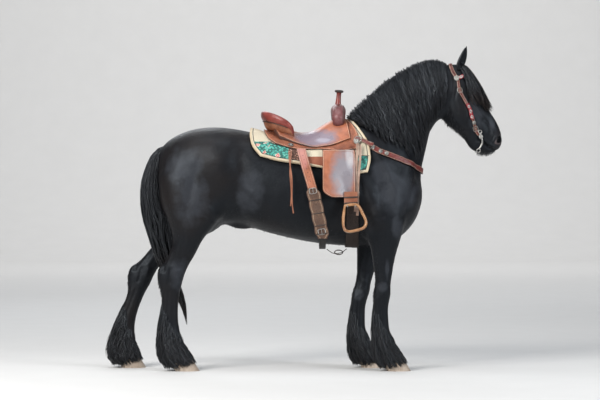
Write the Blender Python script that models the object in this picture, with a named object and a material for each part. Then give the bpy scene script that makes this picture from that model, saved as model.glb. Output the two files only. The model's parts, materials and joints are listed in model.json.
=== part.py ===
"""A life-size Friesian horse standing still, in a western saddle, breast collar and bridle.

The nose points along +X, the horse's left side is +Y, and +Z is up, all in metres. Its right side is the
near side. Sizes were worked out for a horse of 1.62 m at the withers.
"""

import bmesh
import bpy
import numpy as np
from mathutils import Vector
from mathutils.bvhtree import BVHTree

# The space left by a cut through the flesh, and the space kept between two pieces that touch.
GAP = 0.0004
CLEARANCE = 0.0003

# How finely the flesh is worked out, and how many triangles it keeps.
BODY_VOXEL = 0.013
BODY_TRIANGLES = 4000
HEAD_VOXEL = 0.0055
HEAD_TRIANGLES = 1800
RING_SIDES = 24

# The near side is the right one.
SIDES = (("right", -1), ("left", 1))

# Colours are (red, green, blue), with roughness and metallic value.
COAT = ((0.012, 0.012, 0.014), 0.35, 0.0)
HORN_WALL = ((0.45, 0.34, 0.24), 0.55, 0.0)
EYE = ((0.030, 0.016, 0.010), 0.05, 0.0)
TAN_LEATHER = ((0.50, 0.20, 0.09), 0.45, 0.0)
RED_LEATHER = ((0.24, 0.035, 0.022), 0.35, 0.0)
DARK_LEATHER = ((0.035, 0.022, 0.018), 0.5, 0.0)
WOVEN = ((0.10, 0.50, 0.46), 0.9, 0.0)
SILVER = ((0.75, 0.74, 0.71), 0.25, 1.0)
STIRRUP_WOOD = ((0.60, 0.34, 0.15), 0.5, 0.0)


def clear_scene():
    for old in list(bpy.data.objects):
        bpy.data.objects.remove(old)


def add_object(name, mesh):
    obj = bpy.data.objects.new(name, mesh)
    bpy.context.scene.collection.objects.link(obj)
    return obj


def finish(obj, look, smooth=True):
    """Gives an object its one material and its shading."""
    colour, roughness, metallic = look
    material = bpy.data.materials.new(obj.name)
    material.use_nodes = True
    shader = material.node_tree.nodes["Principled BSDF"]
    shader.inputs["Base Color"].default_value = (*colour, 1)
    shader.inputs["Roughness"].default_value = roughness
    shader.inputs["Metallic"].default_value = metallic
    obj.data.materials.clear()
    obj.data.materials.append(material)
    if smooth:
        obj.data.shade_smooth()
    return obj


def smooth_values(rows, steps):
    """Catmull-Rom values between the rows of a table, with steps new rows for each old one."""
    table = np.array(rows, float)
    padded = np.vstack([2 * table[0] - table[1], table, 2 * table[-1] - table[-2]])
    made = []
    for i in range(len(table) - 1):
        before, start, end, after = padded[i : i + 4]
        for t in np.arange(steps) / steps:
            made.append(
                0.5
                * (
                    2 * start
                    + (end - before) * t
                    + (2 * before - 5 * start + 4 * end - after) * t**2
                    + (3 * start - before - 3 * end + after) * t**3
                )
            )
    made.append(table[-1])
    return np.array(made)


def spread(points, count):
    """That many points at even distances along a smooth curve through the given points."""
    fine = smooth_values(points, 12)
    lengths = np.concatenate([[0], np.cumsum(np.linalg.norm(np.diff(fine, axis=0), axis=1))])
    wanted = np.linspace(0, lengths[-1], count)
    return np.column_stack([np.interp(wanted, lengths, fine[:, k]) for k in range(fine.shape[1])])


def unit(vectors):
    return vectors / np.linalg.norm(vectors, axis=-1, keepdims=True)


def section_ring(station, sides):
    """One closed cross-section between two points of the side view, widest somewhere between them."""
    x_a, z_a, x_b, z_b, half_width, y_centre, widest, power = station
    high, low = np.array([x_a, z_a]), np.array([x_b, z_b])
    middle = low + (high - low) * widest
    angle = np.arange(sides) * 2 * np.pi / sides
    across = np.sign(np.cos(angle)) * np.abs(np.cos(angle)) ** (2 / power)
    along = np.sign(np.sin(angle)) * np.abs(np.sin(angle)) ** (2 / power)
    reach = np.where(along[:, None] > 0, high - middle, middle - low)
    side_view = middle + reach * along[:, None]
    return np.column_stack([side_view[:, 0], y_centre + half_width * across, side_view[:, 1]])


def skin_rings(builder, rings, pointed=False):
    """Joins rings of equal length by triangles and closes both ends, the last one in a point if asked."""
    loops = [[builder.verts.new(p) for p in ring] for ring in rings]
    count = len(loops[0])
    for first, second in zip(loops, loops[1:]):
        for k in range(count):
            k_next = (k + 1) % count
            builder.faces.new((first[k], first[k_next], second[k_next]))
            builder.faces.new((first[k], second[k_next], second[k]))
    ends = (loops[0],) if pointed else (loops[0], loops[-1])
    for loop in ends:
        centre = builder.verts.new(sum((v.co for v in loop), Vector()) / count)
        for k in range(count):
            builder.faces.new((loop[k], loop[(k + 1) % count], centre))
    if pointed:
        tip = builder.verts.new(pointed)
        for k in range(count):
            builder.faces.new((loops[-1][k], loops[-1][(k + 1) % count], tip))


def mesh_from(builder, name):
    bmesh.ops.recalc_face_normals(builder, faces=builder.faces)
    mesh = bpy.data.meshes.new(name)
    builder.to_mesh(mesh)
    builder.free()
    return mesh


def add_rings(name, rings):
    builder = bmesh.new()
    skin_rings(builder, rings)
    return add_object(name, mesh_from(builder, name))


def add_loft(name, stations, steps=4, sides=RING_SIDES):
    """A closed form through stations of (x_a, z_a, x_b, z_b, half_width, y_centre, widest, power)."""
    return add_rings(name, [section_ring(s, sides) for s in smooth_values(stations, steps)])


def add_mass(name, start, end, thick, wide):
    """An ellipsoid laid from start to end: thick across the body, wide along it."""
    start, end = Vector(start), Vector(end)
    run = end - start
    side = run.cross(Vector((0, 1, 0))).normalized()
    across = side.cross(run).normalized()
    builder = bmesh.new()
    bmesh.ops.create_uvsphere(builder, u_segments=20, v_segments=12, radius=1)
    for v in builder.verts:
        x, y, z = v.co
        v.co = (start + end) / 2 + side * x * wide + across * y * thick + run * z * 0.5
    return add_object(name, mesh_from(builder, name))


def both_sides(name, start, end, thick, wide):
    made = []
    for side, sign in SIDES:
        mirrored = [(p[0], p[1] * sign, p[2]) for p in (start, end)]
        made.append(add_mass(f"{name}_{side}", *mirrored, thick, wide))
    return made


# Side-view stations. Torso and neck run from tail to poll, with the upper point first.
TORSO = [
    (-0.924, 1.335, -0.916, 1.105, 0.050, 0, 0.55, 2.0),
    (-0.904, 1.415, -0.898, 1.000, 0.130, 0, 0.58, 2.0),
    (-0.830, 1.483, -0.828, 0.930, 0.205, 0, 0.62, 2.1),
    (-0.718, 1.532, -0.718, 0.905, 0.255, 0, 0.62, 2.1),
    (-0.622, 1.548, -0.622, 0.905, 0.283, 0, 0.62, 2.1),
    (-0.526, 1.550, -0.526, 0.925, 0.292, 0, 0.62, 2.1),
    (-0.397, 1.534, -0.397, 0.930, 0.285, 0, 0.55, 2.15),
    (-0.269, 1.505, -0.269, 0.888, 0.298, 0, 0.50, 2.15),
    (-0.141, 1.468, -0.141, 0.853, 0.314, 0, 0.48, 2.15),
    (-0.013, 1.447, -0.013, 0.824, 0.320, 0, 0.48, 2.15),
    (0.115, 1.468, 0.115, 0.803, 0.310, 0, 0.46, 2.1),
    (0.212, 1.520, 0.212, 0.793, 0.288, 0, 0.44, 2.0),
    (0.308, 1.564, 0.308, 0.788, 0.262, 0, 0.42, 1.9),
    (0.404, 1.545, 0.404, 0.788, 0.245, 0, 0.42, 1.9),
    (0.500, 1.470, 0.500, 0.795, 0.236, 0, 0.42, 2.0),
    (0.596, 1.400, 0.596, 0.825, 0.220, 0, 0.45, 2.1),
    (0.680, 1.310, 0.670, 0.880, 0.190, 0, 0.5, 2.2),
    (0.740, 1.235, 0.730, 0.960, 0.140, 0, 0.5, 2.2),
    (0.772, 1.160, 0.768, 1.060, 0.060, 0, 0.5, 2.0),
]
NECK = [
    (0.210, 1.520, 0.600, 0.930, 0.200, 0, 0.42, 1.9),
    (0.310, 1.585, 0.752, 1.130, 0.176, 0, 0.42, 1.9),
    (0.390, 1.675, 0.765, 1.260, 0.146, 0, 0.42, 1.9),
    (0.495, 1.782, 0.790, 1.375, 0.128, 0, 0.42, 1.9),
    (0.600, 1.868, 0.810, 1.462, 0.116, 0, 0.43, 1.95),
    (0.705, 1.922, 0.824, 1.523, 0.107, 0, 0.44, 2.0),
    (0.806, 1.957, 0.856, 1.575, 0.100, 0, 0.46, 2.05),
    (0.888, 1.960, 0.890, 1.600, 0.094, 0, 0.5, 2.1),
    (0.955, 1.945, 0.940, 1.605, 0.088, 0, 0.55, 2.1),
]
HEAD = [
    (0.915, 1.925, 0.898, 1.635, 0.060, 0, 0.60, 2.1),
    (0.945, 1.950, 0.900, 1.602, 0.074, 0, 0.60, 2.2),
    (1.000, 1.950, 0.914, 1.580, 0.084, 0, 0.62, 2.3),
    (1.046, 1.912, 0.936, 1.558, 0.096, 0, 0.66, 2.4),
    (1.086, 1.856, 0.960, 1.540, 0.101, 0, 0.68, 2.4),
    (1.119, 1.799, 0.984, 1.522, 0.098, 0, 0.68, 2.3),
    (1.150, 1.741, 1.008, 1.502, 0.084, 0, 0.64, 2.2),
    (1.182, 1.684, 1.030, 1.480, 0.070, 0, 0.60, 2.15),
    (1.216, 1.634, 1.050, 1.452, 0.060, 0, 0.58, 2.15),
    (1.246, 1.585, 1.068, 1.424, 0.056, 0, 0.60, 2.2),
    (1.268, 1.535, 1.092, 1.402, 0.059, 0, 0.62, 2.3),
    (1.279, 1.486, 1.124, 1.389, 0.061, 0, 0.62, 2.3),
    (1.278, 1.440, 1.168, 1.380, 0.054, 0, 0.58, 2.2),
    (1.260, 1.408, 1.206, 1.384, 0.034, 0, 0.55, 2.1),
]
FORE_LEG = [
    (0.600, 1.220, 0.420, 1.200, 0.060, 0.140, 0.5, 2.0),
    (0.655, 1.110, 0.350, 1.080, 0.085, 0.165, 0.5, 2.0),
    (0.664, 1.010, 0.350, 0.965, 0.088, 0.178, 0.5, 2.0),
    (0.646, 0.905, 0.388, 0.875, 0.080, 0.180, 0.5, 2.0),
    (0.624, 0.820, 0.424, 0.795, 0.070, 0.176, 0.5, 2.0),
    (0.600, 0.750, 0.438, 0.742, 0.062, 0.170, 0.5, 2.0),
    (0.584, 0.680, 0.447, 0.680, 0.054, 0.164, 0.5, 2.0),
    (0.572, 0.605, 0.458, 0.605, 0.048, 0.158, 0.5, 2.1),
    (0.563, 0.540, 0.460, 0.540, 0.047, 0.154, 0.5, 2.2),
    (0.564, 0.490, 0.450, 0.492, 0.051, 0.150, 0.5, 2.3),
    (0.556, 0.445, 0.449, 0.447, 0.048, 0.148, 0.5, 2.2),
    (0.548, 0.395, 0.450, 0.395, 0.042, 0.146, 0.5, 2.1),
    (0.550, 0.330, 0.449, 0.330, 0.041, 0.144, 0.5, 2.1),
    (0.556, 0.270, 0.447, 0.268, 0.043, 0.142, 0.5, 2.1),
    (0.566, 0.225, 0.446, 0.218, 0.047, 0.141, 0.5, 2.1),
    (0.580, 0.180, 0.455, 0.162, 0.049, 0.140, 0.5, 2.1),
    (0.602, 0.142, 0.490, 0.108, 0.047, 0.140, 0.5, 2.1),
    (0.624, 0.102, 0.508, 0.066, 0.052, 0.140, 0.5, 2.2),
    (0.646, 0.074, 0.514, 0.034, 0.055, 0.140, 0.5, 2.2),
    (0.660, 0.050, 0.520, 0.010, 0.055, 0.140, 0.5, 2.2),
]
HIND_LEG = [
    (-0.560, 1.360, -0.800, 1.360, 0.075, 0.120, 0.5, 2.0),
    (-0.480, 1.240, -0.905, 1.250, 0.115, 0.145, 0.5, 2.0),
    (-0.462, 1.120, -0.898, 1.120, 0.122, 0.160, 0.5, 2.0),
    (-0.490, 1.005, -0.868, 1.000, 0.113, 0.167, 0.5, 2.0),
    (-0.565, 0.905, -0.834, 0.895, 0.094, 0.170, 0.5, 2.0),
    (-0.622, 0.835, -0.820, 0.815, 0.076, 0.168, 0.5, 2.0),
    (-0.656, 0.773, -0.840, 0.755, 0.062, 0.164, 0.5, 2.0),
    (-0.690, 0.712, -0.866, 0.698, 0.052, 0.159, 0.52, 1.9),
    (-0.720, 0.660, -0.914, 0.645, 0.048, 0.155, 0.6, 1.8),
    (-0.745, 0.600, -0.922, 0.590, 0.050, 0.153, 0.6, 2.0),
    (-0.762, 0.540, -0.908, 0.530, 0.048, 0.151, 0.58, 2.1),
    (-0.776, 0.480, -0.893, 0.475, 0.042, 0.149, 0.5, 2.1),
    (-0.783, 0.400, -0.892, 0.400, 0.040, 0.148, 0.5, 2.1),
    (-0.783, 0.330, -0.896, 0.328, 0.041, 0.147, 0.5, 2.1),
    (-0.776, 0.268, -0.902, 0.262, 0.044, 0.146, 0.5, 2.1),
    (-0.758, 0.200, -0.903, 0.182, 0.051, 0.145, 0.5, 2.1),
    (-0.740, 0.152, -0.865, 0.115, 0.047, 0.145, 0.5, 2.1),
    (-0.718, 0.104, -0.842, 0.066, 0.052, 0.145, 0.5, 2.2),
    (-0.696, 0.074, -0.834, 0.034, 0.055, 0.145, 0.5, 2.2),
    (-0.684, 0.050, -0.828, 0.010, 0.055, 0.145, 0.5, 2.2),
]
# How far the left legs stand behind the right ones, by height.
FORE_STEP_BACK = [(0.0, -0.152), (0.25, -0.146), (0.45, -0.130), (0.80, -0.075), (1.05, -0.03), (1.2, 0.0)]
HIND_STEP_BACK = [
    (0.0, -0.360),
    (0.08, -0.352),
    (0.15, -0.336),
    (0.36, -0.280),
    (0.53, -0.222),
    (0.65, -0.200),
    (0.80, -0.140),
    (1.0, -0.050),
    (1.15, 0.0),
]
# The two points of each hoof's upper rim, at the toe and at the heel, and of its ground line.
FORE_HOOF = {"rim": (0.646, 0.080, 0.516, 0.040), "ground": (0.690, 0.0, 0.536, 0.0), "y": 0.140}
HIND_HOOF = {"rim": (-0.696, 0.080, -0.834, 0.040), "ground": (-0.650, 0.0, -0.806, 0.0), "y": 0.145}
HOOF_RIM_HALF_WIDTH = 0.058
HOOF_GROUND_HALF_WIDTH = 0.067

# Gentle ridges and hollows of the flesh: side-view lines, how wide they are and how far they stand out.
BODY_RELIEF = [
    ([(0.36, 1.50), (0.52, 1.30), (0.62, 1.16)], 0.060, 0.010),
    ([(0.30, 1.44), (0.40, 1.26), (0.52, 1.10)], 0.030, -0.007),
    ([(0.40, 1.16), (0.46, 1.00)], 0.075, 0.012),
    ([(0.27, 1.20), (0.33, 0.98), (0.36, 0.88)], 0.030, -0.008),
    ([(0.60, 1.14), (0.64, 1.06)], 0.055, 0.012),
    ([(0.66, 1.34), (0.60, 1.24)], 0.030, -0.006),
    ([(-0.46, 1.46), (-0.44, 1.42)], 0.040, 0.008),
    ([(-0.40, 1.36), (-0.37, 1.18), (-0.42, 1.04)], 0.050, -0.010),
    ([(-0.50, 1.30), (-0.54, 1.08)], 0.080, 0.010),
    ([(-0.64, 1.36), (-0.70, 1.14), (-0.74, 0.96)], 0.024, -0.005),
    ([(-0.80, 1.28), (-0.82, 1.06)], 0.070, 0.012),
    ([(0.84, 1.58), (0.74, 1.36), (0.70, 1.26)], 0.024, -0.006),
]
HEAD_RELIEF = [
    ([(0.965, 1.76), (1.000, 1.68), (1.030, 1.61)], 0.052, 0.012),
    ([(0.945, 1.70), (0.975, 1.595), (1.040, 1.540)], 0.014, 0.004),
    ([(1.050, 1.560), (1.075, 1.650), (1.060, 1.720)], 0.014, -0.005),
    ([(1.085, 1.725), (1.120, 1.660), (1.150, 1.610)], 0.011, 0.008),
    ([(1.050, 1.855), (1.075, 1.830)], 0.018, -0.007),
    ([(1.075, 1.826), (1.112, 1.806)], 0.013, 0.007),
    ([(1.165, 1.590), (1.195, 1.530)], 0.022, -0.006),
    ([(1.232, 1.500), (1.242, 1.455)], 0.020, 0.006),
    ([(1.272, 1.512), (1.247, 1.503), (1.237, 1.472)], 0.010, 0.007),
    ([(1.150, 1.484), (1.192, 1.448), (1.250, 1.411)], 0.008, 0.004),
    ([(1.120, 1.452), (1.160, 1.414), (1.215, 1.382)], 0.010, 0.004),
    ([(1.134, 1.475), (1.172, 1.439), (1.208, 1.413), (1.256, 1.396)], 0.005, -0.009),
    ([(1.269, 1.491), (1.257, 1.481), (1.254, 1.463)], 0.0085, -0.022),
]


def leg_stations(stations, sign, step_back=None):
    """The leg on one side. A step back moves each station by the amount for its height."""
    made = []
    for x_a, z_a, x_b, z_b, half_width, y_centre, widest, power in stations:
        back_a = back_b = 0.0
        if step_back:
            heights, shifts = zip(*step_back)
            back_a, back_b = np.interp(z_a, heights, shifts), np.interp(z_b, heights, shifts)
        made.append((x_a + back_a, z_a, x_b + back_b, z_b, half_width, y_centre * sign, widest, power))
    return made


LEGS = {
    "fore_right": (FORE_LEG, FORE_HOOF, -1, None),
    "fore_left": (FORE_LEG, FORE_HOOF, 1, FORE_STEP_BACK),
    "hind_right": (HIND_LEG, HIND_HOOF, -1, None),
    "hind_left": (HIND_LEG, HIND_HOOF, 1, HIND_STEP_BACK),
}


def body_forms():
    """The masses that the body's skin is stretched over."""
    forms = [add_loft("torso_form", TORSO), add_loft("neck_form", NECK)]
    for name, (stations, _, sign, step_back) in LEGS.items():
        forms.append(add_loft(name + "_form", leg_stations(stations, sign, step_back)))
    forms += both_sides("gluteal", (-0.42, 0.14, 1.40), (-0.84, 0.11, 1.30), 0.120, 0.150)
    forms += both_sides("hamstring", (-0.80, 0.09, 1.40), (-0.83, 0.15, 0.96), 0.095, 0.085)
    forms += both_sides("shoulder_blade", (0.34, 0.10, 1.54), (0.66, 0.14, 1.10), 0.085, 0.190)
    forms += both_sides("triceps", (0.34, 0.155, 1.26), (0.54, 0.175, 0.90), 0.090, 0.160)
    forms += both_sides("pectoral", (0.66, 0.070, 1.24), (0.63, 0.090, 0.90), 0.090, 0.105)
    forms += both_sides("groin", (-0.55, 0.10, 1.06), (-0.70, 0.10, 0.88), 0.080, 0.110)
    forms.append(add_mass("sheath", (-0.50, 0, 0.945), (-0.32, 0, 0.905), 0.035, 0.032))
    forms += both_sides("scrotum", (-0.56, 0.028, 0.98), (-0.57, 0.028, 0.88), 0.034, 0.045)
    return forms


def join_meshes(name, objects):
    """One mesh holding all the objects' faces. The objects are removed."""
    builder = bmesh.new()
    for obj in objects:
        builder.from_mesh(obj.data)
        bpy.data.objects.remove(obj)
    return add_object(name, mesh_from(builder, name))


def apply_modifiers(obj):
    graph = bpy.context.evaluated_depsgraph_get()
    mesh = bpy.data.meshes.new_from_object(obj.evaluated_get(graph))
    obj.modifiers.clear()
    obj.data = mesh


def point_array(obj, normals=False):
    values = np.empty(len(obj.data.vertices) * 3)
    if normals:
        obj.data.vertex_normals.foreach_get("vector", values)
    else:
        obj.data.vertices.foreach_get("co", values)
    return values.reshape(-1, 3)


def store_points(obj, points):
    obj.data.vertices.foreach_set("co", points.reshape(-1))
    obj.data.update()


def line_distance(points, line):
    """The shortest distance of each point to a line of straight pieces, in the side view."""
    line = np.array(line, float)
    best = np.full(len(points), np.inf)
    for start, end in zip(line, line[1:]):
        run = end - start
        share = np.clip((points - start) @ run / (run @ run), 0, 1)
        best = np.minimum(best, np.linalg.norm(points - start - share[:, None] * run, axis=1))
    return best


def raise_relief(obj, relief):
    """Lifts or presses the side faces of a form along side-view lines."""
    points, normals = point_array(obj), point_array(obj, normals=True)
    lift = np.zeros(len(points))
    for line, radius, height in relief:
        distance = line_distance(points[:, (0, 2)], line)
        lift += height * np.exp(-((distance / radius) ** 2))
    store_points(obj, points + normals * (lift * np.abs(normals[:, 1]))[:, None])


def smooth_trunk(obj, rounds):
    """Evens out the trunk and the neck, and leaves the slender legs as they are."""
    heights = point_array(obj)[:, 2]
    group = obj.vertex_groups.new(name="trunk")
    for share in (0.35, 0.7, 1.0):
        chosen = np.flatnonzero(heights > 0.72 + 0.1 * share)
        group.add(chosen.tolist(), share, "REPLACE")
    smooth = obj.modifiers.new("even", "SMOOTH")
    smooth.factor = 0.5
    smooth.iterations = rounds
    smooth.vertex_group = "trunk"
    apply_modifiers(obj)


def stretch_skin(obj, voxel, rounds):
    """Makes one closed, evenly smooth skin over the forms."""
    remesh = obj.modifiers.new("remesh", "REMESH")
    remesh.mode = "VOXEL"
    remesh.voxel_size = voxel
    smooth = obj.modifiers.new("smooth", "SMOOTH")
    smooth.factor = 0.5
    smooth.iterations = rounds
    apply_modifiers(obj)


def thin_out(obj, triangles):
    obj.data.calc_loop_triangles()
    thin = obj.modifiers.new("thin", "DECIMATE")
    thin.ratio = triangles / len(obj.data.loop_triangles)
    apply_modifiers(obj)


def boolean(obj, operation, others, solver="EXACT"):
    """Unites, cuts or intersects an object with others in one go. The others are removed."""
    group = bpy.data.collections.new("operands")
    for other in others:
        group.objects.link(other)
    modifier = obj.modifiers.new("boolean", "BOOLEAN")
    modifier.operation = operation
    modifier.solver = solver
    modifier.operand_type = "COLLECTION"
    modifier.collection = group
    apply_modifiers(obj)
    for other in others:
        bpy.data.objects.remove(other)
    bpy.data.collections.remove(group)
    keep_largest(obj)
    return obj


def keep_largest(obj):
    """Leaves only the largest closed surface of an object, in triangles."""
    builder = bmesh.new()
    builder.from_mesh(obj.data)
    bmesh.ops.triangulate(builder, faces=builder.faces)
    unseen = set(builder.faces)
    bodies = []
    while unseen:
        stack = [unseen.pop()]
        body = []
        while stack:
            face = stack.pop()
            body.append(face)
            for edge in face.edges:
                for other in edge.link_faces:
                    if other in unseen:
                        unseen.remove(other)
                        stack.append(other)
        bodies.append(body)
    bodies.sort(key=lambda body: abs(enclosed_volume(body)))
    for body in bodies[:-1]:
        bmesh.ops.delete(builder, geom=body, context="FACES")
    builder.to_mesh(obj.data)
    builder.free()


def enclosed_volume(faces):
    return sum(f.verts[0].co.dot(f.verts[1].co.cross(f.verts[2].co)) for f in faces) / 6


def copy_object(obj, name):
    return add_object(name, obj.data.copy())


def grown(obj, amount=CLEARANCE):
    """A copy of an object, swollen by a little, to cut its neighbours clear of it."""
    swollen = copy_object(obj, obj.name + "_grown")
    store_points(swollen, point_array(swollen) + point_array(swollen, normals=True) * amount)
    return swollen


def clear_of(obj, neighbours):
    """Cuts an object back so that it stays a little clear of its neighbours."""
    return boolean(obj, "DIFFERENCE", [grown(neighbour) for neighbour in neighbours])


def add_block(name, x_range, y_range, bottom, top):
    """A block with a sloping top and bottom, each given as a function of x and y."""
    corners = [(x, y) for x in x_range for y in y_range]
    builder = bmesh.new()
    for x, y in corners:
        builder.verts.new((x, y, bottom(x, y)))
        builder.verts.new((x, y, top(x, y)))
    bmesh.ops.convex_hull(builder, input=builder.verts)
    return add_object(name, mesh_from(builder, name))


def slope(x_0, z_0, x_1, z_1, y_0=0.0, rise=0.0):
    """The height of a plane over the line of two side-view points, rising outwards from y_0."""
    return lambda x, y: z_0 + (x - x_0) * (z_1 - z_0) / (x_1 - x_0) + (abs(y) - y_0) * rise


# The planes that part the nodes: neck from torso, head from neck, and the legs from the torso.
NECK_ROOT = (0.270, 1.620, 0.800, 1.110)
NAPE_X = (0.925, 1.970, 0.885, 1.585)
FAR = 3.0


def leg_block(name, gap):
    """The space that holds one leg, from its hoof up to where it joins the torso."""
    stations, hoof, sign, step_back = LEGS[name]
    if name.startswith("fore"):
        x_range = (0.10, 0.95)
        top = slope(0.36, 0.845, 0.66, 0.885, 0.17, 0.62)
    else:
        x_range = (-1.45, -0.30)
        top = slope(-0.95, 0.870, -0.45, 0.930, 0.17, 0.62)
    shift = step_back[0][1] if step_back else 0.0
    x_toe, z_toe, x_heel, z_heel = hoof["rim"]
    bottom = slope(x_toe + shift, z_toe, x_heel + shift, z_heel)
    y_range = (0.008 * sign, 0.6 * sign)
    return add_block(
        name + "_block",
        x_range,
        y_range,
        lambda x, y: bottom(x, y) - (0.5 if gap > 0 else 0.0),
        lambda x, y: top(x, y) + gap,
    )


def add_hoof(name):
    stations, hoof, sign, step_back = LEGS[name]
    shift = step_back[0][1] if step_back else 0.0
    x_toe, z_toe, x_heel, z_heel = hoof["rim"]
    ground_toe, _, ground_heel, _ = hoof["ground"]
    y_centre = hoof["y"] * sign
    rim = (x_toe + shift, z_toe - GAP, x_heel + shift, z_heel - GAP, HOOF_RIM_HALF_WIDTH, y_centre, 0.5, 2.3)
    ground = (ground_toe + shift, 0, ground_heel + shift, 0, HOOF_GROUND_HALF_WIDTH, y_centre, 0.5, 2.5)
    rings = [section_ring(rim, 20), section_ring(ground, 20)]
    hoof_object = add_rings("hoof_" + name, rings)
    return finish(hoof_object, HORN_WALL)


def part_body(body):
    """Parts the whole body by thin cuts into torso, neck and four legs."""
    x_a, z_a, x_b, z_b = NECK_ROOT
    neck_side = slope(x_a, z_a, x_b, z_b)
    nape = slope(NAPE_X[1], NAPE_X[0], NAPE_X[3], NAPE_X[2])
    neck = copy_object(body, "neck")
    front = add_block("front", (0.0, 1.5), (-1, 1), lambda x, y: neck_side(x, y) + GAP / 2, lambda x, y: FAR)
    behind_nape = add_prism(
        "behind_nape",
        [(0.0, 0.5), (nape(0.5, 0) - GAP, 0.5), (nape(FAR, 0) - GAP, FAR), (0.0, FAR)],
        1.0,
    )
    boolean(neck, "INTERSECT", [front])
    boolean(neck, "INTERSECT", [behind_nape])
    parts = {"neck": neck}
    torso = copy_object(body, "torso")
    front = add_block("front", (0.0, 1.5), (-1, 1), lambda x, y: neck_side(x, y) - GAP / 2, lambda x, y: FAR)
    boolean(torso, "DIFFERENCE", [front])
    for name in LEGS:
        leg = copy_object(body, "leg_" + name)
        boolean(leg, "INTERSECT", [leg_block(name, 0.0)])
        boolean(torso, "DIFFERENCE", [leg_block(name, GAP)])
        parts["leg_" + name] = leg
    parts["torso"] = torso
    bpy.data.objects.remove(body)
    return parts


def add_prism(name, outline, half_width, y_centre=0.0):
    """A side-view outline carried straight across the horse."""
    rings = [[(x, y_centre + sign * half_width, z) for x, z in outline] for sign in (-1, 1)]
    return add_rings(name, rings)


def add_ball(name, centre, radius, segments=12, rings=6):
    builder = bmesh.new()
    bmesh.ops.create_uvsphere(builder, u_segments=segments, v_segments=rings, radius=radius)
    bmesh.ops.translate(builder, verts=builder.verts, vec=centre)
    bmesh.ops.triangulate(builder, faces=builder.faces)
    return add_object(name, mesh_from(builder, name))


EYE_PLACE = (1.092, 0.0755, 1.778)
EYE_RADIUS = 0.0215
LID_THICKNESS = 0.005
EYE_SLIT = {"half_length": 0.0175, "half_height": 0.0100, "forwards": 0.83, "downwards": 0.56}


def eye_opening(sign):
    """The almond between the lids, as a prism that runs outwards from the middle of the eye."""
    x, y, z = EYE_PLACE
    along = EYE_SLIT["half_length"] * np.array([EYE_SLIT["forwards"], -EYE_SLIT["downwards"]])
    open_way = EYE_SLIT["half_height"] * np.array([EYE_SLIT["downwards"], EYE_SLIT["forwards"]])
    outline = []
    for angle in np.arange(12) * np.pi / 6:
        across = open_way * np.sin(angle) * abs(np.sin(angle)) ** 0.3
        outline.append(tuple(np.array([x, z]) + along * np.cos(angle) + across))
    return add_prism("eye_opening", outline, 0.03, (y + 0.03) * sign)


def build_head():
    """The head, with its lids, lips and nostrils, up to the nape."""
    forms = [add_loft("head_form", HEAD), add_loft("nape_form", NECK)]
    head = join_meshes("head", forms)
    stretch_skin(head, HEAD_VOXEL, 5)
    raise_relief(head, HEAD_RELIEF)
    thin_out(head, HEAD_TRIANGLES)
    nape = slope(NAPE_X[1], NAPE_X[0], NAPE_X[3], NAPE_X[2])
    outline = [(nape(0.5, 0), 0.5), (2.0, 0.5), (2.0, FAR), (nape(FAR, 0), FAR)]
    boolean(head, "INTERSECT", [add_prism("ahead_of_nape", outline, 1.0)])
    x, y, z = EYE_PLACE
    lids = [add_ball("lids", (x, y * sign, z), EYE_RADIUS + LID_THICKNESS) for sign in (-1, 1)]
    boolean(head, "UNION", lids)
    sockets = [add_ball("socket", (x, y * sign, z), EYE_RADIUS + GAP) for sign in (-1, 1)]
    boolean(head, "DIFFERENCE", sockets + [eye_opening(sign) for sign in (-1, 1)])
    for side, sign in SIDES:
        finish(add_ball("eye_" + side, (x, y * sign, z), EYE_RADIUS), EYE)
    return head


EAR = {"base": (1.012, 0.052, 1.925), "tip": (1.050, 0.066, 2.064), "half_width": 0.035, "depth": 0.030}


def add_ear(side, sign, head):
    """A leaf-shaped ear whose cup opens forwards and outwards."""
    base, tip = np.array(EAR["base"]), np.array(EAR["tip"])
    facing = unit(np.array([0.80, 0.60, 0.0]))
    rings = []
    for share in np.linspace(0, 1, 7):
        swell = (np.sin(np.pi * (0.22 + 0.78 * share)) ** 0.75) * (1 - 0.25 * share)
        width = max(EAR["half_width"] * swell, 0.0035)
        depth = max(EAR["depth"] * swell, 0.0035)
        bend = 0.010 * np.sin(np.pi * share)
        centre = base + (tip - base) * share + facing * (0.5 * bend)
        up = unit(tip - base)
        across = unit(np.cross(up, facing))
        cup = 0.70 * np.clip((share - 0.12) / 0.2, 0, 1)
        ring = []
        for angle in np.linspace(-0.5 * np.pi, 1.5 * np.pi, 12, endpoint=False):
            outwards = np.sin(angle)
            spot = centre + across * width * np.cos(angle)
            if outwards < 0:
                spot = spot + facing * depth * outwards
            else:
                spot = spot + facing * depth * outwards * (0.45 - cup * 1.25)
            ring.append(spot)
        rings.append(ring)
    mirrored = [[(p[0], p[1] * sign, p[2]) for p in ring] for ring in rings]
    ear = add_rings("ear_" + side, mirrored)
    boolean(ear, "DIFFERENCE", [grown(head)])
    return finish(ear, COAT)


def surface_of(objects):
    builder = bmesh.new()
    for obj in objects:
        builder.from_mesh(obj.data)
    tree = BVHTree.FromBMesh(builder)
    builder.free()
    return tree


def outer_point(tree, centre, towards, lift):
    """The point where a ray from outside meets the surface, lifted back off it."""
    centre, towards = Vector(centre), Vector(towards).normalized()
    hit = tree.ray_cast(centre + towards * 1.5, -towards)[0]
    return np.array((hit if hit is not None else centre) + towards * lift)


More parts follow.
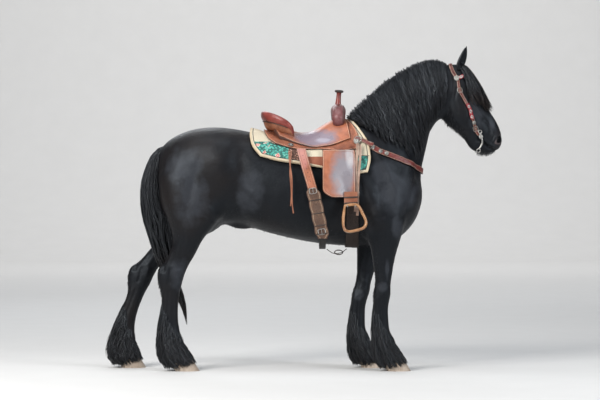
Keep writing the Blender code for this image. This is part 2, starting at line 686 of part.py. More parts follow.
def add_lock(name, path, sideways, widths, thicknesses):
    """A flat, tapered lock along a path. Its section is a flat diamond and its end is a point."""
    path = np.array(path)
    forward = unit(np.gradient(path, axis=0))
    sideways = unit(np.cross(np.cross(forward, sideways), forward))
    outward = np.cross(forward, sideways)
    rings = []
    for k in range(len(path) - 1):
        half_width, half_depth = widths[k] / 2, thicknesses[k] / 2
        rings.append(
            [
                path[k] + sideways[k] * half_width,
                path[k] + outward[k] * half_depth,
                path[k] - sideways[k] * half_width,
                path[k] - outward[k] * half_depth,
            ]
        )
    builder = bmesh.new()
    skin_rings(builder, rings, pointed=tuple(path[-1]))
    return add_object(name, mesh_from(builder, name))


def add_slab(name, inner, outer):
    """A closed sheet between two grids of points, cut into triangles alike on both faces."""
    rows, columns = inner.shape[:2]
    builder = bmesh.new()
    low, high = ([[builder.verts.new(p) for p in row] for row in sheet] for sheet in (inner, outer))
    for sheet in (low, high):
        for i in range(rows - 1):
            for k in range(columns - 1):
                builder.faces.new((sheet[i][k], sheet[i + 1][k], sheet[i + 1][k + 1]))
                builder.faces.new((sheet[i][k], sheet[i + 1][k + 1], sheet[i][k + 1]))
    rim = [(0, k) for k in range(columns)] + [(i, columns - 1) for i in range(1, rows)]
    rim += [(rows - 1, k) for k in range(columns - 2, -1, -1)] + [(i, 0) for i in range(rows - 2, 0, -1)]
    for (i, k), (m, n) in zip(rim, rim[1:] + rim[:1]):
        builder.faces.new((low[i][k], low[m][n], high[m][n]))
        builder.faces.new((low[i][k], high[m][n], high[i][k]))
    return add_object(name, mesh_from(builder, name))


# The height that the trunk is looked at from, and the step of its map.
TRUNK_MIDDLE_Z = 1.15
TRUNK_STEP = 0.02


class Trunk:
    """The trunk's skin as a map: the point at each place along the horse and reach round from its spine."""

    def __init__(self, tree):
        self.along = np.arange(-0.46, 0.60, TRUNK_STEP)
        self.around = np.arange(0.0, 0.98, TRUNK_STEP)
        angles = np.radians(np.arange(0, 181, 3))
        rows = []
        for x in self.along:
            hits = np.array(
                [outer_point(tree, (x, 0, TRUNK_MIDDLE_Z), (0, np.sin(a), np.cos(a)), 0) for a in angles]
            )
            reach = np.concatenate([[0], np.cumsum(np.linalg.norm(np.diff(hits, axis=0), axis=1))])
            rows.append([np.interp(self.around, reach, hits[:, k]) for k in (1, 2)])
        self.table = np.array(rows)

    def spots(self, x, reach):
        """Points of the skin. A negative reach lies on the right side."""
        x, reach = np.broadcast_arrays(np.asarray(x, float), np.asarray(reach, float))
        i = np.clip((x - self.along[0]) / TRUNK_STEP, 0, len(self.along) - 1.001)
        k = np.clip(np.abs(reach) / TRUNK_STEP, 0, len(self.around) - 1.001)
        i_low, k_low = i.astype(int), k.astype(int)
        i_part, k_part = i - i_low, k - k_low
        found = []
        for part in (0, 1):
            grid = self.table[:, part]
            near = grid[i_low, k_low] * (1 - k_part) + grid[i_low, k_low + 1] * k_part
            far = grid[i_low + 1, k_low] * (1 - k_part) + grid[i_low + 1, k_low + 1] * k_part
            found.append(near * (1 - i_part) + far * i_part)
        return np.stack([x, found[0] * np.sign(reach + 1e-9), found[1]], axis=-1)

    def lifted(self, x, reach, lift):
        """Points above the skin by a lift, along its own normal."""
        x, reach = np.asarray(x), np.asarray(reach)
        run = self.spots(x + TRUNK_STEP, reach) - self.spots(x - TRUNK_STEP, reach)
        side = self.spots(x, reach + TRUNK_STEP) - self.spots(x, reach - TRUNK_STEP)
        return self.spots(x, reach) + unit(np.cross(side, run)) * -np.asarray(lift)[..., None]

    def reach_at(self, x, z):
        """How far round from the spine the skin comes down to a height."""
        reaches = np.arange(0.0, 0.62, 0.01)
        heights = self.spots(x, reaches)[:, 2]
        return float(np.interp(-z, -heights, reaches))

    def side_at(self, x, z, lift):
        """How far out the lifted skin lies at a height."""
        reaches = np.arange(0.0, 0.62, 0.01)
        spots = self.lifted(np.full_like(reaches, x), reaches, lift)
        return float(np.interp(-z, -spots[:, 2], spots[:, 1]))


def lay_cover(name, trunk, form, thickness, counts, rise=None):
    """A cover over the back, with the outer face raised further by a function of x and reach.

    The form's rear and front give x by share of the way down, and its lower edge gives z by share forwards.
    """
    along, around = counts
    share = np.linspace(0, 1, along)[:, None]
    down = np.linspace(-1, 1, around)[None, :]
    x_rear = np.interp(np.abs(down), *zip(*form["rear"]))
    x_front = np.interp(np.abs(down), *zip(*form["front"]))
    x = x_rear + (x_front - x_rear) * share
    lows = np.interp(share[:, 0], *zip(*form["lower"]))
    edge_x = x[:, -1]
    limits = np.array([trunk.reach_at(edge, low) for edge, low in zip(edge_x, lows)])
    reach = limits[:, None] * down
    lift = np.full_like(x, form["lift"])
    outer = trunk.lifted(x, reach, lift + thickness)
    if rise:
        outer[..., 2] += rise(x, reach)
    return add_slab(name, trunk.lifted(x, reach, lift), outer)


def add_band(name, path, across, width, thickness):
    """A flat strap along a path, with the direction of its width given for each point."""
    path, across = np.asarray(path, float), unit(np.asarray(across, float))
    forward = unit(np.gradient(path, axis=0))
    outward = unit(np.cross(forward, across))
    width = np.broadcast_to(width, len(path))[:, None]
    edges = np.stack([path - across * width / 2, path + across * width / 2], axis=1)
    outward = outward[:, None]
    return add_slab(name, edges - outward * thickness / 2, edges + outward * thickness / 2)


def strap_on(name, tree, guide, width, lift, thickness, count, columns=(-0.5, 0.5)):
    """A strap that hugs the flesh along a guide of rough points. Columns are places across, in widths."""
    nearest = [tree.find_nearest(Vector(p)) for p in spread(guide, count)]
    path = np.array([hit[0] for hit in nearest])
    normals = np.array([hit[1] for hit in nearest])
    forward = unit(np.gradient(path, axis=0))
    across = unit(np.cross(forward, normals))
    sheets = []
    for height in (lift, lift + thickness):
        rows = []
        for spot, normal, side in zip(path, normals, across):
            row = []
            for column in columns:
                near, near_normal = tree.find_nearest(Vector(spot + side * width * column))[:2]
                row.append(np.array(near) + unit(np.array(near_normal) + normal) * height)
            rows.append(row)
        sheets.append(np.array(rows))
    return add_slab(name, *sheets)


def sweep(name, path, first, second, half_sizes, sides=8, closed=False):
    """An oval or round bar along a path, from the two directions that its section lies in."""
    rings = []
    for spot, a, b, (size_a, size_b) in zip(path, first, second, half_sizes):
        angles = np.arange(sides) * 2 * np.pi / sides
        ring = spot + np.outer(np.cos(angles) * size_a, a) + np.outer(np.sin(angles) * size_b, b)
        rings.append(ring)
    if not closed:
        return add_rings(name, rings)
    builder = bmesh.new()
    loops = [[builder.verts.new(p) for p in ring] for ring in rings]
    for one, two in zip(loops, loops[1:] + loops[:1]):
        for k in range(sides):
            k_next = (k + 1) % sides
            builder.faces.new((one[k], one[k_next], two[k_next]))
            builder.faces.new((one[k], two[k_next], two[k]))
    return add_object(name, mesh_from(builder, name))


def add_turned(name, base, axis, profile, sides=10):
    """A turned piece: radius and height pairs about an axis."""
    base, axis = np.array(base, float), unit(np.array(axis, float))
    first = unit(np.cross(axis, (0.3, 0.9, 0.2)))
    second = np.cross(axis, first)
    angles = np.arange(sides) * 2 * np.pi / sides
    rings = [
        base + axis * height + radius * (np.outer(np.cos(angles), first) + np.outer(np.sin(angles), second))
        for radius, height in profile
    ]
    return add_rings(name, rings)


# The saddle, from the back upwards. Shares down run from the spine to the lower edge.
PAD = {
    "rear": [(0, -0.335), (0.5, -0.335), (0.75, -0.325), (0.9, -0.300), (1, -0.255)],
    "front": [(0, 0.320), (0.35, 0.365), (0.65, 0.425), (0.9, 0.440), (1, 0.405)],
    "lower": [(0, 1.355), (0.12, 1.325), (0.5, 1.287), (0.9, 1.238), (1, 1.256)],
    "lift": 0.009,
    "thickness": 0.020,
}
SKIRT = {
    "rear": [(0, -0.255), (0.5, -0.250), (0.85, -0.225), (1, -0.17)],
    "front": [(0, 0.300), (0.4, 0.335), (0.8, 0.370), (1, 0.345)],
    "lower": [(0, 1.450), (0.12, 1.425), (0.3, 1.402), (0.62, 1.392), (0.82, 1.372), (1, 1.395)],
    "lift": 0.034,
    "thickness": 0.006,
}
SEAT = {
    "rear": [(0, -0.205), (0.5, -0.200), (0.8, -0.180), (1, -0.150)],
    "front": [(0, 0.290), (0.5, 0.305), (0.8, 0.315), (1, 0.315)],
    "lower": [(0, 1.435), (0.25, 1.400), (0.5, 1.378), (0.75, 1.400), (1, 1.455)],
    "lift": 0.0435,
}
SEAT_RISE = [
    (-0.205, 0.072),
    (-0.170, 0.056),
    (-0.120, 0.040),
    (-0.050, 0.024),
    (0.020, 0.018),
    (0.080, 0.022),
    (0.170, 0.040),
    (0.230, 0.030),
    (0.300, 0.004),
]
SEAT_LEATHER = 0.006
CANTLE = {"front_x": -0.055, "run": 0.177, "low_z": 1.500, "rise": 0.090, "half_y": 0.172, "swing": 100}
SWELL = {"x": 0.232, "z": 1.592, "rise": 0.062, "half_y": 0.118, "swing": 115, "radius": 0.045}
HORN_BASE = (0.228, 0, 1.66)
HORN_AXIS = (0.08, 0, 1)
HORN_PROFILE = [
    (0.026, 0),
    (0.019, 0.04),
    (0.015, 0.08),
    (0.015, 0.110),
    (0.026, 0.114),
    (0.028, 0.121),
    (0.023, 0.128),
]
FENDER = {
    "top_z": 1.400,
    "low_z": 1.100,
    "rear_x": 0.128,
    "front_x": 0.335,
    "lift": 0.052,
    "thickness": 0.005,
}
TAB = {"rear_x": 0.262, "front_x": 0.348, "low_z": 1.056, "overlap": 0.020}
STIRRUP_OUTLINE = [
    (0.268, 1.046),
    (0.259, 0.975),
    (0.262, 0.910),
    (0.287, 0.886),
    (0.340, 0.893),
    (0.388, 0.912),
    (0.400, 0.948),
    (0.376, 1.004),
    (0.350, 1.048),
    (0.308, 1.054),
]
STIRRUP_Y = 0.332


def hanging_side(trunk, x, heights, lift, tuck=0.0):
    """How far out a piece hangs at each height: straight down below the widest part, or tucked in."""
    lifts = np.broadcast_to(lift, len(heights))
    outs = np.array([trunk.side_at(x, z, up) for z, up in zip(heights, lifts)])
    return outs * tuck + np.maximum.accumulate(outs) * (1 - tuck)


def build_fender(trunk, side, sign, skirt, stirrup):
    heights = np.linspace(FENDER["top_z"], FENDER["low_z"], 7)
    share = np.linspace(0, 1, 7)
    rear = FENDER["rear_x"] + 0.045 * np.clip((share - 0.78) / 0.22, 0, 1) ** 2
    front = FENDER["front_x"] + 0 * share
    inner, outer = [], []
    for z, x_rear, x_front in zip(heights, rear, front):
        columns = np.linspace(x_rear, x_front, 3)
        inner.append([(x, 0, z) for x in columns])
    inner = np.array(inner)
    for k in range(3):
        inner[:, k, 1] = hanging_side(trunk, inner[0, k, 0], heights, FENDER["lift"]) * sign
    outer = inner + np.array([0, FENDER["thickness"] * sign, 0])
    fender = add_slab("fender_" + side, inner, outer)
    clear_of(fender, [skirt])
    edges = (FENDER["low_z"] + TAB["overlap"], TAB["low_z"])
    y = STIRRUP_Y * sign
    tab = np.array([[(x, y, z) for x in (TAB["rear_x"], TAB["front_x"])] for z in edges])
    tab = add_slab("tab", tab, tab + np.array([0, FENDER["thickness"] * sign, 0]))
    boolean(fender, "UNION", [tab])
    clear_of(fender, [stirrup])
    return finish(fender, TAN_LEATHER, smooth=False)


def build_stirrup(side, sign):
    outline = STIRRUP_OUTLINE + [STIRRUP_OUTLINE[0]]
    loop = spread([(x, STIRRUP_Y * sign, z) for x, z in outline], 19)[:-1]
    middle = loop.mean(axis=0)
    inwards = unit(middle - loop)
    across = np.tile([0.0, 1.0, 0.0], (len(loop), 1))
    widths = [0.016 + 0.012 * np.clip((1.0 - z) / 0.1, 0, 1) for z in loop[:, 2]]
    halves = [(0.0075, width) for width in widths]
    stirrup = sweep("stirrup_" + side, loop, inwards, across, halves, sides=6, closed=True)
    return finish(stirrup, STIRRUP_WOOD)


def seat_rise(x, reach):
    """The tree under the seat: lowest in the middle, and higher towards the swell and the cantle."""
    return np.interp(x, *zip(*SEAT_RISE)) * np.exp(-((np.abs(reach) / 0.15) ** 4))


def build_saddle(trunk, torso, neck):
    pad = lay_cover("saddle_pad", trunk, PAD, PAD["thickness"], (9, 13))
    clear_of(pad, [torso, neck])
    skirt = lay_cover("saddle_skirt", trunk, SKIRT, SKIRT["thickness"], (9, 11))
    seat = lay_cover("saddle_seat", trunk, SEAT, SEAT_LEATHER, (10, 11), seat_rise)
    clear_of(skirt, [pad])
    clear_of(seat, [skirt, pad])
    angles = np.radians(np.linspace(-CANTLE["swing"], CANTLE["swing"], 11))
    lowest = np.cos(np.radians(CANTLE["swing"]))
    climb = np.clip((np.cos(angles) - lowest) / (1 - lowest), 0, 1)
    path = np.column_stack(
        [
            CANTLE["front_x"] - CANTLE["run"] * climb,
            CANTLE["half_y"] * np.sin(angles),
            CANTLE["low_z"] + CANTLE["rise"] * climb**0.45,
        ]
    )
    lean = unit(np.column_stack([-0.30 * climb, 0.35 * np.sin(angles), np.ones(11)]))
    forward = unit(np.gradient(path, axis=0))
    halves = [(0.014 + 0.050 * c, 0.010 + 0.010 * c) for c in climb**0.35]
    cantle = sweep("saddle_cantle", path, lean, unit(np.cross(forward, lean)), halves, sides=8)
    clear_of(cantle, [seat, skirt])
    angles = np.radians(np.linspace(-SWELL["swing"], SWELL["swing"], 11))
    path = np.column_stack(
        [
            np.full(11, SWELL["x"]),
            SWELL["half_y"] * np.sin(angles),
            SWELL["z"] + SWELL["rise"] * np.cos(angles),
        ]
    )
    outwards = unit(np.column_stack([np.zeros(11), np.sin(angles), np.cos(angles)]))
    ahead = np.tile([1.0, 0.0, 0.0], (11, 1))
    radii = [(SWELL["radius"] * s, SWELL["radius"] * 1.08 * s) for s in 0.72 + 0.28 * np.cos(angles / 1.3)]
    swell = sweep("saddle_swell", path, outwards, ahead, radii, sides=10)
    clear_of(swell, [seat, skirt])
    horn = add_turned("saddle_horn", HORN_BASE, HORN_AXIS, HORN_PROFILE)
    clear_of(horn, [swell, seat])
    finish(pad, WOVEN)
    finish(skirt, TAN_LEATHER)
    finish(seat, TAN_LEATHER)
    finish(cantle, RED_LEATHER)
    finish(swell, RED_LEATHER)
    finish(horn, RED_LEATHER)
    for side, sign in SIDES:
        build_fender(trunk, side, sign, skirt, build_stirrup(side, sign))
    return pad, skirt, seat


def build_rigging(trunk, tree, pad, skirt, seat, flesh):
    """The straps that hold the saddle: the billets, both cinches, and the thongs that hang from it."""
    along = np.array([1.0, 0.0, 0.0])
    heights = np.linspace(1.405, 0.842, 11)
    billet_out = hanging_side(trunk, 0.05, heights, 0.058, tuck=0.5)
    across = np.linspace(-1, 1, 15)
    sag = 0.772 + 0.072 * np.abs(across) ** 2.2
    path = np.column_stack([np.full(15, 0.130), across * billet_out[-1], sag])
    rear = add_band("rear_cinch", path, np.tile(along, (15, 1)), 0.050, 0.006)
    finish(rear, DARK_LEATHER, smooth=False)
    for side, sign in SIDES:
        x = np.interp(-heights, [-1.41, -1.15, -0.85], [-0.010, 0.066, 0.130])
        path = np.column_stack([x, billet_out * sign, heights])
        billet = add_band("rear_billet_" + side, path, np.tile(along, (11, 1)), 0.060, 0.007)
        clear_of(billet, [pad, skirt, seat, rear])
        finish(billet, TAN_LEATHER, smooth=False)
        drop = np.linspace(1.440, 1.030, 8)
        out = hanging_side(trunk, 0.345, drop, np.linspace(0.066, 0.022, 8), tuck=1.0)
        path = np.column_stack([np.linspace(0.352, 0.335, 8), out * sign, drop])
        latigo = add_band("latigo_" + side, path, np.tile(along, (8, 1)), 0.022, 0.005)
        clear_of(latigo, [pad, skirt])
        finish(latigo, DARK_LEATHER, smooth=False)
        drop = np.linspace(1.390, 1.000, 7)
        out = hanging_side(trunk, -0.07, drop, 0.043)
        path = np.column_stack([np.linspace(-0.078, -0.056, 7), out * sign, drop])
        thong = add_band("saddle_string_" + side, path, np.tile(along, (7, 1)), 0.010, 0.003)
        clear_of(thong, [pad, skirt])
        finish(thong, TAN_LEATHER, smooth=False)
    angles = np.radians(np.linspace(106, 254, 25))
    guide = [tuple(outer_point(tree, (0.318, 0, 1.15), (0, np.sin(a), np.cos(a)), 0)) for a in angles]
    cinch = strap_on("front_cinch", tree, guide, 0.060, 0.006, 0.009, 15, (-0.5, 0, 0.5))
    clear_of(cinch, flesh + [pad])
    finish(cinch, DARK_LEATHER, smooth=False)
    path = spread([(0.158, 0, 0.770), (0.200, 0, 0.752), (0.250, 0, 0.755), (0.284, 0, 0.774)], 7)
    link = add_band("cinch_link", path, np.tile([0.0, 1.0, 0.0], (7, 1)), 0.020, 0.005)
    clear_of(link, [rear, cinch])
    finish(link, DARK_LEATHER, smooth=False)


COLLAR_GUIDE = [(0.345, 1.468), (0.468, 1.402), (0.628, 1.338), (0.724, 1.288)]
COLLAR_FRONT = (0.790, 0.0, 1.262)
CROWN_GUIDE = [(0.945, 0.000, 1.985), (0.948, 0.055, 1.950), (0.962, 0.090, 1.905), (0.984, 0.100, 1.862)]
BROW_GUIDE = [(0.992, 0.100, 1.862), (1.032, 0.100, 1.882), (1.070, 0.060, 1.915), (1.092, 0.000, 1.925)]
CHEEK_GUIDE = [
    (0.992, 0.100, 1.846),
    (1.004, 0.098, 1.780),
    (1.034, 0.085, 1.704),
    (1.066, 0.080, 1.644),
    (1.092, 0.075, 1.588),
    (1.112, 0.060, 1.524),
    (1.130, 0.050, 1.500),
]


CONCHO_PROFILE = [(0.016, 0), (0.016, 0.003), (0.009, 0.006)]
SHANK_PATH = [(1.134, 1.512), (1.136, 1.490), (1.150, 1.462), (1.146, 1.432), (1.124, 1.404)]


def mirrored_guide(guide):
    """A guide that runs from the right side over the middle to the left."""
    right = [(x, -y, z) for x, y, z in guide]
    return right[::-1] + guide[1:]


def build_collar(flesh, pad, skirt):
    tree = surface_of(flesh + [pad])
    ends = []
    for x, z in COLLAR_GUIDE:
        hit = tree.ray_cast(Vector((x, 1.0, z)), Vector((0, -1, 0)))[0]
        ends.append((hit.x, hit.y + 0.03, hit.z))
    guide = mirrored_guide([COLLAR_FRONT] + ends[::-1])
    collar = strap_on("breast_collar", tree, guide, 0.036, 0.008, 0.006, 31)
    clear_of(collar, flesh + [pad, skirt])
    return finish(collar, RED_LEATHER, smooth=False)


def build_bridle(tree, head):
    crown = strap_on("bridle_crown", tree, mirrored_guide(CROWN_GUIDE), 0.024, 0.006, 0.005, 17)
    brow = strap_on("bridle_browband", tree, mirrored_guide(BROW_GUIDE[::-1]), 0.022, 0.006, 0.005, 17)
    clear_of(brow, [crown, head])
    made = [finish(crown, RED_LEATHER, smooth=False), finish(brow, RED_LEATHER, smooth=False)]
    for side, sign in SIDES:
        guide = [(x, y * sign, z) for x, y, z in CHEEK_GUIDE]
        cheek = strap_on("bridle_cheek_" + side, tree, guide, 0.020, 0.004, 0.004, 14)
        clear_of(cheek, [crown, brow])
        made.append(finish(cheek, RED_LEATHER, smooth=False))
        hit, normal = tree.find_nearest(Vector((0.987, 0.12 * sign, 1.857)))[:2]
        concho = add_turned("bridle_concho_" + side, hit + normal * 0.014, normal, CONCHO_PROFILE)
        clear_of(concho, [crown, brow, cheek])
        made.append(finish(concho, SILVER))
        points = [(x, (0.066 if z > 1.45 else 0.062) * sign, z) for x, z in SHANK_PATH]
        points = spread(points, 9)
        across = np.tile([0.0, 1.0, 0.0], (9, 1))
        ahead = unit(np.cross(unit(np.gradient(points, axis=0)), across))
        shank = sweep("bit_" + side, points, ahead, across, [(0.0055, 0.0035)] * 9, sides=6)
        clear_of(shank, [cheek, head])
        made.append(finish(shank, SILVER))
    return made


# The tail's middle line with its half thickness in the side view and across.
TAIL = [
    (-0.850, 1.432, 0.024, 0.026),
    (-0.890, 1.412, 0.033, 0.031),
    (-0.926, 1.362, 0.045, 0.038),
    (-0.952, 1.280, 0.057, 0.047),
    (-0.964, 1.179, 0.070, 0.057),
    (-0.954, 1.083, 0.084, 0.063),
    (-0.936, 0.987, 0.087, 0.065),
    (-0.915, 0.904, 0.085, 0.063),
    (-0.898, 0.827, 0.079, 0.058),
    (-0.878, 0.712, 0.060, 0.050),
    (-0.840, 0.600, 0.046, 0.042),
    (-0.795, 0.490, 0.038, 0.036),
    (-0.762, 0.400, 0.030, 0.028),
    (-0.738, 0.280, 0.008, 0.008),
]
# Where the mane hangs down to on the near side, from the withers to the poll.
MANE_ENDS = [
    (0.352, 1.560),
    (0.438, 1.500),
    (0.530, 1.440),
    (0.620, 1.395),
    (0.700, 1.365),
    (0.752, 1.390),
    (0.785, 1.470),
    (0.815, 1.550),
    (0.850, 1.600),
    (0.885, 1.640),
    (0.915, 1.690),
]
FORE_FEATHER = [
    (0.552, 0.440, 0.444, 0.440, 0.048, 0.147, 0.5, 2.0),
    (0.556, 0.350, 0.441, 0.350, 0.052, 0.144, 0.5, 2.0),
    (0.570, 0.260, 0.436, 0.250, 0.060, 0.142, 0.5, 2.0),
    (0.589, 0.190, 0.434, 0.160, 0.070, 0.141, 0.5, 2.0),
    (0.634, 0.138, 0.436, 0.092, 0.080, 0.140, 0.5, 2.0),
    (0.666, 0.088, 0.448, 0.036, 0.086, 0.140, 0.5, 2.1),
    (0.682, 0.052, 0.478, 0.010, 0.084, 0.140, 0.5, 2.1),
]
HIND_FEATHER = [
    (-0.777, 0.440, -0.897, 0.440, 0.047, 0.149, 0.5, 2.0),
    (-0.777, 0.350, -0.908, 0.350, 0.052, 0.148, 0.5, 2.0),
    (-0.770, 0.260, -0.922, 0.250, 0.060, 0.147, 0.5, 2.0),
    (-0.750, 0.190, -0.930, 0.160, 0.070, 0.146, 0.5, 2.0),
    (-0.708, 0.138, -0.930, 0.092, 0.081, 0.145, 0.5, 2.0),
    (-0.676, 0.088, -0.914, 0.036, 0.087, 0.145, 0.5, 2.1),
    (-0.660, 0.052, -0.876, 0.010, 0.085, 0.145, 0.5, 2.1),
]


# Each head of hair: how many locks, how wide and thick they are at their widest, and its seed.
MANE_LOCKS = {"width": 0.062, "thickness": 0.010, "seed": 4}
# The mane's layers: how many locks, how far they stand off the neck, and how far down they reach.
MANE_LAYERS = ((15, 0.012, 1.0), (6, 0.026, 0.8))
TAIL_LOCKS = {"count": 12, "width": 0.044, "thickness": 0.011, "seed": 7}
FORELOCK = {"count": 5, "width": 0.030, "thickness": 0.006, "seed": 2}
FEATHER_LOCKS = {"lower": 8, "upper": 4, "width": 0.062, "thickness": 0.006, "stagger": 0.07, "seed": 11}
# How wide a lock is along its length, as shares of its widest, from the root to just before its point.
LOCK_TAPER = [(0, 0.6), (0.25, 1.0), (0.6, 0.95), (0.85, 0.6), (1, 0.2)]


def add_tapered(path, sideways, width, thickness):
    """A lock whose width and thickness follow the taper along its path."""
    shares = np.linspace(0, 1, len(path))
    taper = np.interp(shares, *zip(*LOCK_TAPER))
    return add_lock("lock", path, sideways, width * taper, thickness * np.maximum(taper, 0.5))


def tail_rings(sides, count, share=1.0, size=1.0):
    """Rings about the tail's middle line, down to a share of its length."""
    path = spread(TAIL, count)[: int((count - 1) * share) + 1]
    spots, across, out = tail_frame(path)
    angles = np.arange(sides) * 2 * np.pi / sides
    return [
        spot + size * (side * row[3] * np.cos(angles)[:, None] + back * row[2] * np.sin(angles)[:, None])
        for spot, side, back, row in zip(spots, across, out, path)
    ]


def tail_frame(path):
    """The points of the tail's middle line, and the directions across it and out from it."""
    spots = np.column_stack([path[:, 0], 0 * path[:, 0], path[:, 1]])
    across = np.tile([0.0, 1.0, 0.0], (len(spots), 1))
    return spots, across, np.cross(unit(np.gradient(spots, axis=0)), across)


def build_tail(torso):
    """The dock with its hair: a core down to half its length, and locks around it that part and taper."""
    tail = add_rings("tail", tail_rings(8, 14, share=0.5, size=0.5))
    chance = np.random.default_rng(TAIL_LOCKS["seed"])
    fine = spread(TAIL, 60)
    spots, across, out = tail_frame(fine)
    locks = []
    for k in range(TAIL_LOCKS["count"]):
        angle = 2 * np.pi * (k + 0.5 * chance.random()) / TAIL_LOCKS["count"]
        start = 0.04 + 0.10 * chance.random()
        end = 1.0 if k % 6 == 0 else 0.70 + 0.25 * chance.random()
        shares = np.linspace(start, end, 7)
        outwards = np.interp(np.linspace(0, 1, 7), [0, 0.2, 0.6, 1.0], [0.30, 0.78, 0.80, 0.35])
        places = shares * 59
        path, sideways = [], []
        for place, far in zip(places, outwards):
            i = int(round(place))
            side, back = across[i] * np.cos(angle) * fine[i, 3], out[i] * np.sin(angle) * fine[i, 2]
            path.append(spots[i] + (side + back) * far)
            flat = out[i] * np.cos(angle) - across[i] * np.sin(angle)
            sideways.append(unit(flat + 0.25 * unit(side + back)))
        locks.append(add_tapered(path, np.array(sideways), TAIL_LOCKS["width"], TAIL_LOCKS["thickness"]))
    boolean(tail, "UNION", locks)
    return clear_of(tail, [torso])


def crest_line():
    return [(row[0], row[1]) for row in NECK[1:-1]] + [(0.932, 1.956)]


def mane_point(tree, along, down, lift):
    """A point over the near side of the neck, by share of the crest and share of the way down."""
    count = 40
    crest, ends = spread(crest_line(), count), spread(MANE_ENDS, count)
    place = np.clip(along, 0, 1) * (count - 1)
    upper = np.array([np.interp(place, np.arange(count), crest[:, k]) for k in (0, 1)])
    lower = np.array([np.interp(place, np.arange(count), ends[:, k]) for k in (0, 1)])
    x, z = upper + (lower - upper) * (0.10 + 0.90 * max(down, 0.0))
    turn = np.clip(down * 3.2, -0.4, 1) * np.pi / 2
    crest_up = np.array([-0.45, 0.0, 0.89])
    towards = Vector(crest_up * np.cos(turn) + np.array([0.0, -1.0, 0.0]) * np.sin(turn))
    hit, normal = tree.ray_cast(Vector((x, 0, z)) + towards * 1.5, -towards)[:2]
    return np.array(hit + normal * lift)


def mane_locks(tree):
    """Locks that part at the crest and fall down the near side, in two layers."""
    chance = np.random.default_rng(MANE_LOCKS["seed"])
    locks = []
    for count, lift, reach in MANE_LAYERS:
        for k in range(count):
            along = (k + 0.5 + 0.3 * (chance.random() - 0.5)) / count
            drift = 0.02 * (chance.random() - 0.5)
            length = reach * (0.92 + 0.12 * chance.random())
            downs = np.array([-0.12, 0.0, 0.14, 0.38, 0.70, 1.0]) * length
            lifts = np.array([-0.014, 0.010 + 0.3 * lift, 0.006 + 0.8 * lift, lift, 0.8 * lift, 0.5 * lift])
            places = along + drift * downs
            path = np.array([mane_point(tree, *place) for place in zip(places, downs, lifts)])
            beside = np.array([mane_point(tree, *place) for place in zip(places + 0.02, downs, lifts)])
            forward = unit(np.gradient(path, axis=0))
            sideways = unit(beside - path)
            sideways = unit(sideways + 0.16 * unit(np.cross(sideways, forward)))
            locks.append(add_tapered(path, sideways, MANE_LOCKS["width"], MANE_LOCKS["thickness"]))
    return locks


def forelock_locks(tree):
    """Locks that fall from between the ears over the browband and the near side of the forehead."""
    chance = np.random.default_rng(FORELOCK["seed"])
    guide = spread([(1.036, 1.962), (1.062, 1.950), (1.112, 1.885), (1.165, 1.780), (1.215, 1.690)], 6)
    lifts = [-0.012, 0.016, 0.013, 0.010, 0.008, 0.006]
    locks = []
    for k in range(FORELOCK["count"]):
        across = -0.058 + 0.076 * k / (FORELOCK["count"] - 1)
        length = 0.80 + 0.20 * chance.random()
        path, sideways = [], []
        for i, share in enumerate(np.linspace(0, length, 6)):
            x, z = (np.interp(share, np.linspace(0, 1, 6), guide[:, m]) for m in (0, 1))
            y = across * np.interp(share, [0, 0.35, 0.7, 1], [0.45, 0.95, 0.9, 0.55])
            near, normal = tree.find_nearest(Vector((x, y, z)))[:2]
            path.append(np.array(near + normal * (lifts[i] + 0.004 * (k % 2))))
            sideways.append(np.array(normal.cross(Vector((0.5, 0, -0.8)))))
        locks.append(add_tapered(path, unit(np.array(sideways)), FORELOCK["width"], FORELOCK["thickness"]))
    return locks


def cuff_point(table, height, angle, share):
    """A point about a leg at a height, by angle from the front, on the leg's or its feather's outline."""
    rows = np.array(table)[::-1]
    middle_z = (rows[:, 1] + rows[:, 3]) / 2
    x_a, x_b, half_width, y_centre = (np.interp(height, middle_z, rows[:, m]) for m in (0, 2, 4, 5))
    x = (x_a + x_b) / 2 + share * (x_a - x_b) / 2 * np.cos(angle)
    return np.array([x, y_centre + share * half_width * np.sin(angle), height])


FEATHER_BOW = (0.92, 0.97, 1.0, 0.93)


def feather_locks(name):
    """Long hair about the fetlock and over the back of the hoof, in two tiers."""
    stations, hoof, sign, step_back = LEGS[name]
    fore = name.startswith("fore")
    leg = leg_stations(stations, sign, step_back)
    cuff = leg_stations(FORE_FEATHER if fore else HIND_FEATHER, sign, step_back)
    chance = np.random.default_rng(FEATHER_LOCKS["seed"])
    tiers = (
        (FEATHER_LOCKS["lower"], (30, 330), 0.225, None, 0.88),
        (FEATHER_LOCKS["upper"], (70, 290), 0.400, 0.135, 0.93),
    )
    locks = []
    for count, (first, last), root, end, share in tiers:
        for k, angle in enumerate(np.radians(np.linspace(first, last, count))):
            out = share + FEATHER_LOCKS["stagger"] * (k % 2)
            top = root - 0.03 * chance.random()
            behind = (1 - np.cos(angle)) / 2
            low = (end or 0.052 - 0.038 * min(1.0, 1.5 * behind)) + 0.012 * chance.random()
            heights = np.linspace(top, low, 5)
            path = [cuff_point(leg, top, angle, 0.80)]
            path += [cuff_point(cuff, z, angle, out * bow) for z, bow in zip(heights[1:], FEATHER_BOW)]
            here = np.array([cuff_point(cuff, z, angle, share) for z in heights])
            beside = np.array([cuff_point(cuff, z, angle + 0.1, share) for z in heights])
            outward = np.array([np.cos(angle), np.sin(angle), 0.0])
            sideways = unit(unit(beside - here) + 0.06 * outward)
            locks.append(add_tapered(path, sideways, FEATHER_LOCKS["width"], FEATHER_LOCKS["thickness"]))
    return locks


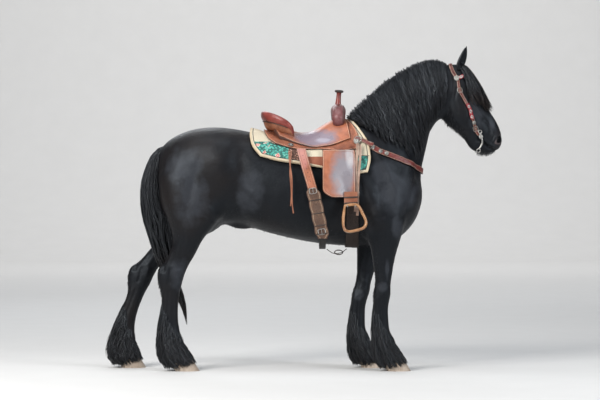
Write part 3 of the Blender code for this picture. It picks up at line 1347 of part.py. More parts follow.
def main():
    clear_scene()
    body = join_meshes("body", body_forms())
    stretch_skin(body, BODY_VOXEL, 4)
    smooth_trunk(body, 24)
    raise_relief(body, BODY_RELIEF)
    thin_out(body, BODY_TRIANGLES)
    body_tree = surface_of([body])
    trunk = Trunk(body_tree)
    parts = part_body(body)
    torso, neck = parts["torso"], parts["neck"]
    flesh = list(parts.values())
    head = build_head()
    head_tree = surface_of([head, neck])
    for side, sign in SIDES:
        add_ear(side, sign, head)
    hooves = {name: add_hoof(name) for name in LEGS}
    pad, skirt, seat = build_saddle(trunk, torso, neck)
    build_rigging(trunk, body_tree, pad, skirt, seat, flesh)
    collar = build_collar(flesh, pad, skirt)
    bridle = build_bridle(head_tree, head)

    tail = build_tail(torso)
    boolean(head, "UNION", forelock_locks(head_tree))
    clear_of(head, bridle[:2])
    boolean(neck, "UNION", mane_locks(body_tree))
    clear_of(neck, [torso, pad, collar, head, bridle[0]])
    for name in LEGS:
        leg = parts["leg_" + name]
        boolean(leg, "UNION", feather_locks(name))
        clear_of(leg, [hooves[name]])
    for obj in [head, tail, *flesh]:
        finish(obj, COAT)


main()
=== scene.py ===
# A life-size Friesian horse in western tack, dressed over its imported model.
# The nose points along +X, its left side is +Y, +Z is up, all in metres. The right side is the near side.
import json

import bmesh
import bpy
import numpy as np
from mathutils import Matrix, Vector
from mathutils.bvhtree import BVHTree

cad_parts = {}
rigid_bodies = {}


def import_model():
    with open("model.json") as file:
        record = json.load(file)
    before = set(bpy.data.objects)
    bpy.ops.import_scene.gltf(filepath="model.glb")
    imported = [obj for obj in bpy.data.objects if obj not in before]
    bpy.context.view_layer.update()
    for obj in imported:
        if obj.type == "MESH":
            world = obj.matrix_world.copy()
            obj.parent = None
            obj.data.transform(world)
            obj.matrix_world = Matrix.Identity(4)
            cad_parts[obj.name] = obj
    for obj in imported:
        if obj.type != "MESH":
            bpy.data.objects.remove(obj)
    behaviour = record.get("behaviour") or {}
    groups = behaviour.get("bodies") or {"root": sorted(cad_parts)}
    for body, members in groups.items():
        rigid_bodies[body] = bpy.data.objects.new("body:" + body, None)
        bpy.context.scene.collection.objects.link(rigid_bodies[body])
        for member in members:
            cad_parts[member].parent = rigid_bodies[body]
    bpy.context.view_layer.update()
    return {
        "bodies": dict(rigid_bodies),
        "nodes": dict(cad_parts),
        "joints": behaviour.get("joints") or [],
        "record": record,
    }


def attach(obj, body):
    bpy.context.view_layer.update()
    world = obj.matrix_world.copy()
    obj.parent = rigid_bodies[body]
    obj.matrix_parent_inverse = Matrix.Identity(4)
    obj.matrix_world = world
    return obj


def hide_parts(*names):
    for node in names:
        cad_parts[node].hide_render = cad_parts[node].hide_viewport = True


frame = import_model()
rootBody = "root"
sides = (("right", -1), ("left", 1))


# ---- shapes as arrays


def unit(vectors):  # each vector divided by its length
    return vectors / np.maximum(np.linalg.norm(vectors, axis=-1, keepdims=True), 1e-12)


def smoothRows(rows, steps):  # Catmull-Rom cubic between table rows, steps new rows for each old one
    table = np.array(rows, float)
    padded = np.vstack([2 * table[0] - table[1], table, 2 * table[-1] - table[-2]])
    t = (np.arange(steps) / steps)[None, :, None]
    before, start, end, after = (padded[k : k + len(table) - 1, None] for k in range(4))
    made = 2 * start + (end - before) * t + (2 * before - 5 * start + 4 * end - after) * t**2
    made = 0.5 * (made + (3 * start - before - 3 * end + after) * t**3)
    return np.vstack([made.reshape(-1, table.shape[1]), table[-1:]])


def spread(points, count):  # points at equal lengths along the smooth curve through the given ones
    fine = smoothRows(points, 12)
    lengths = np.concatenate([[0], np.cumsum(np.linalg.norm(np.diff(fine, axis=0), axis=1))])
    wanted = np.linspace(0, lengths[-1], count)
    return np.column_stack([np.interp(wanted, lengths, fine[:, k]) for k in range(fine.shape[1])])


def curveAt(points, shares):  # a smooth curve read at any array of shares of its length
    fine = spread(points, 400)
    at = np.linspace(0, 1, 400)
    return np.stack([np.interp(shares, at, fine[:, k]) for k in range(fine.shape[1])], axis=-1)


def superRings(stations, steps=6, around=40):  # rings of |cos|^(2/p), |sin|^(2/p) between two side-view points
    rows = smoothRows(stations, steps)[:, None, :]
    xA, zA, xB, zB, halfWidth, yCentre, widest, power = np.moveaxis(rows, 2, 0)
    angle = np.arange(around)[None, :] * 2 * np.pi / around
    across = np.sign(np.cos(angle)) * np.abs(np.cos(angle)) ** (2 / power)
    along = np.sign(np.sin(angle)) * np.abs(np.sin(angle)) ** (2 / power)
    midX, midZ = xB + (xA - xB) * widest, zB + (zA - zB) * widest
    x = midX + np.where(along > 0, xA - midX, midX - xB) * along
    z = midZ + np.where(along > 0, zA - midZ, midZ - zB) * along
    return np.stack([x, yCentre + halfWidth * across, z], axis=-1)


def grid(points, closeRows=False, closeColumns=False):  # quads between neighbours of a grid of points
    rows, columns = points.shape[:2]
    index = np.arange(rows * columns).reshape(rows, columns)
    down, right = np.roll(index, -1, axis=0), np.roll(index, -1, axis=1)
    both = np.roll(down, -1, axis=1)
    quads = np.stack([index, right, both, down], axis=-1)
    quads = quads if closeRows else quads[:-1]
    quads = quads if closeColumns else quads[:, :-1]
    return points.reshape(-1, 3), [quads.reshape(-1, 4)]


def tube(rings, closed=False):  # rings joined by quads, with a fan over each open end
    points, faces = grid(rings, closeRows=closed, closeColumns=True)
    if closed:
        return outwards(points, faces)
    rows, around = rings.shape[:2]
    spot = np.arange(around)
    after = (spot + 1) % around
    low = np.column_stack([after, spot, np.full(around, rows * around)])
    high = np.column_stack([spot, after, np.full(around, rows * around + 1)])
    high[:, :2] += (rows - 1) * around
    points = np.vstack([points, rings[0].mean(axis=0), rings[-1].mean(axis=0)])
    return outwards(points, faces + [low, high])


def slab(inner, outer):  # two grids of points joined round their rim
    rows, columns = inner.shape[:2]
    index = np.arange(rows * columns).reshape(rows, columns)
    rim = np.concatenate([index[0], index[1:, -1], index[-1, -2::-1], index[-2:0:-1, 0]])
    after = np.roll(rim, -1)
    size = rows * columns
    low = np.stack([index[:-1, :-1], index[1:, :-1], index[1:, 1:], index[:-1, 1:]], axis=-1).reshape(-1, 4)
    wall = np.column_stack([rim, after, after + size, rim + size])
    points = np.vstack([inner.reshape(-1, 3), outer.reshape(-1, 3)])
    return outwards(points, [low, low[:, ::-1] + size, wall])


def volumeOf(points, faces):  # sum of the tetrahedra from the origin to each triangle
    total = 0.0
    for group in faces:
        for k in range(1, group.shape[1] - 1):
            a, b, c = (points[group[:, i]] for i in (0, k, k + 1))
            total += np.einsum("ij,ij->i", a, np.cross(b, c)).sum()
    return total


def outwards(points, faces):  # turns every face round if the closed shape has a negative volume
    if volumeOf(points - points.mean(axis=0), faces) < 0:
        faces = [group[:, ::-1] for group in faces]
    return points, faces


def joined(shapes):  # one pair of arrays from many
    points, faces, start = [], [], 0
    for some, groups in shapes:
        points.append(some)
        faces += [group + start for group in groups]
        start += len(some)
    return np.vstack(points), faces


def sweep(path, first, second, halves, around=12, closed=False):  # an oval ring at each point of a path
    angles = np.arange(around) * 2 * np.pi / around
    halves = np.broadcast_to(np.asarray(halves, float), (len(path), 2))
    flat = halves[:, :1] * np.cos(angles)
    tall = halves[:, 1:] * np.sin(angles)
    rings = path[:, None] + flat[..., None] * first[:, None] + tall[..., None] * second[:, None]
    return tube(rings, closed)


def cordOn(path, radius, around=8, closed=False):  # a round bar along any path
    path = np.asarray(path, float)
    if closed:
        forward = unit(np.roll(path, -1, axis=0) - np.roll(path, 1, axis=0))
    else:
        forward = unit(np.gradient(path, axis=0))
    first = unit(np.cross(forward, np.array([0.31, 0.22, 0.93])))
    return sweep(path, first, np.cross(forward, first), (radius, radius), around, closed)


def turned(base, axis, profile, around=24):  # radius and height pairs turned about an axis
    base, axis = np.array(base, float), unit(np.array(axis, float))
    first = unit(np.cross(axis, (0.3, 0.9, 0.2)))
    second = np.cross(axis, first)
    angles = np.arange(around)[None, :, None] * 2 * np.pi / around
    profile = np.array(profile, float)
    radius, height = profile[:, :1, None], profile[:, 1:, None]
    return tube(base + axis * height + radius * (np.cos(angles) * first + np.sin(angles) * second))


def ball(centre, radius, rows=14, around=24):  # half circles turned about the y axis
    turn = np.linspace(0.02, np.pi - 0.02, rows)
    return turned(centre, (0, 1, 0), np.column_stack([radius * np.sin(turn), -radius * np.cos(turn)]), around)


def makeMesh(name, points, faces):
    mesh = bpy.data.meshes.new(name)
    corners = np.concatenate([group.ravel() for group in faces]).astype(np.int32)
    sizes = np.concatenate([np.full(len(group), group.shape[1]) for group in faces])
    mesh.vertices.add(len(points))
    mesh.vertices.foreach_set("co", np.ascontiguousarray(points, np.float32).ravel())
    mesh.loops.add(len(corners))
    mesh.loops.foreach_set("vertex_index", corners)
    mesh.polygons.add(len(sizes))
    mesh.polygons.foreach_set("loop_start", np.concatenate([[0], np.cumsum(sizes)[:-1]]).astype(np.int32))
    mesh.update(calc_edges=True)
    mesh.validate()
    return mesh


def addPiece(name, shape, material, replaced=(), smooth=True, sharp=None):
    piece = bpy.data.objects.new(name, makeMesh(name, *shape))
    bpy.context.scene.collection.objects.link(piece)
    return finishPiece(piece, material, replaced, smooth, sharp)


def finishPiece(piece, material, replaced=(), smooth=True, sharp=None):
    piece.data.materials.clear()
    piece.data.materials.append(material)
    if smooth:
        piece.data.shade_smooth()
    if sharp:
        piece.data.set_sharp_from_angle(angle=np.radians(sharp))
    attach(piece, rootBody)
    if replaced:
        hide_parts(*replaced)
    return piece


def scratch(name, shape):  # a helper object that is joined or removed later
    piece = bpy.data.objects.new(name, makeMesh(name, *shape))
    bpy.context.scene.collection.objects.link(piece)
    return piece


def applyModifiers(piece):
    graph = bpy.context.evaluated_depsgraph_get()
    mesh = bpy.data.meshes.new_from_object(piece.evaluated_get(graph))
    piece.modifiers.clear()
    piece.data = mesh


def pointsOf(piece):
    values = np.empty(len(piece.data.vertices) * 3, np.float32)
    piece.data.vertices.foreach_get("co", values)
    return values.reshape(-1, 3).astype(float)


def normalsOf(piece):
    values = np.empty(len(piece.data.vertices) * 3, np.float32)
    piece.data.vertex_normals.foreach_get("vector", values)
    return values.reshape(-1, 3).astype(float)


def setPoints(piece, points):
    piece.data.vertices.foreach_set("co", points.astype(np.float32).ravel())
    piece.data.update()


def joinScratch(name, pieces):  # one scratch object from the meshes of many, which are removed
    builder = bmesh.new()
    for piece in pieces:
        builder.from_mesh(piece.data)
        bpy.data.objects.remove(piece)
    mesh = bpy.data.meshes.new(name)
    builder.to_mesh(mesh)
    builder.free()
    made = bpy.data.objects.new(name, mesh)
    bpy.context.scene.collection.objects.link(made)
    return made


def treeOf(pieces):
    builder = bmesh.new()
    for piece in pieces:
        builder.from_mesh(piece.data)
    tree = BVHTree.FromBMesh(builder)
    builder.free()
    return tree


# ---- shader sums


class Wire:  # a socket that takes part in sums: each operator adds one Math node
    def __init__(self, tree, socket):
        self.tree = tree
        self.socket = socket

    def maths(self, operation, *values):
        made = self.tree.nodes.new("ShaderNodeMath")
        made.operation = operation
        for slot, value in zip(made.inputs, values):
            if isinstance(value, Wire):
                self.tree.links.new(value.socket, slot)
            else:
                slot.default_value = value
        return Wire(self.tree, made.outputs[0])

    def __add__(self, other):
        return self.maths("ADD", self, other)

    def __radd__(self, other):
        return self.maths("ADD", other, self)

    def __sub__(self, other):
        return self.maths("SUBTRACT", self, other)

    def __rsub__(self, other):
        return self.maths("SUBTRACT", other, self)

    def __mul__(self, other):
        return self.maths("MULTIPLY", self, other)

    def __rmul__(self, other):
        return self.maths("MULTIPLY", other, self)

    def __truediv__(self, other):
        return self.maths("DIVIDE", self, other)

    def __rtruediv__(self, other):
        return self.maths("DIVIDE", other, self)

    def __pow__(self, other):
        return self.maths("POWER", self, other)

    def __abs__(self):
        return self.maths("ABSOLUTE", self)

    def __gt__(self, other):
        return self.maths("GREATER_THAN", self, other)

    def __lt__(self, other):
        return self.maths("LESS_THAN", self, other)

    def clamped(self):
        return self.maths("MINIMUM", self.maths("MAXIMUM", self, 0.0), 1.0)

    def ramped(self, low, high):  # 0 below low, 1 above high, straight between
        return ((self - low) * (1.0 / (high - low))).clamped()

    def sine(self):
        return self.maths("SINE", self)

    def cycle(self):  # what is left over above the whole number
        return self.maths("FRACT", self)


class Finish:  # one material, with what is the same all over set on the shader's own sockets
    def __init__(self, name, color, roughness, **fixed):
        self.material = bpy.data.materials.new(name)
        self.material.use_nodes = True
        self.tree = self.material.node_tree
        self.shader = self.tree.nodes["Principled BSDF"]
        self.shader.inputs["Base Color"].default_value = (*color, 1)
        self.shader.inputs["Roughness"].default_value = roughness
        for key, value in fixed.items():
            self.shader.inputs[key.replace("_", " ")].default_value = value

    def put(self, socket, value):
        if isinstance(value, Wire):
            self.tree.links.new(value.socket, socket)
        elif hasattr(value, "__len__") and len(value) == 3 and socket.type == "RGBA":
            socket.default_value = (*value, 1)
        else:
            socket.default_value = value

    def node(self, kind, settings=None, values=None, output=0):  # settings first, then values or links
        made = self.tree.nodes.new("ShaderNode" + kind)
        for key, value in (settings or {}).items():
            if key == "stops":
                ramp = made.color_ramp
                while len(ramp.elements) < len(value):
                    ramp.elements.new(0.5)
                for element, (place, color) in zip(ramp.elements, value):
                    element.position = place
                    element.color = (*color, 1)
            else:
                setattr(made, key, value)
        for key, value in (values or {}).items():
            self.put(made.inputs[key], value)
        return Wire(self.tree, made.outputs[output])

    def place(self, scale=(1, 1, 1), turn=(0, 0, 0), kind="Object"):
        coords = self.node("TexCoord", output=("Generated", "Normal", "UV", "Object").index(kind))
        return self.node("Mapping", None, {"Vector": coords, "Scale": scale, "Rotation": turn})

    def strand(self, name):  # the two numbers of a UV map
        found = self.node("UVMap", {"uv_map": name})
        parts = self.tree.nodes.new("ShaderNodeSeparateXYZ")
        self.tree.links.new(found.socket, parts.inputs[0])
        return Wire(self.tree, parts.outputs[0]), Wire(self.tree, parts.outputs[1])

    def axes(self):  # the object's own coordinates, one number each
        coords = self.node("TexCoord", output=3)
        parts = self.tree.nodes.new("ShaderNodeSeparateXYZ")
        self.tree.links.new(coords.socket, parts.inputs[0])
        return [Wire(self.tree, output) for output in parts.outputs]

    def vector(self, x, y, z=0.0):
        return self.node("CombineXYZ", None, {"X": x, "Y": y, "Z": z})

    def noise(self, where, scale, detail=4.0, rough=0.55):
        return self.node("TexNoise", None, {"Vector": where, "Scale": scale, "Detail": detail, "Roughness": rough})

    def cells(self, where, scale, feature="F1", chance=1.0):
        values = {"Vector": where, "Scale": scale, "Randomness": chance}
        return self.node("TexVoronoi", {"feature": feature}, values)

    def mix(self, share, first, second):
        made = self.tree.nodes.new("ShaderNodeMix")
        made.data_type = "RGBA"
        self.put(made.inputs[0], share)
        self.put(made.inputs[6], first)
        self.put(made.inputs[7], second)
        return Wire(self.tree, made.outputs[2])

    def color(self, value):
        self.put(self.shader.inputs["Base Color"], value)
        return self

    def rough(self, value):
        self.put(self.shader.inputs["Roughness"], value)
        return self

    def bumped(self, height, distance, strength=1.0):
        bump = self.node("Bump", None, {"Height": height, "Distance": distance, "Strength": strength})
        self.put(self.shader.inputs["Normal"], bump)
        return self


# ---- finishes


nostril = {"centre": (1.2600, 1.4690), "up": (0.30, 0.954), "halfUp": 0.0225, "halfAcross": 0.0125, "depth": 0.017}


paintedCoatGlare = [  # side-view places and half sizes where a grey-blue painted highlight is mixed into the coat's colour
    ((-0.735, 1.290), (0.120, 0.130)),
    ((-0.700, 1.080), (0.110, 0.170)),
    ((-0.330, 1.130), (0.085, 0.150)),
    ((0.600, 1.120), (0.165, 0.130)),
    ((0.510, 1.270), (0.090, 0.080)),
    ((0.600, 0.900), (0.040, 0.080)),
    ((0.538, 0.650), (0.014, 0.080)),
    ((0.505, 0.536), (0.036, 0.034)),
    ((0.368, 0.471), (0.036, 0.040)),
    ((-0.780, 0.620), (0.060, 0.110)),
    ((1.110, 1.640), (0.060, 0.110)),
    ((1.215, 1.600), (0.022, 0.070)),
]


def nostrilShares(x, z):  # how far up and across the nostril's comma a side-view place lies, in its half sizes
    (x0, z0), (upX, upZ) = nostril["centre"], nostril["up"]
    up = ((x - x0) * upX + (z - z0) * upZ) / nostril["halfUp"]
    across = (x - x0) * upZ - (z - z0) * upX + up * up * 0.006 - 0.002
    return up, across / (nostril["halfAcross"] * (1.0 - 0.30 * up))


def coatFinish():  # short black hair: fine strokes along the lie, slow changes of sheen and warmth, painted grey-blue highlight patches, and at the nostril a pale rim, partly skin and partly painted highlight, round a painted shade
    coat = Finish("blackCoat", (0.004, 0.004, 0.005), 0.40, Specular_IOR_Level=0.24, Specular_Tint=(0.80, 0.90, 1, 1))
    x, y, z = coat.axes()
    low = 1.0 - z.ramped(0.75, 1.05)
    trunkHair = coat.noise(coat.place((70, 420, 420), (0, 0.35, 0)), 1.0, 3.0)
    legHair = coat.noise(coat.place((420, 420, 70)), 1.0, 3.0)
    hair = trunkHair * (1.0 - low) + legHair * low
    patches = coat.noise(coat.place((1, 1, 1)), 5.0, 3.0)
    streaks = coat.noise(coat.place((5, 16, 16), (0, 0.45, 0)), 1.0, 3.0)
    warm = coat.noise(coat.place((1, 1, 1)), 2.3, 2.0)
    tint = coat.mix(warm.ramped(0.50, 0.72), (0.0026, 0.0026, 0.0036), (0.0085, 0.0052, 0.0040))
    mottle = coat.noise(coat.place((1, 1, 1)), 11.0, 4.0)
    # painted highlight: a grey-blue colour mixed into the coat within the listed ovals, standing in for the lights'
    # sheen
    glare = 0.0
    for middle, halves in paintedCoatGlare:
        far = ((x - middle[0]) / halves[0]) ** 2.0 + ((z - middle[1]) / halves[1]) ** 2.0
        glare = (1.0 - (far + (mottle - 0.5) * 2.6).ramped(0.2, 1.2)).clamped() + glare
    tint = coat.mix(glare.clamped() * 0.8, tint, (0.028, 0.030, 0.036))
    muzzle = x.ramped(1.215, 1.270) * (1.0 - z.ramped(1.50, 1.56))
    bare = coat.mix(patches.ramped(0.35, 0.65), (0.012, 0.010, 0.011), (0.030, 0.023, 0.023))
    tint = coat.mix(muzzle * 0.85, tint, bare)
    # the nostril: a pale rim on its lower side, partly the muzzle's paler skin and partly a painted highlight, and a
    # near-black painted shade inside the pressed-in comma
    up, across = nostrilShares(x, z)
    ratio = (up * up + across * across) ** 0.5
    rim = (1.0 - abs(ratio - 1.35) / 0.35).clamped() * (1.0 - up.ramped(-0.6, 0.2)) * x.ramped(1.20, 1.22)
    tint = coat.mix(rim * 0.7, tint, (0.12, 0.09, 0.09))
    shadedNostril = (1.0 - ratio.ramped(0.75, 1.0)) * x.ramped(1.20, 1.22)
    coat.color(coat.mix(shadedNostril, coat.mix(hair.ramped(0.45, 0.75) * 0.4, tint, (0.010, 0.010, 0.012)), (0.001, 0.001, 0.001)))
    coat.rough(0.33 + patches * 0.10 + streaks * 0.12 + hair * 0.05 + shadedNostril * 0.3)
    coat.bumped(hair + patches * 0.5 + mottle * 4.0, 0.0016, 0.7)
    return coat.material


def hairFinish(name, root, tip, roughness=0.34, heights=None):
    # long strands: ridges along each lock painted with a pale blue-grey highlight, each lock its own tone, and paler
    # towards the tip or below a height
    hair = Finish(name, root, roughness, Specular_IOR_Level=0.5, Specular_Tint=(0.84, 0.92, 1, 1))
    across, along = hair.strand("strand")
    ridges = hair.noise(hair.vector(across * 14.0, along * 1.5), 1.0, 2.0, 0.6)
    own = hair.noise(hair.vector(across.maths("FLOOR", across) * 7.31, 0.5), 1.0, 0.0)
    paler = along.ramped(0.35, 1.0)
    if heights:
        x, y, z = hair.axes()
        paler = 1.0 - z.ramped(*heights)
    shade = hair.mix(paler * own.ramped(0.30, 0.70), root, tip)
    # painted highlight: the ridges, and some locks chosen at random, mixed towards a pale blue-grey
    hair.color(hair.mix(ridges.ramped(0.5, 0.8) * 0.5 + own.ramped(0.55, 0.8) * 0.35, shade, (0.026, 0.027, 0.032)))
    hair.rough(roughness - 0.10 + ridges * 0.2)
    hair.bumped(ridges, 0.0018, 0.9)
    return hair.material


def hornFinish():  # pale dusty horn: growth rings round the wall and fine lines down it
    horn = Finish("hoofHorn", (0.46, 0.36, 0.28), 0.6)
    x, y, z = horn.axes()
    rings = horn.noise(horn.vector(x * 3.0, y * 3.0, z * 140.0), 1.0, 2.0)
    lines = horn.noise(horn.place((260, 260, 18)), 1.0, 3.0)
    dust = horn.noise(horn.place((1, 1, 1)), 22.0, 5.0)
    pale = horn.mix(lines.ramped(0.35, 0.7), (0.26, 0.195, 0.150), (0.50, 0.41, 0.33))
    dark = horn.mix(z.ramped(0.035, 0.09), pale, (0.085, 0.066, 0.055))
    horn.color(horn.mix(dust.ramped(0.45, 0.7) * 0.5, dark, (0.55, 0.48, 0.40)))
    horn.rough(0.5 + dust * 0.25)
    horn.bumped(rings * 0.6 + lines * 0.4, 0.002, 0.6)
    return horn.material


def leatherFinish(name, light, dark, roughness=0.42, wear=(0.62, 0.40, 0.27), grain=900.0, tooled=0.0):
    # oiled leather: mottled colour, fine pebbled grain, and stamped flowers where tooled is above zero
    leather = Finish(name, light, roughness, Specular_IOR_Level=0.5)
    where = leather.place((1, 1, 1))
    mottle = leather.noise(where, 14.0, 5.0)
    grainCells = leather.cells(where, grain)
    stains = leather.noise(where, 3.5, 3.0)
    base = leather.mix(mottle.ramped(0.3, 0.72), dark, light)
    worn = leather.mix(stains.ramped(0.52, 0.75) * 0.55, base, wear)
    height = grainCells * 0.25
    if tooled:
        petals = leather.cells(where, 62.0)
        rings = (petals * 26.0).sine()
        veins = leather.noise(where, 190.0, 3.0)
        cut = rings.ramped(-0.2, 0.5)
        worn = leather.mix((1.0 - cut) * 0.55, worn, dark)
        height = height + cut * tooled + veins * 0.2
    leather.color(worn)
    leather.rough(roughness - 0.10 + mottle * 0.22)
    leather.bumped(height, 0.0012, 0.8)
    return leather.material


def silverFinish():  # plated metal with a fine engraved scroll and darker lows
    silver = Finish("engravedSilver", (0.42, 0.41, 0.38), 0.34, Metallic=1.0)
    where = silver.place((1, 1, 1))
    scroll = (silver.cells(where, 210.0) * 18.0).sine()
    tarnish = silver.noise(where, 60.0, 4.0)
    cuts = silver.mix(scroll.ramped(-0.9, 0.2), (0.07, 0.065, 0.058), (0.44, 0.43, 0.40))
    silver.color(silver.mix(tarnish.ramped(0.5, 0.8) * 0.5, cuts, (0.18, 0.165, 0.145)))
    silver.rough(0.24 + tarnish * 0.22)
    silver.bumped(scroll, 0.0006, 0.5)
    return silver.material


def woodFinish():  # varnished golden wood with long grain
    wood = Finish("stirrupWood", (0.60, 0.34, 0.15), 0.36, Coat_Roughness=0.15)
    wood.shader.inputs["Coat Weight"].default_value = 0.4
    grain = wood.noise(wood.place((40, 180, 40), (0, 0.4, 0)), 1.0, 6.0)
    bands = wood.noise(wood.place((10, 60, 10)), 1.0, 3.0)
    wood.color(wood.mix(grain.ramped(0.3, 0.7), wood.mix(bands, (0.16, 0.065, 0.024), (0.30, 0.135, 0.055)), (0.46, 0.24, 0.11)))
    wood.rough(0.30 + grain * 0.15)
    wood.bumped(grain, 0.0006, 0.4)
    return wood.material


def eyeFinish():  # wet brown eye, the pupil a level oval in the middle of the iris
    eye = Finish("horseEye", (0.030, 0.016, 0.010), 0.04, Specular_IOR_Level=0.6, Coat_Roughness=0.02)
    eye.shader.inputs["Coat Weight"].default_value = 1.0
    across, along = eye.strand("iris")
    out = (across * across + along * along).maths("SQRT", across * across + along * along)
    fibres = eye.noise(eye.vector(across * 90.0, along * 90.0), 1.0, 3.0)
    iris = eye.mix(fibres.ramped(0.3, 0.7), (0.020, 0.009, 0.004), (0.075, 0.036, 0.014))
    pupil = (across * across * 5.2 + along * along * 16.0).ramped(0.75, 1.05)
    ring = eye.mix(out.ramped(0.66, 0.74), iris, (0.010, 0.008, 0.008))
    eye.color(eye.mix(pupil, (0.002, 0.002, 0.003), eye.mix(out.ramped(0.86, 0.95), ring, (0.16, 0.12, 0.11))))
    return eye.material


def floorFinish():  # pale studio floor
    floor = Finish("studioFloor", (0.66, 0.655, 0.645), 0.85)
    speck = floor.noise(floor.place((1, 1, 1)), 3.0, 3.0)
    floor.color(floor.mix(speck, (0.64, 0.635, 0.625), (0.68, 0.675, 0.665)))
    return floor.material


print("building the finishes")
blackCoat = coatFinish()
maneHair = hairFinish("maneHair", (0.0045, 0.0045, 0.0060), (0.012, 0.010, 0.010))
tailHair = hairFinish("tailHair", (0.0045, 0.0045, 0.0056), (0.050, 0.030, 0.020), heights=(0.35, 0.80))
forelockHair = hairFinish("forelockHair", (0.0065, 0.0055, 0.0060), (0.085, 0.042, 0.024), heights=(1.60, 1.80))
featherHair = hairFinish("featherHair", (0.0050, 0.0050, 0.0062), (0.022, 0.018, 0.017), 0.40)
hoofHorn = hornFinish()
tanLeather = leatherFinish("tanLeather", (0.34, 0.125, 0.060), (0.17, 0.056, 0.028), 0.44, (0.42, 0.22, 0.16))
tooledLeather = leatherFinish("tooledLeather", (0.36, 0.120, 0.052), (0.13, 0.040, 0.019), 0.42, (0.42, 0.20, 0.13), tooled=0.7)
redLeather = leatherFinish("redLeather", (0.24, 0.040, 0.026), (0.085, 0.014, 0.010), 0.30, (0.42, 0.16, 0.13))
darkLeather = leatherFinish("darkLeather", (0.040, 0.026, 0.021), (0.014, 0.010, 0.009), 0.5, (0.10, 0.07, 0.055))
engravedSilver = silverFinish()
stirrupWood = woodFinish()
horseEye = eyeFinish()


# ---- the skin: one surface over the horse's masses, evened out and then given its finer relief

torsoStations = [
    (-0.924, 1.335, -0.916, 1.105, 0.050, 0, 0.55, 2.0),
    (-0.904, 1.415, -0.898, 1.000, 0.130, 0, 0.58, 2.0),
    (-0.830, 1.483, -0.828, 0.930, 0.205, 0, 0.62, 2.1),
    (-0.718, 1.532, -0.718, 0.905, 0.255, 0, 0.62, 2.1),
    (-0.622, 1.548, -0.622, 0.905, 0.283, 0, 0.62, 2.1),
    (-0.526, 1.550, -0.526, 0.925, 0.292, 0, 0.62, 2.1),
    (-0.397, 1.534, -0.397, 0.930, 0.285, 0, 0.55, 2.15),
    (-0.269, 1.505, -0.269, 0.888, 0.298, 0, 0.50, 2.15),
    (-0.141, 1.468, -0.141, 0.853, 0.314, 0, 0.48, 2.15),
    (-0.013, 1.447, -0.013, 0.824, 0.320, 0, 0.48, 2.15),
    (0.115, 1.468, 0.115, 0.803, 0.310, 0, 0.46, 2.1),
    (0.212, 1.520, 0.212, 0.793, 0.288, 0, 0.44, 2.0),
    (0.308, 1.564, 0.308, 0.788, 0.262, 0, 0.42, 1.9),
    (0.404, 1.545, 0.404, 0.788, 0.245, 0, 0.42, 1.9),
    (0.500, 1.470, 0.500, 0.795, 0.236, 0, 0.42, 2.0),
    (0.596, 1.400, 0.596, 0.825, 0.220, 0, 0.45, 2.1),
    (0.680, 1.310, 0.670, 0.880, 0.190, 0, 0.5, 2.2),
    (0.740, 1.235, 0.730, 0.960, 0.140, 0, 0.5, 2.2),
    (0.772, 1.160, 0.768, 1.060, 0.060, 0, 0.5, 2.0),
]
neckStations = [
    (0.210, 1.520, 0.600, 0.930, 0.200, 0, 0.42, 1.9),
    (0.310, 1.585, 0.752, 1.130, 0.176, 0, 0.42, 1.9),
    (0.390, 1.675, 0.765, 1.260, 0.146, 0, 0.42, 1.9),
    (0.495, 1.782, 0.790, 1.375, 0.128, 0, 0.42, 1.9),
    (0.600, 1.868, 0.810, 1.462, 0.116, 0, 0.43, 1.95),
    (0.705, 1.922, 0.824, 1.523, 0.107, 0, 0.44, 2.0),
    (0.806, 1.957, 0.856, 1.575, 0.100, 0, 0.46, 2.05),
    (0.888, 1.960, 0.890, 1.600, 0.094, 0, 0.5, 2.1),
    (0.955, 1.945, 0.940, 1.605, 0.088, 0, 0.55, 2.1),
]
headStations = [
    (0.915, 1.925, 0.898, 1.635, 0.060, 0, 0.60, 2.1),
    (0.945, 1.950, 0.900, 1.602, 0.074, 0, 0.60, 2.2),
    (1.000, 1.950, 0.914, 1.580, 0.084, 0, 0.62, 2.3),
    (1.046, 1.912, 0.936, 1.558, 0.096, 0, 0.66, 2.4),
    (1.086, 1.856, 0.960, 1.540, 0.101, 0, 0.68, 2.4),
    (1.119, 1.799, 0.984, 1.522, 0.098, 0, 0.68, 2.3),
    (1.150, 1.741, 1.008, 1.502, 0.084, 0, 0.64, 2.2),
    (1.182, 1.684, 1.030, 1.480, 0.070, 0, 0.60, 2.15),
    (1.216, 1.634, 1.050, 1.452, 0.060, 0, 0.58, 2.15),
    (1.246, 1.585, 1.068, 1.424, 0.056, 0, 0.60, 2.2),
    (1.268, 1.535, 1.092, 1.402, 0.059, 0, 0.62, 2.3),
    (1.279, 1.486, 1.124, 1.389, 0.061, 0, 0.62, 2.3),
    (1.278, 1.440, 1.168, 1.380, 0.054, 0, 0.58, 2.2),
    (1.260, 1.408, 1.206, 1.384, 0.034, 0, 0.55, 2.1),
]
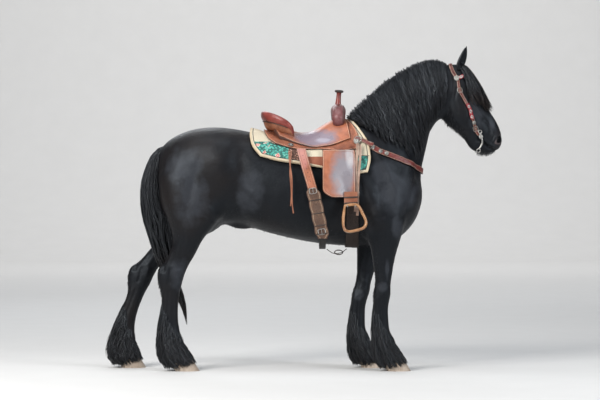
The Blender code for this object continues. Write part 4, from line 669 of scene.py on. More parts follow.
foreLegStations = [
    (0.600, 1.220, 0.420, 1.200, 0.060, 0.140, 0.5, 2.0),
    (0.655, 1.110, 0.350, 1.080, 0.085, 0.165, 0.5, 2.0),
    (0.664, 1.010, 0.350, 0.965, 0.088, 0.178, 0.5, 2.0),
    (0.646, 0.905, 0.388, 0.875, 0.080, 0.180, 0.5, 2.0),
    (0.624, 0.820, 0.424, 0.795, 0.070, 0.176, 0.5, 2.0),
    (0.600, 0.750, 0.438, 0.742, 0.062, 0.170, 0.5, 2.0),
    (0.584, 0.680, 0.447, 0.680, 0.054, 0.164, 0.5, 2.0),
    (0.572, 0.605, 0.458, 0.605, 0.048, 0.158, 0.5, 2.1),
    (0.563, 0.540, 0.460, 0.540, 0.047, 0.154, 0.5, 2.2),
    (0.564, 0.490, 0.450, 0.492, 0.051, 0.150, 0.5, 2.3),
    (0.556, 0.445, 0.449, 0.447, 0.048, 0.148, 0.5, 2.2),
    (0.548, 0.395, 0.450, 0.395, 0.042, 0.146, 0.5, 2.1),
    (0.550, 0.330, 0.449, 0.330, 0.041, 0.144, 0.5, 2.1),
    (0.556, 0.270, 0.447, 0.268, 0.043, 0.142, 0.5, 2.1),
    (0.566, 0.225, 0.446, 0.218, 0.047, 0.141, 0.5, 2.1),
    (0.580, 0.180, 0.455, 0.162, 0.049, 0.140, 0.5, 2.1),
    (0.602, 0.142, 0.490, 0.108, 0.047, 0.140, 0.5, 2.1),
    (0.624, 0.102, 0.508, 0.066, 0.052, 0.140, 0.5, 2.2),
    (0.646, 0.074, 0.514, 0.034, 0.055, 0.140, 0.5, 2.2),
    (0.660, 0.050, 0.520, 0.010, 0.055, 0.140, 0.5, 2.2),
]
hindLegStations = [
    (-0.560, 1.360, -0.800, 1.360, 0.075, 0.120, 0.5, 2.0),
    (-0.480, 1.240, -0.905, 1.250, 0.115, 0.145, 0.5, 2.0),
    (-0.462, 1.120, -0.898, 1.120, 0.122, 0.160, 0.5, 2.0),
    (-0.490, 1.005, -0.868, 1.000, 0.113, 0.167, 0.5, 2.0),
    (-0.565, 0.905, -0.834, 0.895, 0.094, 0.170, 0.5, 2.0),
    (-0.622, 0.835, -0.820, 0.815, 0.076, 0.168, 0.5, 2.0),
    (-0.656, 0.773, -0.840, 0.755, 0.062, 0.164, 0.5, 2.0),
    (-0.690, 0.712, -0.866, 0.698, 0.052, 0.159, 0.52, 1.9),
    (-0.720, 0.660, -0.914, 0.645, 0.048, 0.155, 0.6, 1.8),
    (-0.745, 0.600, -0.922, 0.590, 0.050, 0.153, 0.6, 2.0),
    (-0.762, 0.540, -0.908, 0.530, 0.048, 0.151, 0.58, 2.1),
    (-0.776, 0.480, -0.893, 0.475, 0.042, 0.149, 0.5, 2.1),
    (-0.783, 0.400, -0.892, 0.400, 0.040, 0.148, 0.5, 2.1),
    (-0.783, 0.330, -0.896, 0.328, 0.041, 0.147, 0.5, 2.1),
    (-0.776, 0.268, -0.902, 0.262, 0.044, 0.146, 0.5, 2.1),
    (-0.758, 0.200, -0.903, 0.182, 0.051, 0.145, 0.5, 2.1),
    (-0.740, 0.152, -0.865, 0.115, 0.047, 0.145, 0.5, 2.1),
    (-0.718, 0.104, -0.842, 0.066, 0.052, 0.145, 0.5, 2.2),
    (-0.696, 0.074, -0.834, 0.034, 0.055, 0.145, 0.5, 2.2),
    (-0.684, 0.050, -0.828, 0.010, 0.055, 0.145, 0.5, 2.2),
]
foreStepBack = [(0.0, -0.152), (0.25, -0.146), (0.45, -0.130), (0.80, -0.075), (1.05, -0.03), (1.2, 0.0)]
hindStepBack = [
    (0.0, -0.360),
    (0.08, -0.352),
    (0.15, -0.336),
    (0.36, -0.280),
    (0.53, -0.222),
    (0.65, -0.200),
    (0.80, -0.140),
    (1.0, -0.050),
    (1.15, 0.0),
]
foreHoof = {"rim": (0.646, 0.080, 0.516, 0.040), "ground": (0.690, 0.0, 0.536, 0.0), "y": 0.140}
hindHoof = {"rim": (-0.696, 0.080, -0.834, 0.040), "ground": (-0.650, 0.0, -0.806, 0.0), "y": 0.145}
bodyRelief = [
    ([(0.36, 1.50), (0.52, 1.30), (0.62, 1.16)], 0.060, 0.010),
    ([(0.30, 1.44), (0.40, 1.26), (0.52, 1.10)], 0.030, -0.007),
    ([(0.40, 1.16), (0.46, 1.00)], 0.075, 0.012),
    ([(0.27, 1.20), (0.33, 0.98), (0.36, 0.88)], 0.030, -0.008),
    ([(0.60, 1.14), (0.64, 1.06)], 0.055, 0.012),
    ([(0.66, 1.34), (0.60, 1.24)], 0.030, -0.006),
    ([(-0.46, 1.46), (-0.44, 1.42)], 0.040, 0.008),
    ([(-0.40, 1.36), (-0.37, 1.18), (-0.42, 1.04)], 0.050, -0.010),
    ([(-0.50, 1.30), (-0.54, 1.08)], 0.080, 0.010),
    ([(-0.64, 1.36), (-0.70, 1.14), (-0.74, 0.96)], 0.024, -0.005),
    ([(-0.80, 1.28), (-0.82, 1.06)], 0.070, 0.012),
    ([(0.84, 1.58), (0.74, 1.36), (0.70, 1.26)], 0.024, -0.006),
]
headRelief = [
    ([(0.965, 1.76), (1.000, 1.68), (1.030, 1.61)], 0.052, 0.012),
    ([(0.945, 1.70), (0.975, 1.595), (1.040, 1.540)], 0.014, 0.004),
    ([(1.050, 1.560), (1.075, 1.650), (1.060, 1.720)], 0.014, -0.005),
    ([(1.085, 1.725), (1.120, 1.660), (1.150, 1.610)], 0.011, 0.008),
    ([(1.050, 1.855), (1.075, 1.830)], 0.018, -0.007),
    ([(1.075, 1.826), (1.112, 1.806)], 0.013, 0.007),
    ([(1.165, 1.590), (1.195, 1.530)], 0.022, -0.006),
    ([(1.232, 1.500), (1.242, 1.455)], 0.020, 0.006),
    ([(1.272, 1.512), (1.247, 1.503), (1.237, 1.472)], 0.010, 0.007),
    ([(1.150, 1.484), (1.192, 1.448), (1.250, 1.411)], 0.008, 0.004),
    ([(1.120, 1.452), (1.160, 1.414), (1.215, 1.382)], 0.010, 0.004),
    ([(1.134, 1.475), (1.172, 1.439), (1.208, 1.413), (1.256, 1.396)], 0.005, -0.009),
    ([(1.269, 1.491), (1.257, 1.481), (1.254, 1.463)], 0.0085, -0.022),
]
fineRelief = [  # side-view lines, width and height of folds, veins and the edges of muscles
    ([(1.134, 1.475), (1.172, 1.439), (1.208, 1.413), (1.256, 1.396)], 0.0042, -0.0065),
    ([(1.150, 1.474), (1.185, 1.443), (1.225, 1.418)], 0.0075, 0.0022),
    ([(1.130, 1.456), (1.170, 1.418), (1.215, 1.392)], 0.0080, 0.0026),
    ([(1.128, 1.486), (1.124, 1.472), (1.128, 1.458)], 0.0050, -0.0030),
    ([(1.236, 1.478), (1.228, 1.455), (1.232, 1.436)], 0.0045, -0.0026),
    ([(1.222, 1.484), (1.212, 1.460), (1.214, 1.440)], 0.0045, -0.0018),
    ([(1.250, 1.438), (1.240, 1.424), (1.226, 1.420)], 0.0040, -0.0020),
    ([(1.196, 1.385), (1.225, 1.384)], 0.0130, 0.0030),
    ([(1.070, 1.748), (1.090, 1.738), (1.112, 1.742)], 0.0045, -0.0022),
    ([(1.062, 1.735), (1.086, 1.722), (1.112, 1.722)], 0.0050, -0.0014),
    ([(1.078, 1.812), (1.098, 1.806), (1.114, 1.792)], 0.0040, -0.0022),
    ([(1.118, 1.768), (1.135, 1.750), (1.148, 1.726)], 0.0050, -0.0018),
    ([(1.100, 1.700), (1.135, 1.640), (1.150, 1.560)], 0.0035, 0.0013),
    ([(1.120, 1.665), (1.165, 1.630), (1.205, 1.560)], 0.0030, 0.0012),
    ([(1.145, 1.600), (1.185, 1.570), (1.222, 1.510)], 0.0032, 0.0011),
    ([(0.985, 1.800), (0.970, 1.720), (0.990, 1.640)], 0.0080, -0.0028),
    ([(1.010, 1.760), (1.030, 1.690), (1.060, 1.610)], 0.0100, 0.0018),
    ([(-0.400, 1.195), (-0.330, 1.140), (-0.255, 1.080)], 0.020, 0.0055),
    ([(-0.420, 1.165), (-0.350, 1.110), (-0.280, 1.050)], 0.018, -0.0050),
    ([(-0.590, 1.030), (-0.530, 0.975), (-0.450, 0.950)], 0.020, 0.0080),
    ([(-0.610, 0.990), (-0.550, 0.945), (-0.500, 0.930)], 0.012, -0.0050),
    ([(-0.620, 1.380), (-0.665, 1.200), (-0.700, 1.060)], 0.030, -0.0008),
    ([(-0.800, 1.360), (-0.858, 1.130), (-0.840, 0.950)], 0.030, -0.0012),
    ([(-0.560, 1.440), (-0.470, 1.430)], 0.030, 0.0050),
    ([(0.400, 1.520), (0.490, 1.360), (0.560, 1.220)], 0.020, 0.0040),
    ([(0.330, 1.300), (0.390, 1.120), (0.420, 0.980)], 0.020, -0.0050),
    ([(0.480, 1.150), (0.500, 1.020), (0.500, 0.900)], 0.018, -0.0035),
    ([(0.720, 1.200), (0.665, 1.030), (0.620, 0.950)], 0.016, -0.0050),
    ([(0.560, 1.230), (0.600, 1.120), (0.590, 1.000)], 0.030, 0.0045),
    ([(0.430, 0.930), (0.460, 0.965), (0.515, 0.980)], 0.012, -0.0050),
    ([(0.745, 1.330), (0.825, 1.500), (0.900, 1.620)], 0.014, -0.0045),
    ([(0.300, 0.870), (0.050, 0.845), (-0.200, 0.885)], 0.008, 0.0022),
    ([(-0.060, 1.120), (-0.115, 0.960)], 0.022, 0.0014),
    ([(0.020, 1.120), (-0.030, 0.930)], 0.022, 0.0014),
    ([(-0.140, 1.130), (-0.200, 0.990)], 0.022, 0.0014),
]
legRelief = {  # the same for the legs' bones and sinews, on the right leg's places
    "fore": [
        ([(0.500, 0.860), (0.505, 0.740), (0.502, 0.620)], 0.014, -0.0038),
        ([(0.548, 0.880), (0.535, 0.740), (0.530, 0.610)], 0.012, -0.0028),
        ([(0.462, 0.860), (0.468, 0.740), (0.462, 0.610)], 0.012, -0.0030),
        ([(0.515, 0.562), (0.532, 0.540), (0.532, 0.505), (0.512, 0.482)], 0.014, 0.0042),
        ([(0.450, 0.548), (0.448, 0.520)], 0.014, 0.0060),
        ([(0.480, 0.560), (0.478, 0.480)], 0.010, -0.0030),
        ([(0.496, 0.455), (0.494, 0.250)], 0.009, -0.0042),
        ([(0.466, 0.455), (0.464, 0.260)], 0.008, 0.0025),
    ],
    "hind": [
        ([(-0.790, 0.880), (-0.812, 0.780), (-0.822, 0.680)], 0.014, -0.0036),
        ([(-0.868, 0.780), (-0.876, 0.700), (-0.880, 0.640)], 0.014, -0.0070),
        ([(-0.735, 0.860), (-0.762, 0.760), (-0.775, 0.660)], 0.014, -0.0028),
        ([(-0.790, 0.630), (-0.792, 0.590)], 0.018, 0.0050),
        ([(-0.895, 0.655), (-0.898, 0.620)], 0.016, 0.0060),
        ([(-0.835, 0.640), (-0.842, 0.560)], 0.012, -0.0040),
        ([(-0.846, 0.500), (-0.856, 0.290)], 0.010, -0.0045),
        ([(-0.876, 0.500), (-0.884, 0.300)], 0.008, 0.0025),
    ],
}
skinForm = {
    "bodyVoxel": 0.013,
    "headVoxel": 0.0055,
    "fineVoxel": 0.0040,
    "triangles": 188000,
    "coatDepth": 0.0012,
}
eyeForm = {
    "centre": (1.092, 0.0755, 1.778),
    "radius": 0.0215,
    "long": (0.83, 0.0, -0.56),
    "halfLong": 0.0180,
    "halfUp": 0.0115,
    "halfDown": 0.0085,
}


def legStations(stations, sign, stepBack=None):  # one side's leg, each station moved back by its height's step
    rows = np.array(stations, float)
    if stepBack:
        heights, shifts = np.array(stepBack).T
        rows[:, 0] += np.interp(rows[:, 1], heights, shifts)
        rows[:, 2] += np.interp(rows[:, 3], heights, shifts)
    rows[:, 5] *= sign
    return rows


legs = {
    "fore_right": (foreLegStations, foreHoof, -1, None),
    "fore_left": (foreLegStations, foreHoof, 1, foreStepBack),
    "hind_right": (hindLegStations, hindHoof, -1, None),
    "hind_left": (hindLegStations, hindHoof, 1, hindStepBack),
}
masses = [  # start, end, thickness across and width of the muscles, mirrored on both sides
    ((-0.42, 0.14, 1.40), (-0.84, 0.11, 1.30), 0.120, 0.150),
    ((-0.80, 0.09, 1.40), (-0.83, 0.15, 0.96), 0.095, 0.085),
    ((0.34, 0.10, 1.54), (0.66, 0.14, 1.10), 0.085, 0.190),
    ((0.34, 0.155, 1.26), (0.54, 0.175, 0.90), 0.090, 0.160),
    ((0.66, 0.070, 1.24), (0.63, 0.090, 0.90), 0.090, 0.105),
    ((-0.55, 0.10, 1.06), (-0.70, 0.10, 0.88), 0.080, 0.110),
    ((-0.56, 0.028, 0.98), (-0.57, 0.028, 0.88), 0.034, 0.045),
    ((-0.50, 0.0, 0.945), (-0.32, 0.0, 0.905), 0.035, 0.032),
]


def massShape(start, end, thick, wide):  # an ellipsoid laid from start to end
    start, end = np.array(start, float), np.array(end, float)
    run = end - start
    side = unit(np.cross(run, (0, 1, 0)))
    across = unit(np.cross(side, run))
    sphere, faces = ball((0, 0, 0), 1.0, 14, 28)
    points = (start + end) / 2 + sphere[:, :1] * side * wide + sphere[:, 2:] * across * thick
    return outwards(points + sphere[:, 1:2] * run * 0.5, faces)


def remesh(piece, voxel, rounds):
    net = piece.modifiers.new("net", "REMESH")
    net.mode = "VOXEL"
    net.voxel_size = voxel
    even = piece.modifiers.new("even", "SMOOTH")
    even.factor = 0.5
    even.iterations = rounds
    applyModifiers(piece)


def lineDistance(points, line):  # shortest distance in the side view to a line of straight pieces
    line = np.array(line, float)
    best = np.full(len(points), np.inf)
    for start, end in zip(line, line[1:]):
        run = end - start
        share = np.clip((points - start) @ run / (run @ run), 0, 1)
        best = np.minimum(best, np.linalg.norm(points - start - share[:, None] * run, axis=1))
    return best


def raiseRelief(piece, relief):  # a bell curve of height across each line, on faces that look sideways
    points, normals = pointsOf(piece), normalsOf(piece)
    lift = np.zeros(len(points))
    for line, width, height in relief:
        lift += height * np.exp(-((lineDistance(points[:, (0, 2)], line) / width) ** 2))
    setPoints(piece, points + normals * (lift * np.abs(normals[:, 1]))[:, None])


def raiseLegs(piece):  # each leg's relief, moved back with the leg's own step
    points, normals = pointsOf(piece), normalsOf(piece)
    lift = np.zeros(len(points))
    for name, (_, _, sign, stepBack) in legs.items():
        own = (points[:, 1] * sign > 0.02) & (points[:, 2] < 0.95)
        flat = points[own][:, (0, 2)]
        if stepBack:
            flat[:, 0] -= np.interp(flat[:, 1], *np.array(stepBack).T)
        for line, width, height in legRelief[name[:4]]:
            lift[own] += height * np.exp(-((lineDistance(flat, line) / width) ** 2))
    setPoints(piece, points + normals * (lift * np.abs(normals[:, 1]) ** 0.5)[:, None])


def openNostrils(piece):  # a comma pressed in, with a soft rim raised round it
    points, normals = pointsOf(piece), normalsOf(piece)
    ratio = np.hypot(*nostrilShares(points[:, 0], points[:, 2]))
    out = np.abs(normals[:, 1]) ** 0.3 * (points[:, 0] > 1.20)
    lift = 0.0034 * np.exp(-(((ratio - 1.28) / 0.25) ** 2)) - nostril["depth"] * np.clip(1 - ratio**2, 0, 1) ** 0.7
    setPoints(piece, points + normals * (lift * out)[:, None])


def smoothTrunk(piece, rounds):  # evens out trunk and neck, and leaves the slender legs
    heights = pointsOf(piece)[:, 2]
    group = piece.vertex_groups.new(name="trunk")
    for share in (0.35, 0.7, 1.0):
        group.add(np.flatnonzero(heights > 0.72 + 0.1 * share).tolist(), share, "REPLACE")
    even = piece.modifiers.new("even", "SMOOTH")
    even.factor = 0.5
    even.iterations = rounds
    even.vertex_group = "trunk"
    applyModifiers(piece)


def eyeFrame(sign):  # centre, long axis, upward axis and outward axis of an eye
    x, y, z = eyeForm["centre"]
    outward = unit(np.array([0.26, 0.95 * sign, 0.10]))
    long = np.array(eyeForm["long"])
    long = unit(long - outward * (long @ outward))
    upward = np.cross(outward, long)
    upward = upward * np.sign(upward[2])
    return np.array([x, y * sign, z]), long, upward, outward


def almond(points, sign, grow=1.0):  # below 1 inside the opening between the lids, seen along the eye's axis
    centre, long, upward, outward = eyeFrame(sign)
    local = points - centre
    across, up, out = local @ long, local @ upward, local @ outward
    half = np.where(up > 0, eyeForm["halfUp"], eyeForm["halfDown"])
    return np.hypot(across / (eyeForm["halfLong"] * grow), up / (half * grow)), out, across, up


def sinkSockets(piece):  # the skin behind each lid opening goes back to lie inside the eyeball
    points = pointsOf(piece)
    for _, sign in sides:
        centre, long, upward, outward = eyeFrame(sign)
        ratio, out, across, up = almond(points, sign, 1.25)
        inside = (ratio < 1.0) & (out > 0)
        depth = np.sqrt(np.maximum((eyeForm["radius"] * 0.9) ** 2 - across**2 - up**2, 0))
        target = depth - 0.006
        points[inside] += outward * (target - out)[inside, None]
    setPoints(piece, points)


def buildSkin():
    forms = [tube(superRings(torsoStations)), tube(superRings(neckStations))]
    forms += [tube(superRings(legStations(table, sign, step))) for table, _, sign, step in legs.values()]
    for start, end, thick, wide in masses:
        for sign in (-1, 1):
            flip = np.array([1, sign, 1])
            forms.append(massShape(np.array(start) * flip, np.array(end) * flip, thick, wide))
    body = scratch("bodyForm", joined(forms))
    remesh(body, skinForm["bodyVoxel"], 4)
    smoothTrunk(body, 24)
    raiseRelief(body, bodyRelief)
    head = scratch("headForm", joined([tube(superRings(headStations)), tube(superRings(neckStations[5:]))]))
    remesh(head, skinForm["headVoxel"], 5)
    raiseRelief(head, headRelief)
    centre = np.array(eyeForm["centre"])
    lids = [ball(centre * (1, sign, 1), eyeForm["radius"] + 0.0035) for sign in (-1, 1)]
    skin = joinScratch("horse_skin", [body, head, scratch("lidForm", joined(lids))])
    remesh(skin, skinForm["fineVoxel"], 9)
    raiseRelief(skin, fineRelief)
    raiseLegs(skin)
    openNostrils(skin)
    setPoints(skin, pointsOf(skin) - normalsOf(skin) * skinForm["coatDepth"])
    sinkSockets(skin)
    return skin


def thinSkin(skin):  # keeps the head's detail and thins the smooth body
    points = pointsOf(skin)
    group = skin.vertex_groups.new(name="plain")
    headward = (points[:, 0] > 0.93) & (points[:, 2] > 1.35)
    group.add(np.flatnonzero(~headward).tolist(), 1.0, "REPLACE")
    skin.data.calc_loop_triangles()
    thin = skin.modifiers.new("thin", "DECIMATE")
    thin.ratio = skinForm["triangles"] / len(skin.data.loop_triangles)
    thin.vertex_group = "plain"
    thin.vertex_group_factor = 1.0
    applyModifiers(skin)
    skin.vertex_groups.clear()


print("stretching the skin")
skin = buildSkin()
fineTree = treeOf([skin])
thinSkin(skin)
finishPiece(skin, blackCoat, ("torso", "neck", "head", *["leg_" + name for name in legs]))
print("skin:", len(skin.data.polygons), "faces")

# ---- eyes, lids, ears and hooves

lidForm = {  # from the wet edge over the rolled rim and out under the skin, then back beneath
    "grow": (0.90, 0.93, 0.99, 1.07, 1.17, 1.30, 1.42, 1.60, 1.85, 2.15, 2.2, 1.6, 1.1),
    "lift": (0.0002, 0.0022, 0.0040, 0.0047, 0.0047, 0.0040, 0.0030, 0.0040, 0.0024, -0.003, -0.012, -0.010, -0.004),
    "corner": 1.14,
    "around": 64,
}
earForm = {
    "base": (1.012, 0.052, 1.925),
    "tip": (1.050, 0.066, 2.064),
    "halfWidth": 0.035,
    "depth": 0.030,
    "facing": (0.80, 0.60, 0.0),
    "rings": 28,
    "around": 36,
}
hoofShape = {"rimHalfWidth": 0.058, "groundHalfWidth": 0.067, "rings": 22, "around": 56, "ridge": 0.0005}


def addUv(piece, name, perPoint):  # one pair of numbers for each point, copied to the faces' corners
    layer = piece.data.uv_layers.new(name=name)
    corners = np.empty(len(piece.data.loops), np.int32)
    piece.data.loops.foreach_get("vertex_index", corners)
    layer.data.foreach_set("uv", np.ascontiguousarray(perPoint[corners], np.float32).ravel())


def closedLoop(rings):  # a grid closed both ways, like a bent ring
    return outwards(*grid(rings, closeRows=True, closeColumns=True))


def eyeballShape(sign):  # a sphere whose cornea swells a little over the iris
    centre, long, upward, outward = eyeFrame(sign)
    radius = eyeForm["radius"]
    polar = np.linspace(0.015, np.pi * 0.72, 26)[:, None]
    turn = np.arange(44)[None, :] * 2 * np.pi / 44
    swell = 1 + 0.05 * np.clip(1 - (np.sin(polar) / 0.72) ** 2, 0, 1) * (polar < 1.2)
    across, up = np.sin(polar) * np.cos(turn), np.sin(polar) * np.sin(turn)
    out = np.cos(polar) * swell + 0 * turn
    return tube(centre + radius * (across[..., None] * long + up[..., None] * upward + out[..., None] * outward))


def lidShape(sign):  # the almond of the opening scaled out ring by ring, lifted off the eyeball's sphere
    centre, long, upward, outward = eyeFrame(sign)
    turn = np.arange(lidForm["around"])[:, None] * 2 * np.pi / lidForm["around"]
    grow, lift = np.array(lidForm["grow"])[None, :], np.array(lidForm["lift"])[None, :]
    corner = np.where(np.cos(turn) > 0, lidForm["corner"], 1.0)
    half = np.where(np.sin(turn) > 0, eyeForm["halfUp"], eyeForm["halfDown"])
    across = eyeForm["halfLong"] * np.cos(turn) * (1 + (grow - 1) * 0.75) * corner
    up = half * np.sin(turn) * np.abs(np.sin(turn)) ** 0.25 * grow
    radius = eyeForm["radius"]
    out = np.sqrt(np.maximum(radius**2 - across**2 - up**2, (0.30 * radius) ** 2)) + lift
    return closedLoop(centre + across[..., None] * long + up[..., None] * upward + out[..., None] * outward)


def buildEyes():
    for side, sign in sides:
        piece = addPiece("eyeball_" + side, eyeballShape(sign), horseEye, ["eye_" + side])
        centre, long, upward, outward = eyeFrame(sign)
        local = (pointsOf(piece) - centre) / (eyeForm["radius"] * 0.80)
        front = np.where(local @ outward > 0, 1.0, 9.0)
        addUv(piece, "iris", np.column_stack([local @ long * front, local @ upward * front]))
    addPiece("eyelids", joined([lidShape(sign) for _, sign in sides]), blackCoat)


def earShape(sign):  # leaf-shaped rings from base to tip, each hollowed on the side that faces forwards
    base, tip = np.array(earForm["base"]), np.array(earForm["tip"])
    facing = unit(np.array(earForm["facing"]))
    up = unit(tip - base)
    across = unit(np.cross(up, facing))
    share = np.linspace(-0.10, 1, earForm["rings"])[:, None]
    held = np.clip(share, 0, 1)
    swell = np.sin(np.pi * (0.22 + 0.78 * held)) ** 0.75 * (1 - 0.25 * held)
    width = np.maximum(earForm["halfWidth"] * swell, 0.0022)
    depth = np.maximum(earForm["depth"] * swell, 0.0022)
    angle = np.arange(earForm["around"])[None, :] * 2 * np.pi / earForm["around"]
    cup = 0.82 * np.clip((share - 0.06) / 0.2, 0, 1)
    out = np.sin(angle)
    reach = np.where(out < 0, out, out**1.2 * (0.45 - cup * 1.40) if False else out * (0.45 - cup * 1.40))
    side = width * np.cos(angle)
    fore = depth * reach + 0.005 * np.sin(np.pi * held)
    rings = base + (tip - base) * share[..., None] + side[..., None] * across + fore[..., None] * facing
    return tube(rings * np.array([1, sign, 1]))


def hoofShapeOf(name):  # rings from the coronet to the ground, with a slight flare and growth ridges
    _, hoof, sign, stepBack = legs[name]
    shift = stepBack[0][1] if stepBack else 0.0
    toeX, toeZ, heelX, heelZ = hoof["rim"]
    groundToe, _, groundHeel, _ = hoof["ground"]
    y = hoof["y"] * sign
    rimHalf, groundHalf = hoofShape["rimHalfWidth"], hoofShape["groundHalfWidth"]
    inner = (toeX - 0.012 + shift, toeZ + 0.006, heelX + 0.012 + shift, heelZ + 0.006, rimHalf - 0.012, y, 0.5, 2.2)
    rim = (toeX + shift, toeZ, heelX + shift, heelZ, rimHalf, y, 0.5, 2.3)
    middle = tuple(np.array(rim) * 0.5 + np.array((groundToe - 0.003 + shift, 0, groundHeel + 0.004 + shift, 0,
                                                   groundHalf - 0.002, y, 0.5, 2.4)) * 0.5)
    ground = (groundToe + shift, 0.0, groundHeel + shift, 0.0, groundHalf, y, 0.5, 2.4)
    rings = superRings([rim, middle, ground], hoofShape["rings"] // 2, hoofShape["around"])
    centre = rings.mean(axis=1, keepdims=True)
    ridges = 1 + hoofShape["ridge"] / rimHalf * np.sin(np.arange(len(rings)) * 2.3)[:, None, None]
    rings[1:-1] = (centre + (rings - centre) * ridges)[1:-1]
    cap = superRings([inner, rim], 2, hoofShape["around"])[:2]
    sole = centre[-1:] + (rings[-1:] - centre[-1:]) * 0.97
    return tube(np.concatenate([cap, rings, sole]))


print("eyes, ears and hooves")
buildEyes()
for side, sign in sides:
    addPiece("ear_shell_" + side, earShape(sign), blackCoat, ["ear_" + side])
for name in legs:
    addPiece("hoof_wall_" + name, hoofShapeOf(name), hoofHorn, ["hoof_" + name], sharp=50)


# Long hair: flat, tapered strands in clumps, rooted on the skin and carried over it.

maneEnds = [
    (0.352, 1.560),
    (0.438, 1.500),
    (0.530, 1.440),
    (0.620, 1.395),
    (0.700, 1.365),
    (0.752, 1.390),
    (0.785, 1.470),
    (0.815, 1.550),
    (0.850, 1.600),
    (0.885, 1.640),
    (0.915, 1.690),
]
tailStations = [
    (-0.850, 1.432, 0.024, 0.026),
    (-0.890, 1.412, 0.033, 0.031),
    (-0.926, 1.362, 0.045, 0.038),
    (-0.952, 1.280, 0.057, 0.047),
    (-0.964, 1.179, 0.070, 0.057),
    (-0.954, 1.083, 0.084, 0.063),
    (-0.936, 0.987, 0.087, 0.065),
    (-0.915, 0.904, 0.085, 0.063),
    (-0.898, 0.827, 0.079, 0.058),
    (-0.878, 0.712, 0.060, 0.050),
    (-0.840, 0.600, 0.046, 0.042),
    (-0.795, 0.490, 0.038, 0.036),
    (-0.762, 0.400, 0.030, 0.028),
    (-0.738, 0.280, 0.008, 0.008),
]
foreFeatherStations = [
    (0.552, 0.440, 0.444, 0.440, 0.048, 0.147, 0.5, 2.0),
    (0.556, 0.350, 0.441, 0.350, 0.052, 0.144, 0.5, 2.0),
    (0.570, 0.260, 0.436, 0.250, 0.060, 0.142, 0.5, 2.0),
    (0.589, 0.190, 0.434, 0.160, 0.070, 0.141, 0.5, 2.0),
    (0.634, 0.138, 0.436, 0.092, 0.080, 0.140, 0.5, 2.0),
    (0.666, 0.088, 0.448, 0.036, 0.086, 0.140, 0.5, 2.1),
    (0.682, 0.052, 0.478, 0.010, 0.084, 0.140, 0.5, 2.1),
]
hindFeatherStations = [
    (-0.777, 0.440, -0.897, 0.440, 0.047, 0.149, 0.5, 2.0),
    (-0.777, 0.350, -0.908, 0.350, 0.052, 0.148, 0.5, 2.0),
    (-0.770, 0.260, -0.922, 0.250, 0.060, 0.147, 0.5, 2.0),
    (-0.750, 0.190, -0.930, 0.160, 0.070, 0.146, 0.5, 2.0),
    (-0.708, 0.138, -0.930, 0.092, 0.081, 0.145, 0.5, 2.0),
    (-0.676, 0.088, -0.914, 0.036, 0.087, 0.145, 0.5, 2.1),
    (-0.660, 0.052, -0.876, 0.010, 0.085, 0.145, 0.5, 2.1),
]
strandTaper = [(0, 0.7), (0.2, 1.0), (0.6, 0.9), (0.85, 0.55), (1, 0.12)]
crestUp = np.array([-0.45, 0.0, 0.89])


def addStrands(name, paths, sideways, width, thick, places, material, replaced=()):
    # a low ridge across each path at every point, drawn together at the tip; places are the roots' UV spots
    count, rows = paths.shape[:2]
    forward = unit(np.gradient(paths, axis=1))
    sideways = unit(sideways - forward * (sideways * forward).sum(axis=-1, keepdims=True))
    outward = np.cross(forward, sideways)
    taper = np.interp(np.linspace(0, 1, rows), *zip(*strandTaper))[None, :]
    flat = (sideways * (width * taper / 2)[..., None])[:, :-1]
    tall = (outward * (thick * np.maximum(taper, 0.4) / 2)[..., None])[:, :-1]
    spine = paths[:, :-1]
    rings = np.stack([spine + flat - tall, spine + tall, spine - flat - tall], axis=2)
    points = np.concatenate([rings.reshape(count, -1, 3), paths[:, -1:]], axis=1)
    size = points.shape[1]
    index = np.arange((rows - 1) * 3).reshape(rows - 1, 3)
    after = np.roll(index, -1, axis=1)
    quads = np.stack([index[:-1], after[:-1], after[1:], index[1:]], axis=-1).reshape(-1, 4)
    tips = np.column_stack([index[-1], after[-1], np.full(3, size - 1)])
    tips = np.vstack([tips, [[2, 1, 0]]])
    starts = (np.arange(count) * size)[:, None, None]
    faces = [(quads[None] + starts).reshape(-1, 4), (tips[None] + starts).reshape(-1, 3)]
    piece = addPiece(name, (points.reshape(-1, 3), faces), material, replaced)
    across = np.append(np.tile([0.96, 0.5, 0.04], rows - 1), 0.5)
    along = np.append(np.repeat(np.arange(rows - 1), 3), rows - 1) / (rows - 1)
    own = np.arange(count)[:, None]
    strand = np.stack([own % 512 + across[None] + 0 * own, along[None] + 0 * own], axis=-1)
    addUv(piece, "strand", strand.reshape(-1, 2))
    patch = 0.003 * np.column_stack([across, along])
    addUv(piece, "OFBake", (places[:, None] + patch[None]).reshape(-1, 2))
    print(name, count, "strands,", (len(quads) * 2 + len(tips)) * count, "triangles")
    return piece


class Clumps:  # strands sorted into clumps, with one chance for each strand or one for each clump
    def __init__(self, form):
        self.chance = np.random.default_rng(form["seed"])
        self.count, self.groups = form["count"], form["clumps"]
        self.own = np.sort(self.chance.integers(0, self.groups, self.count))
        middle = (np.arange(self.groups) + 0.5 + 0.7 * (self.chance.random(self.groups) - 0.5)) / self.groups
        self.centre = middle[self.own][:, None]
        self.offset = (self.each() - 0.5) * 1.6 / self.groups
        self.share = np.linspace(0, 1, form["rows"])[None, :]

    def each(self):
        return self.chance.random(self.count)[:, None]

    def shared(self):
        return self.chance.random(self.groups)[self.own][:, None]


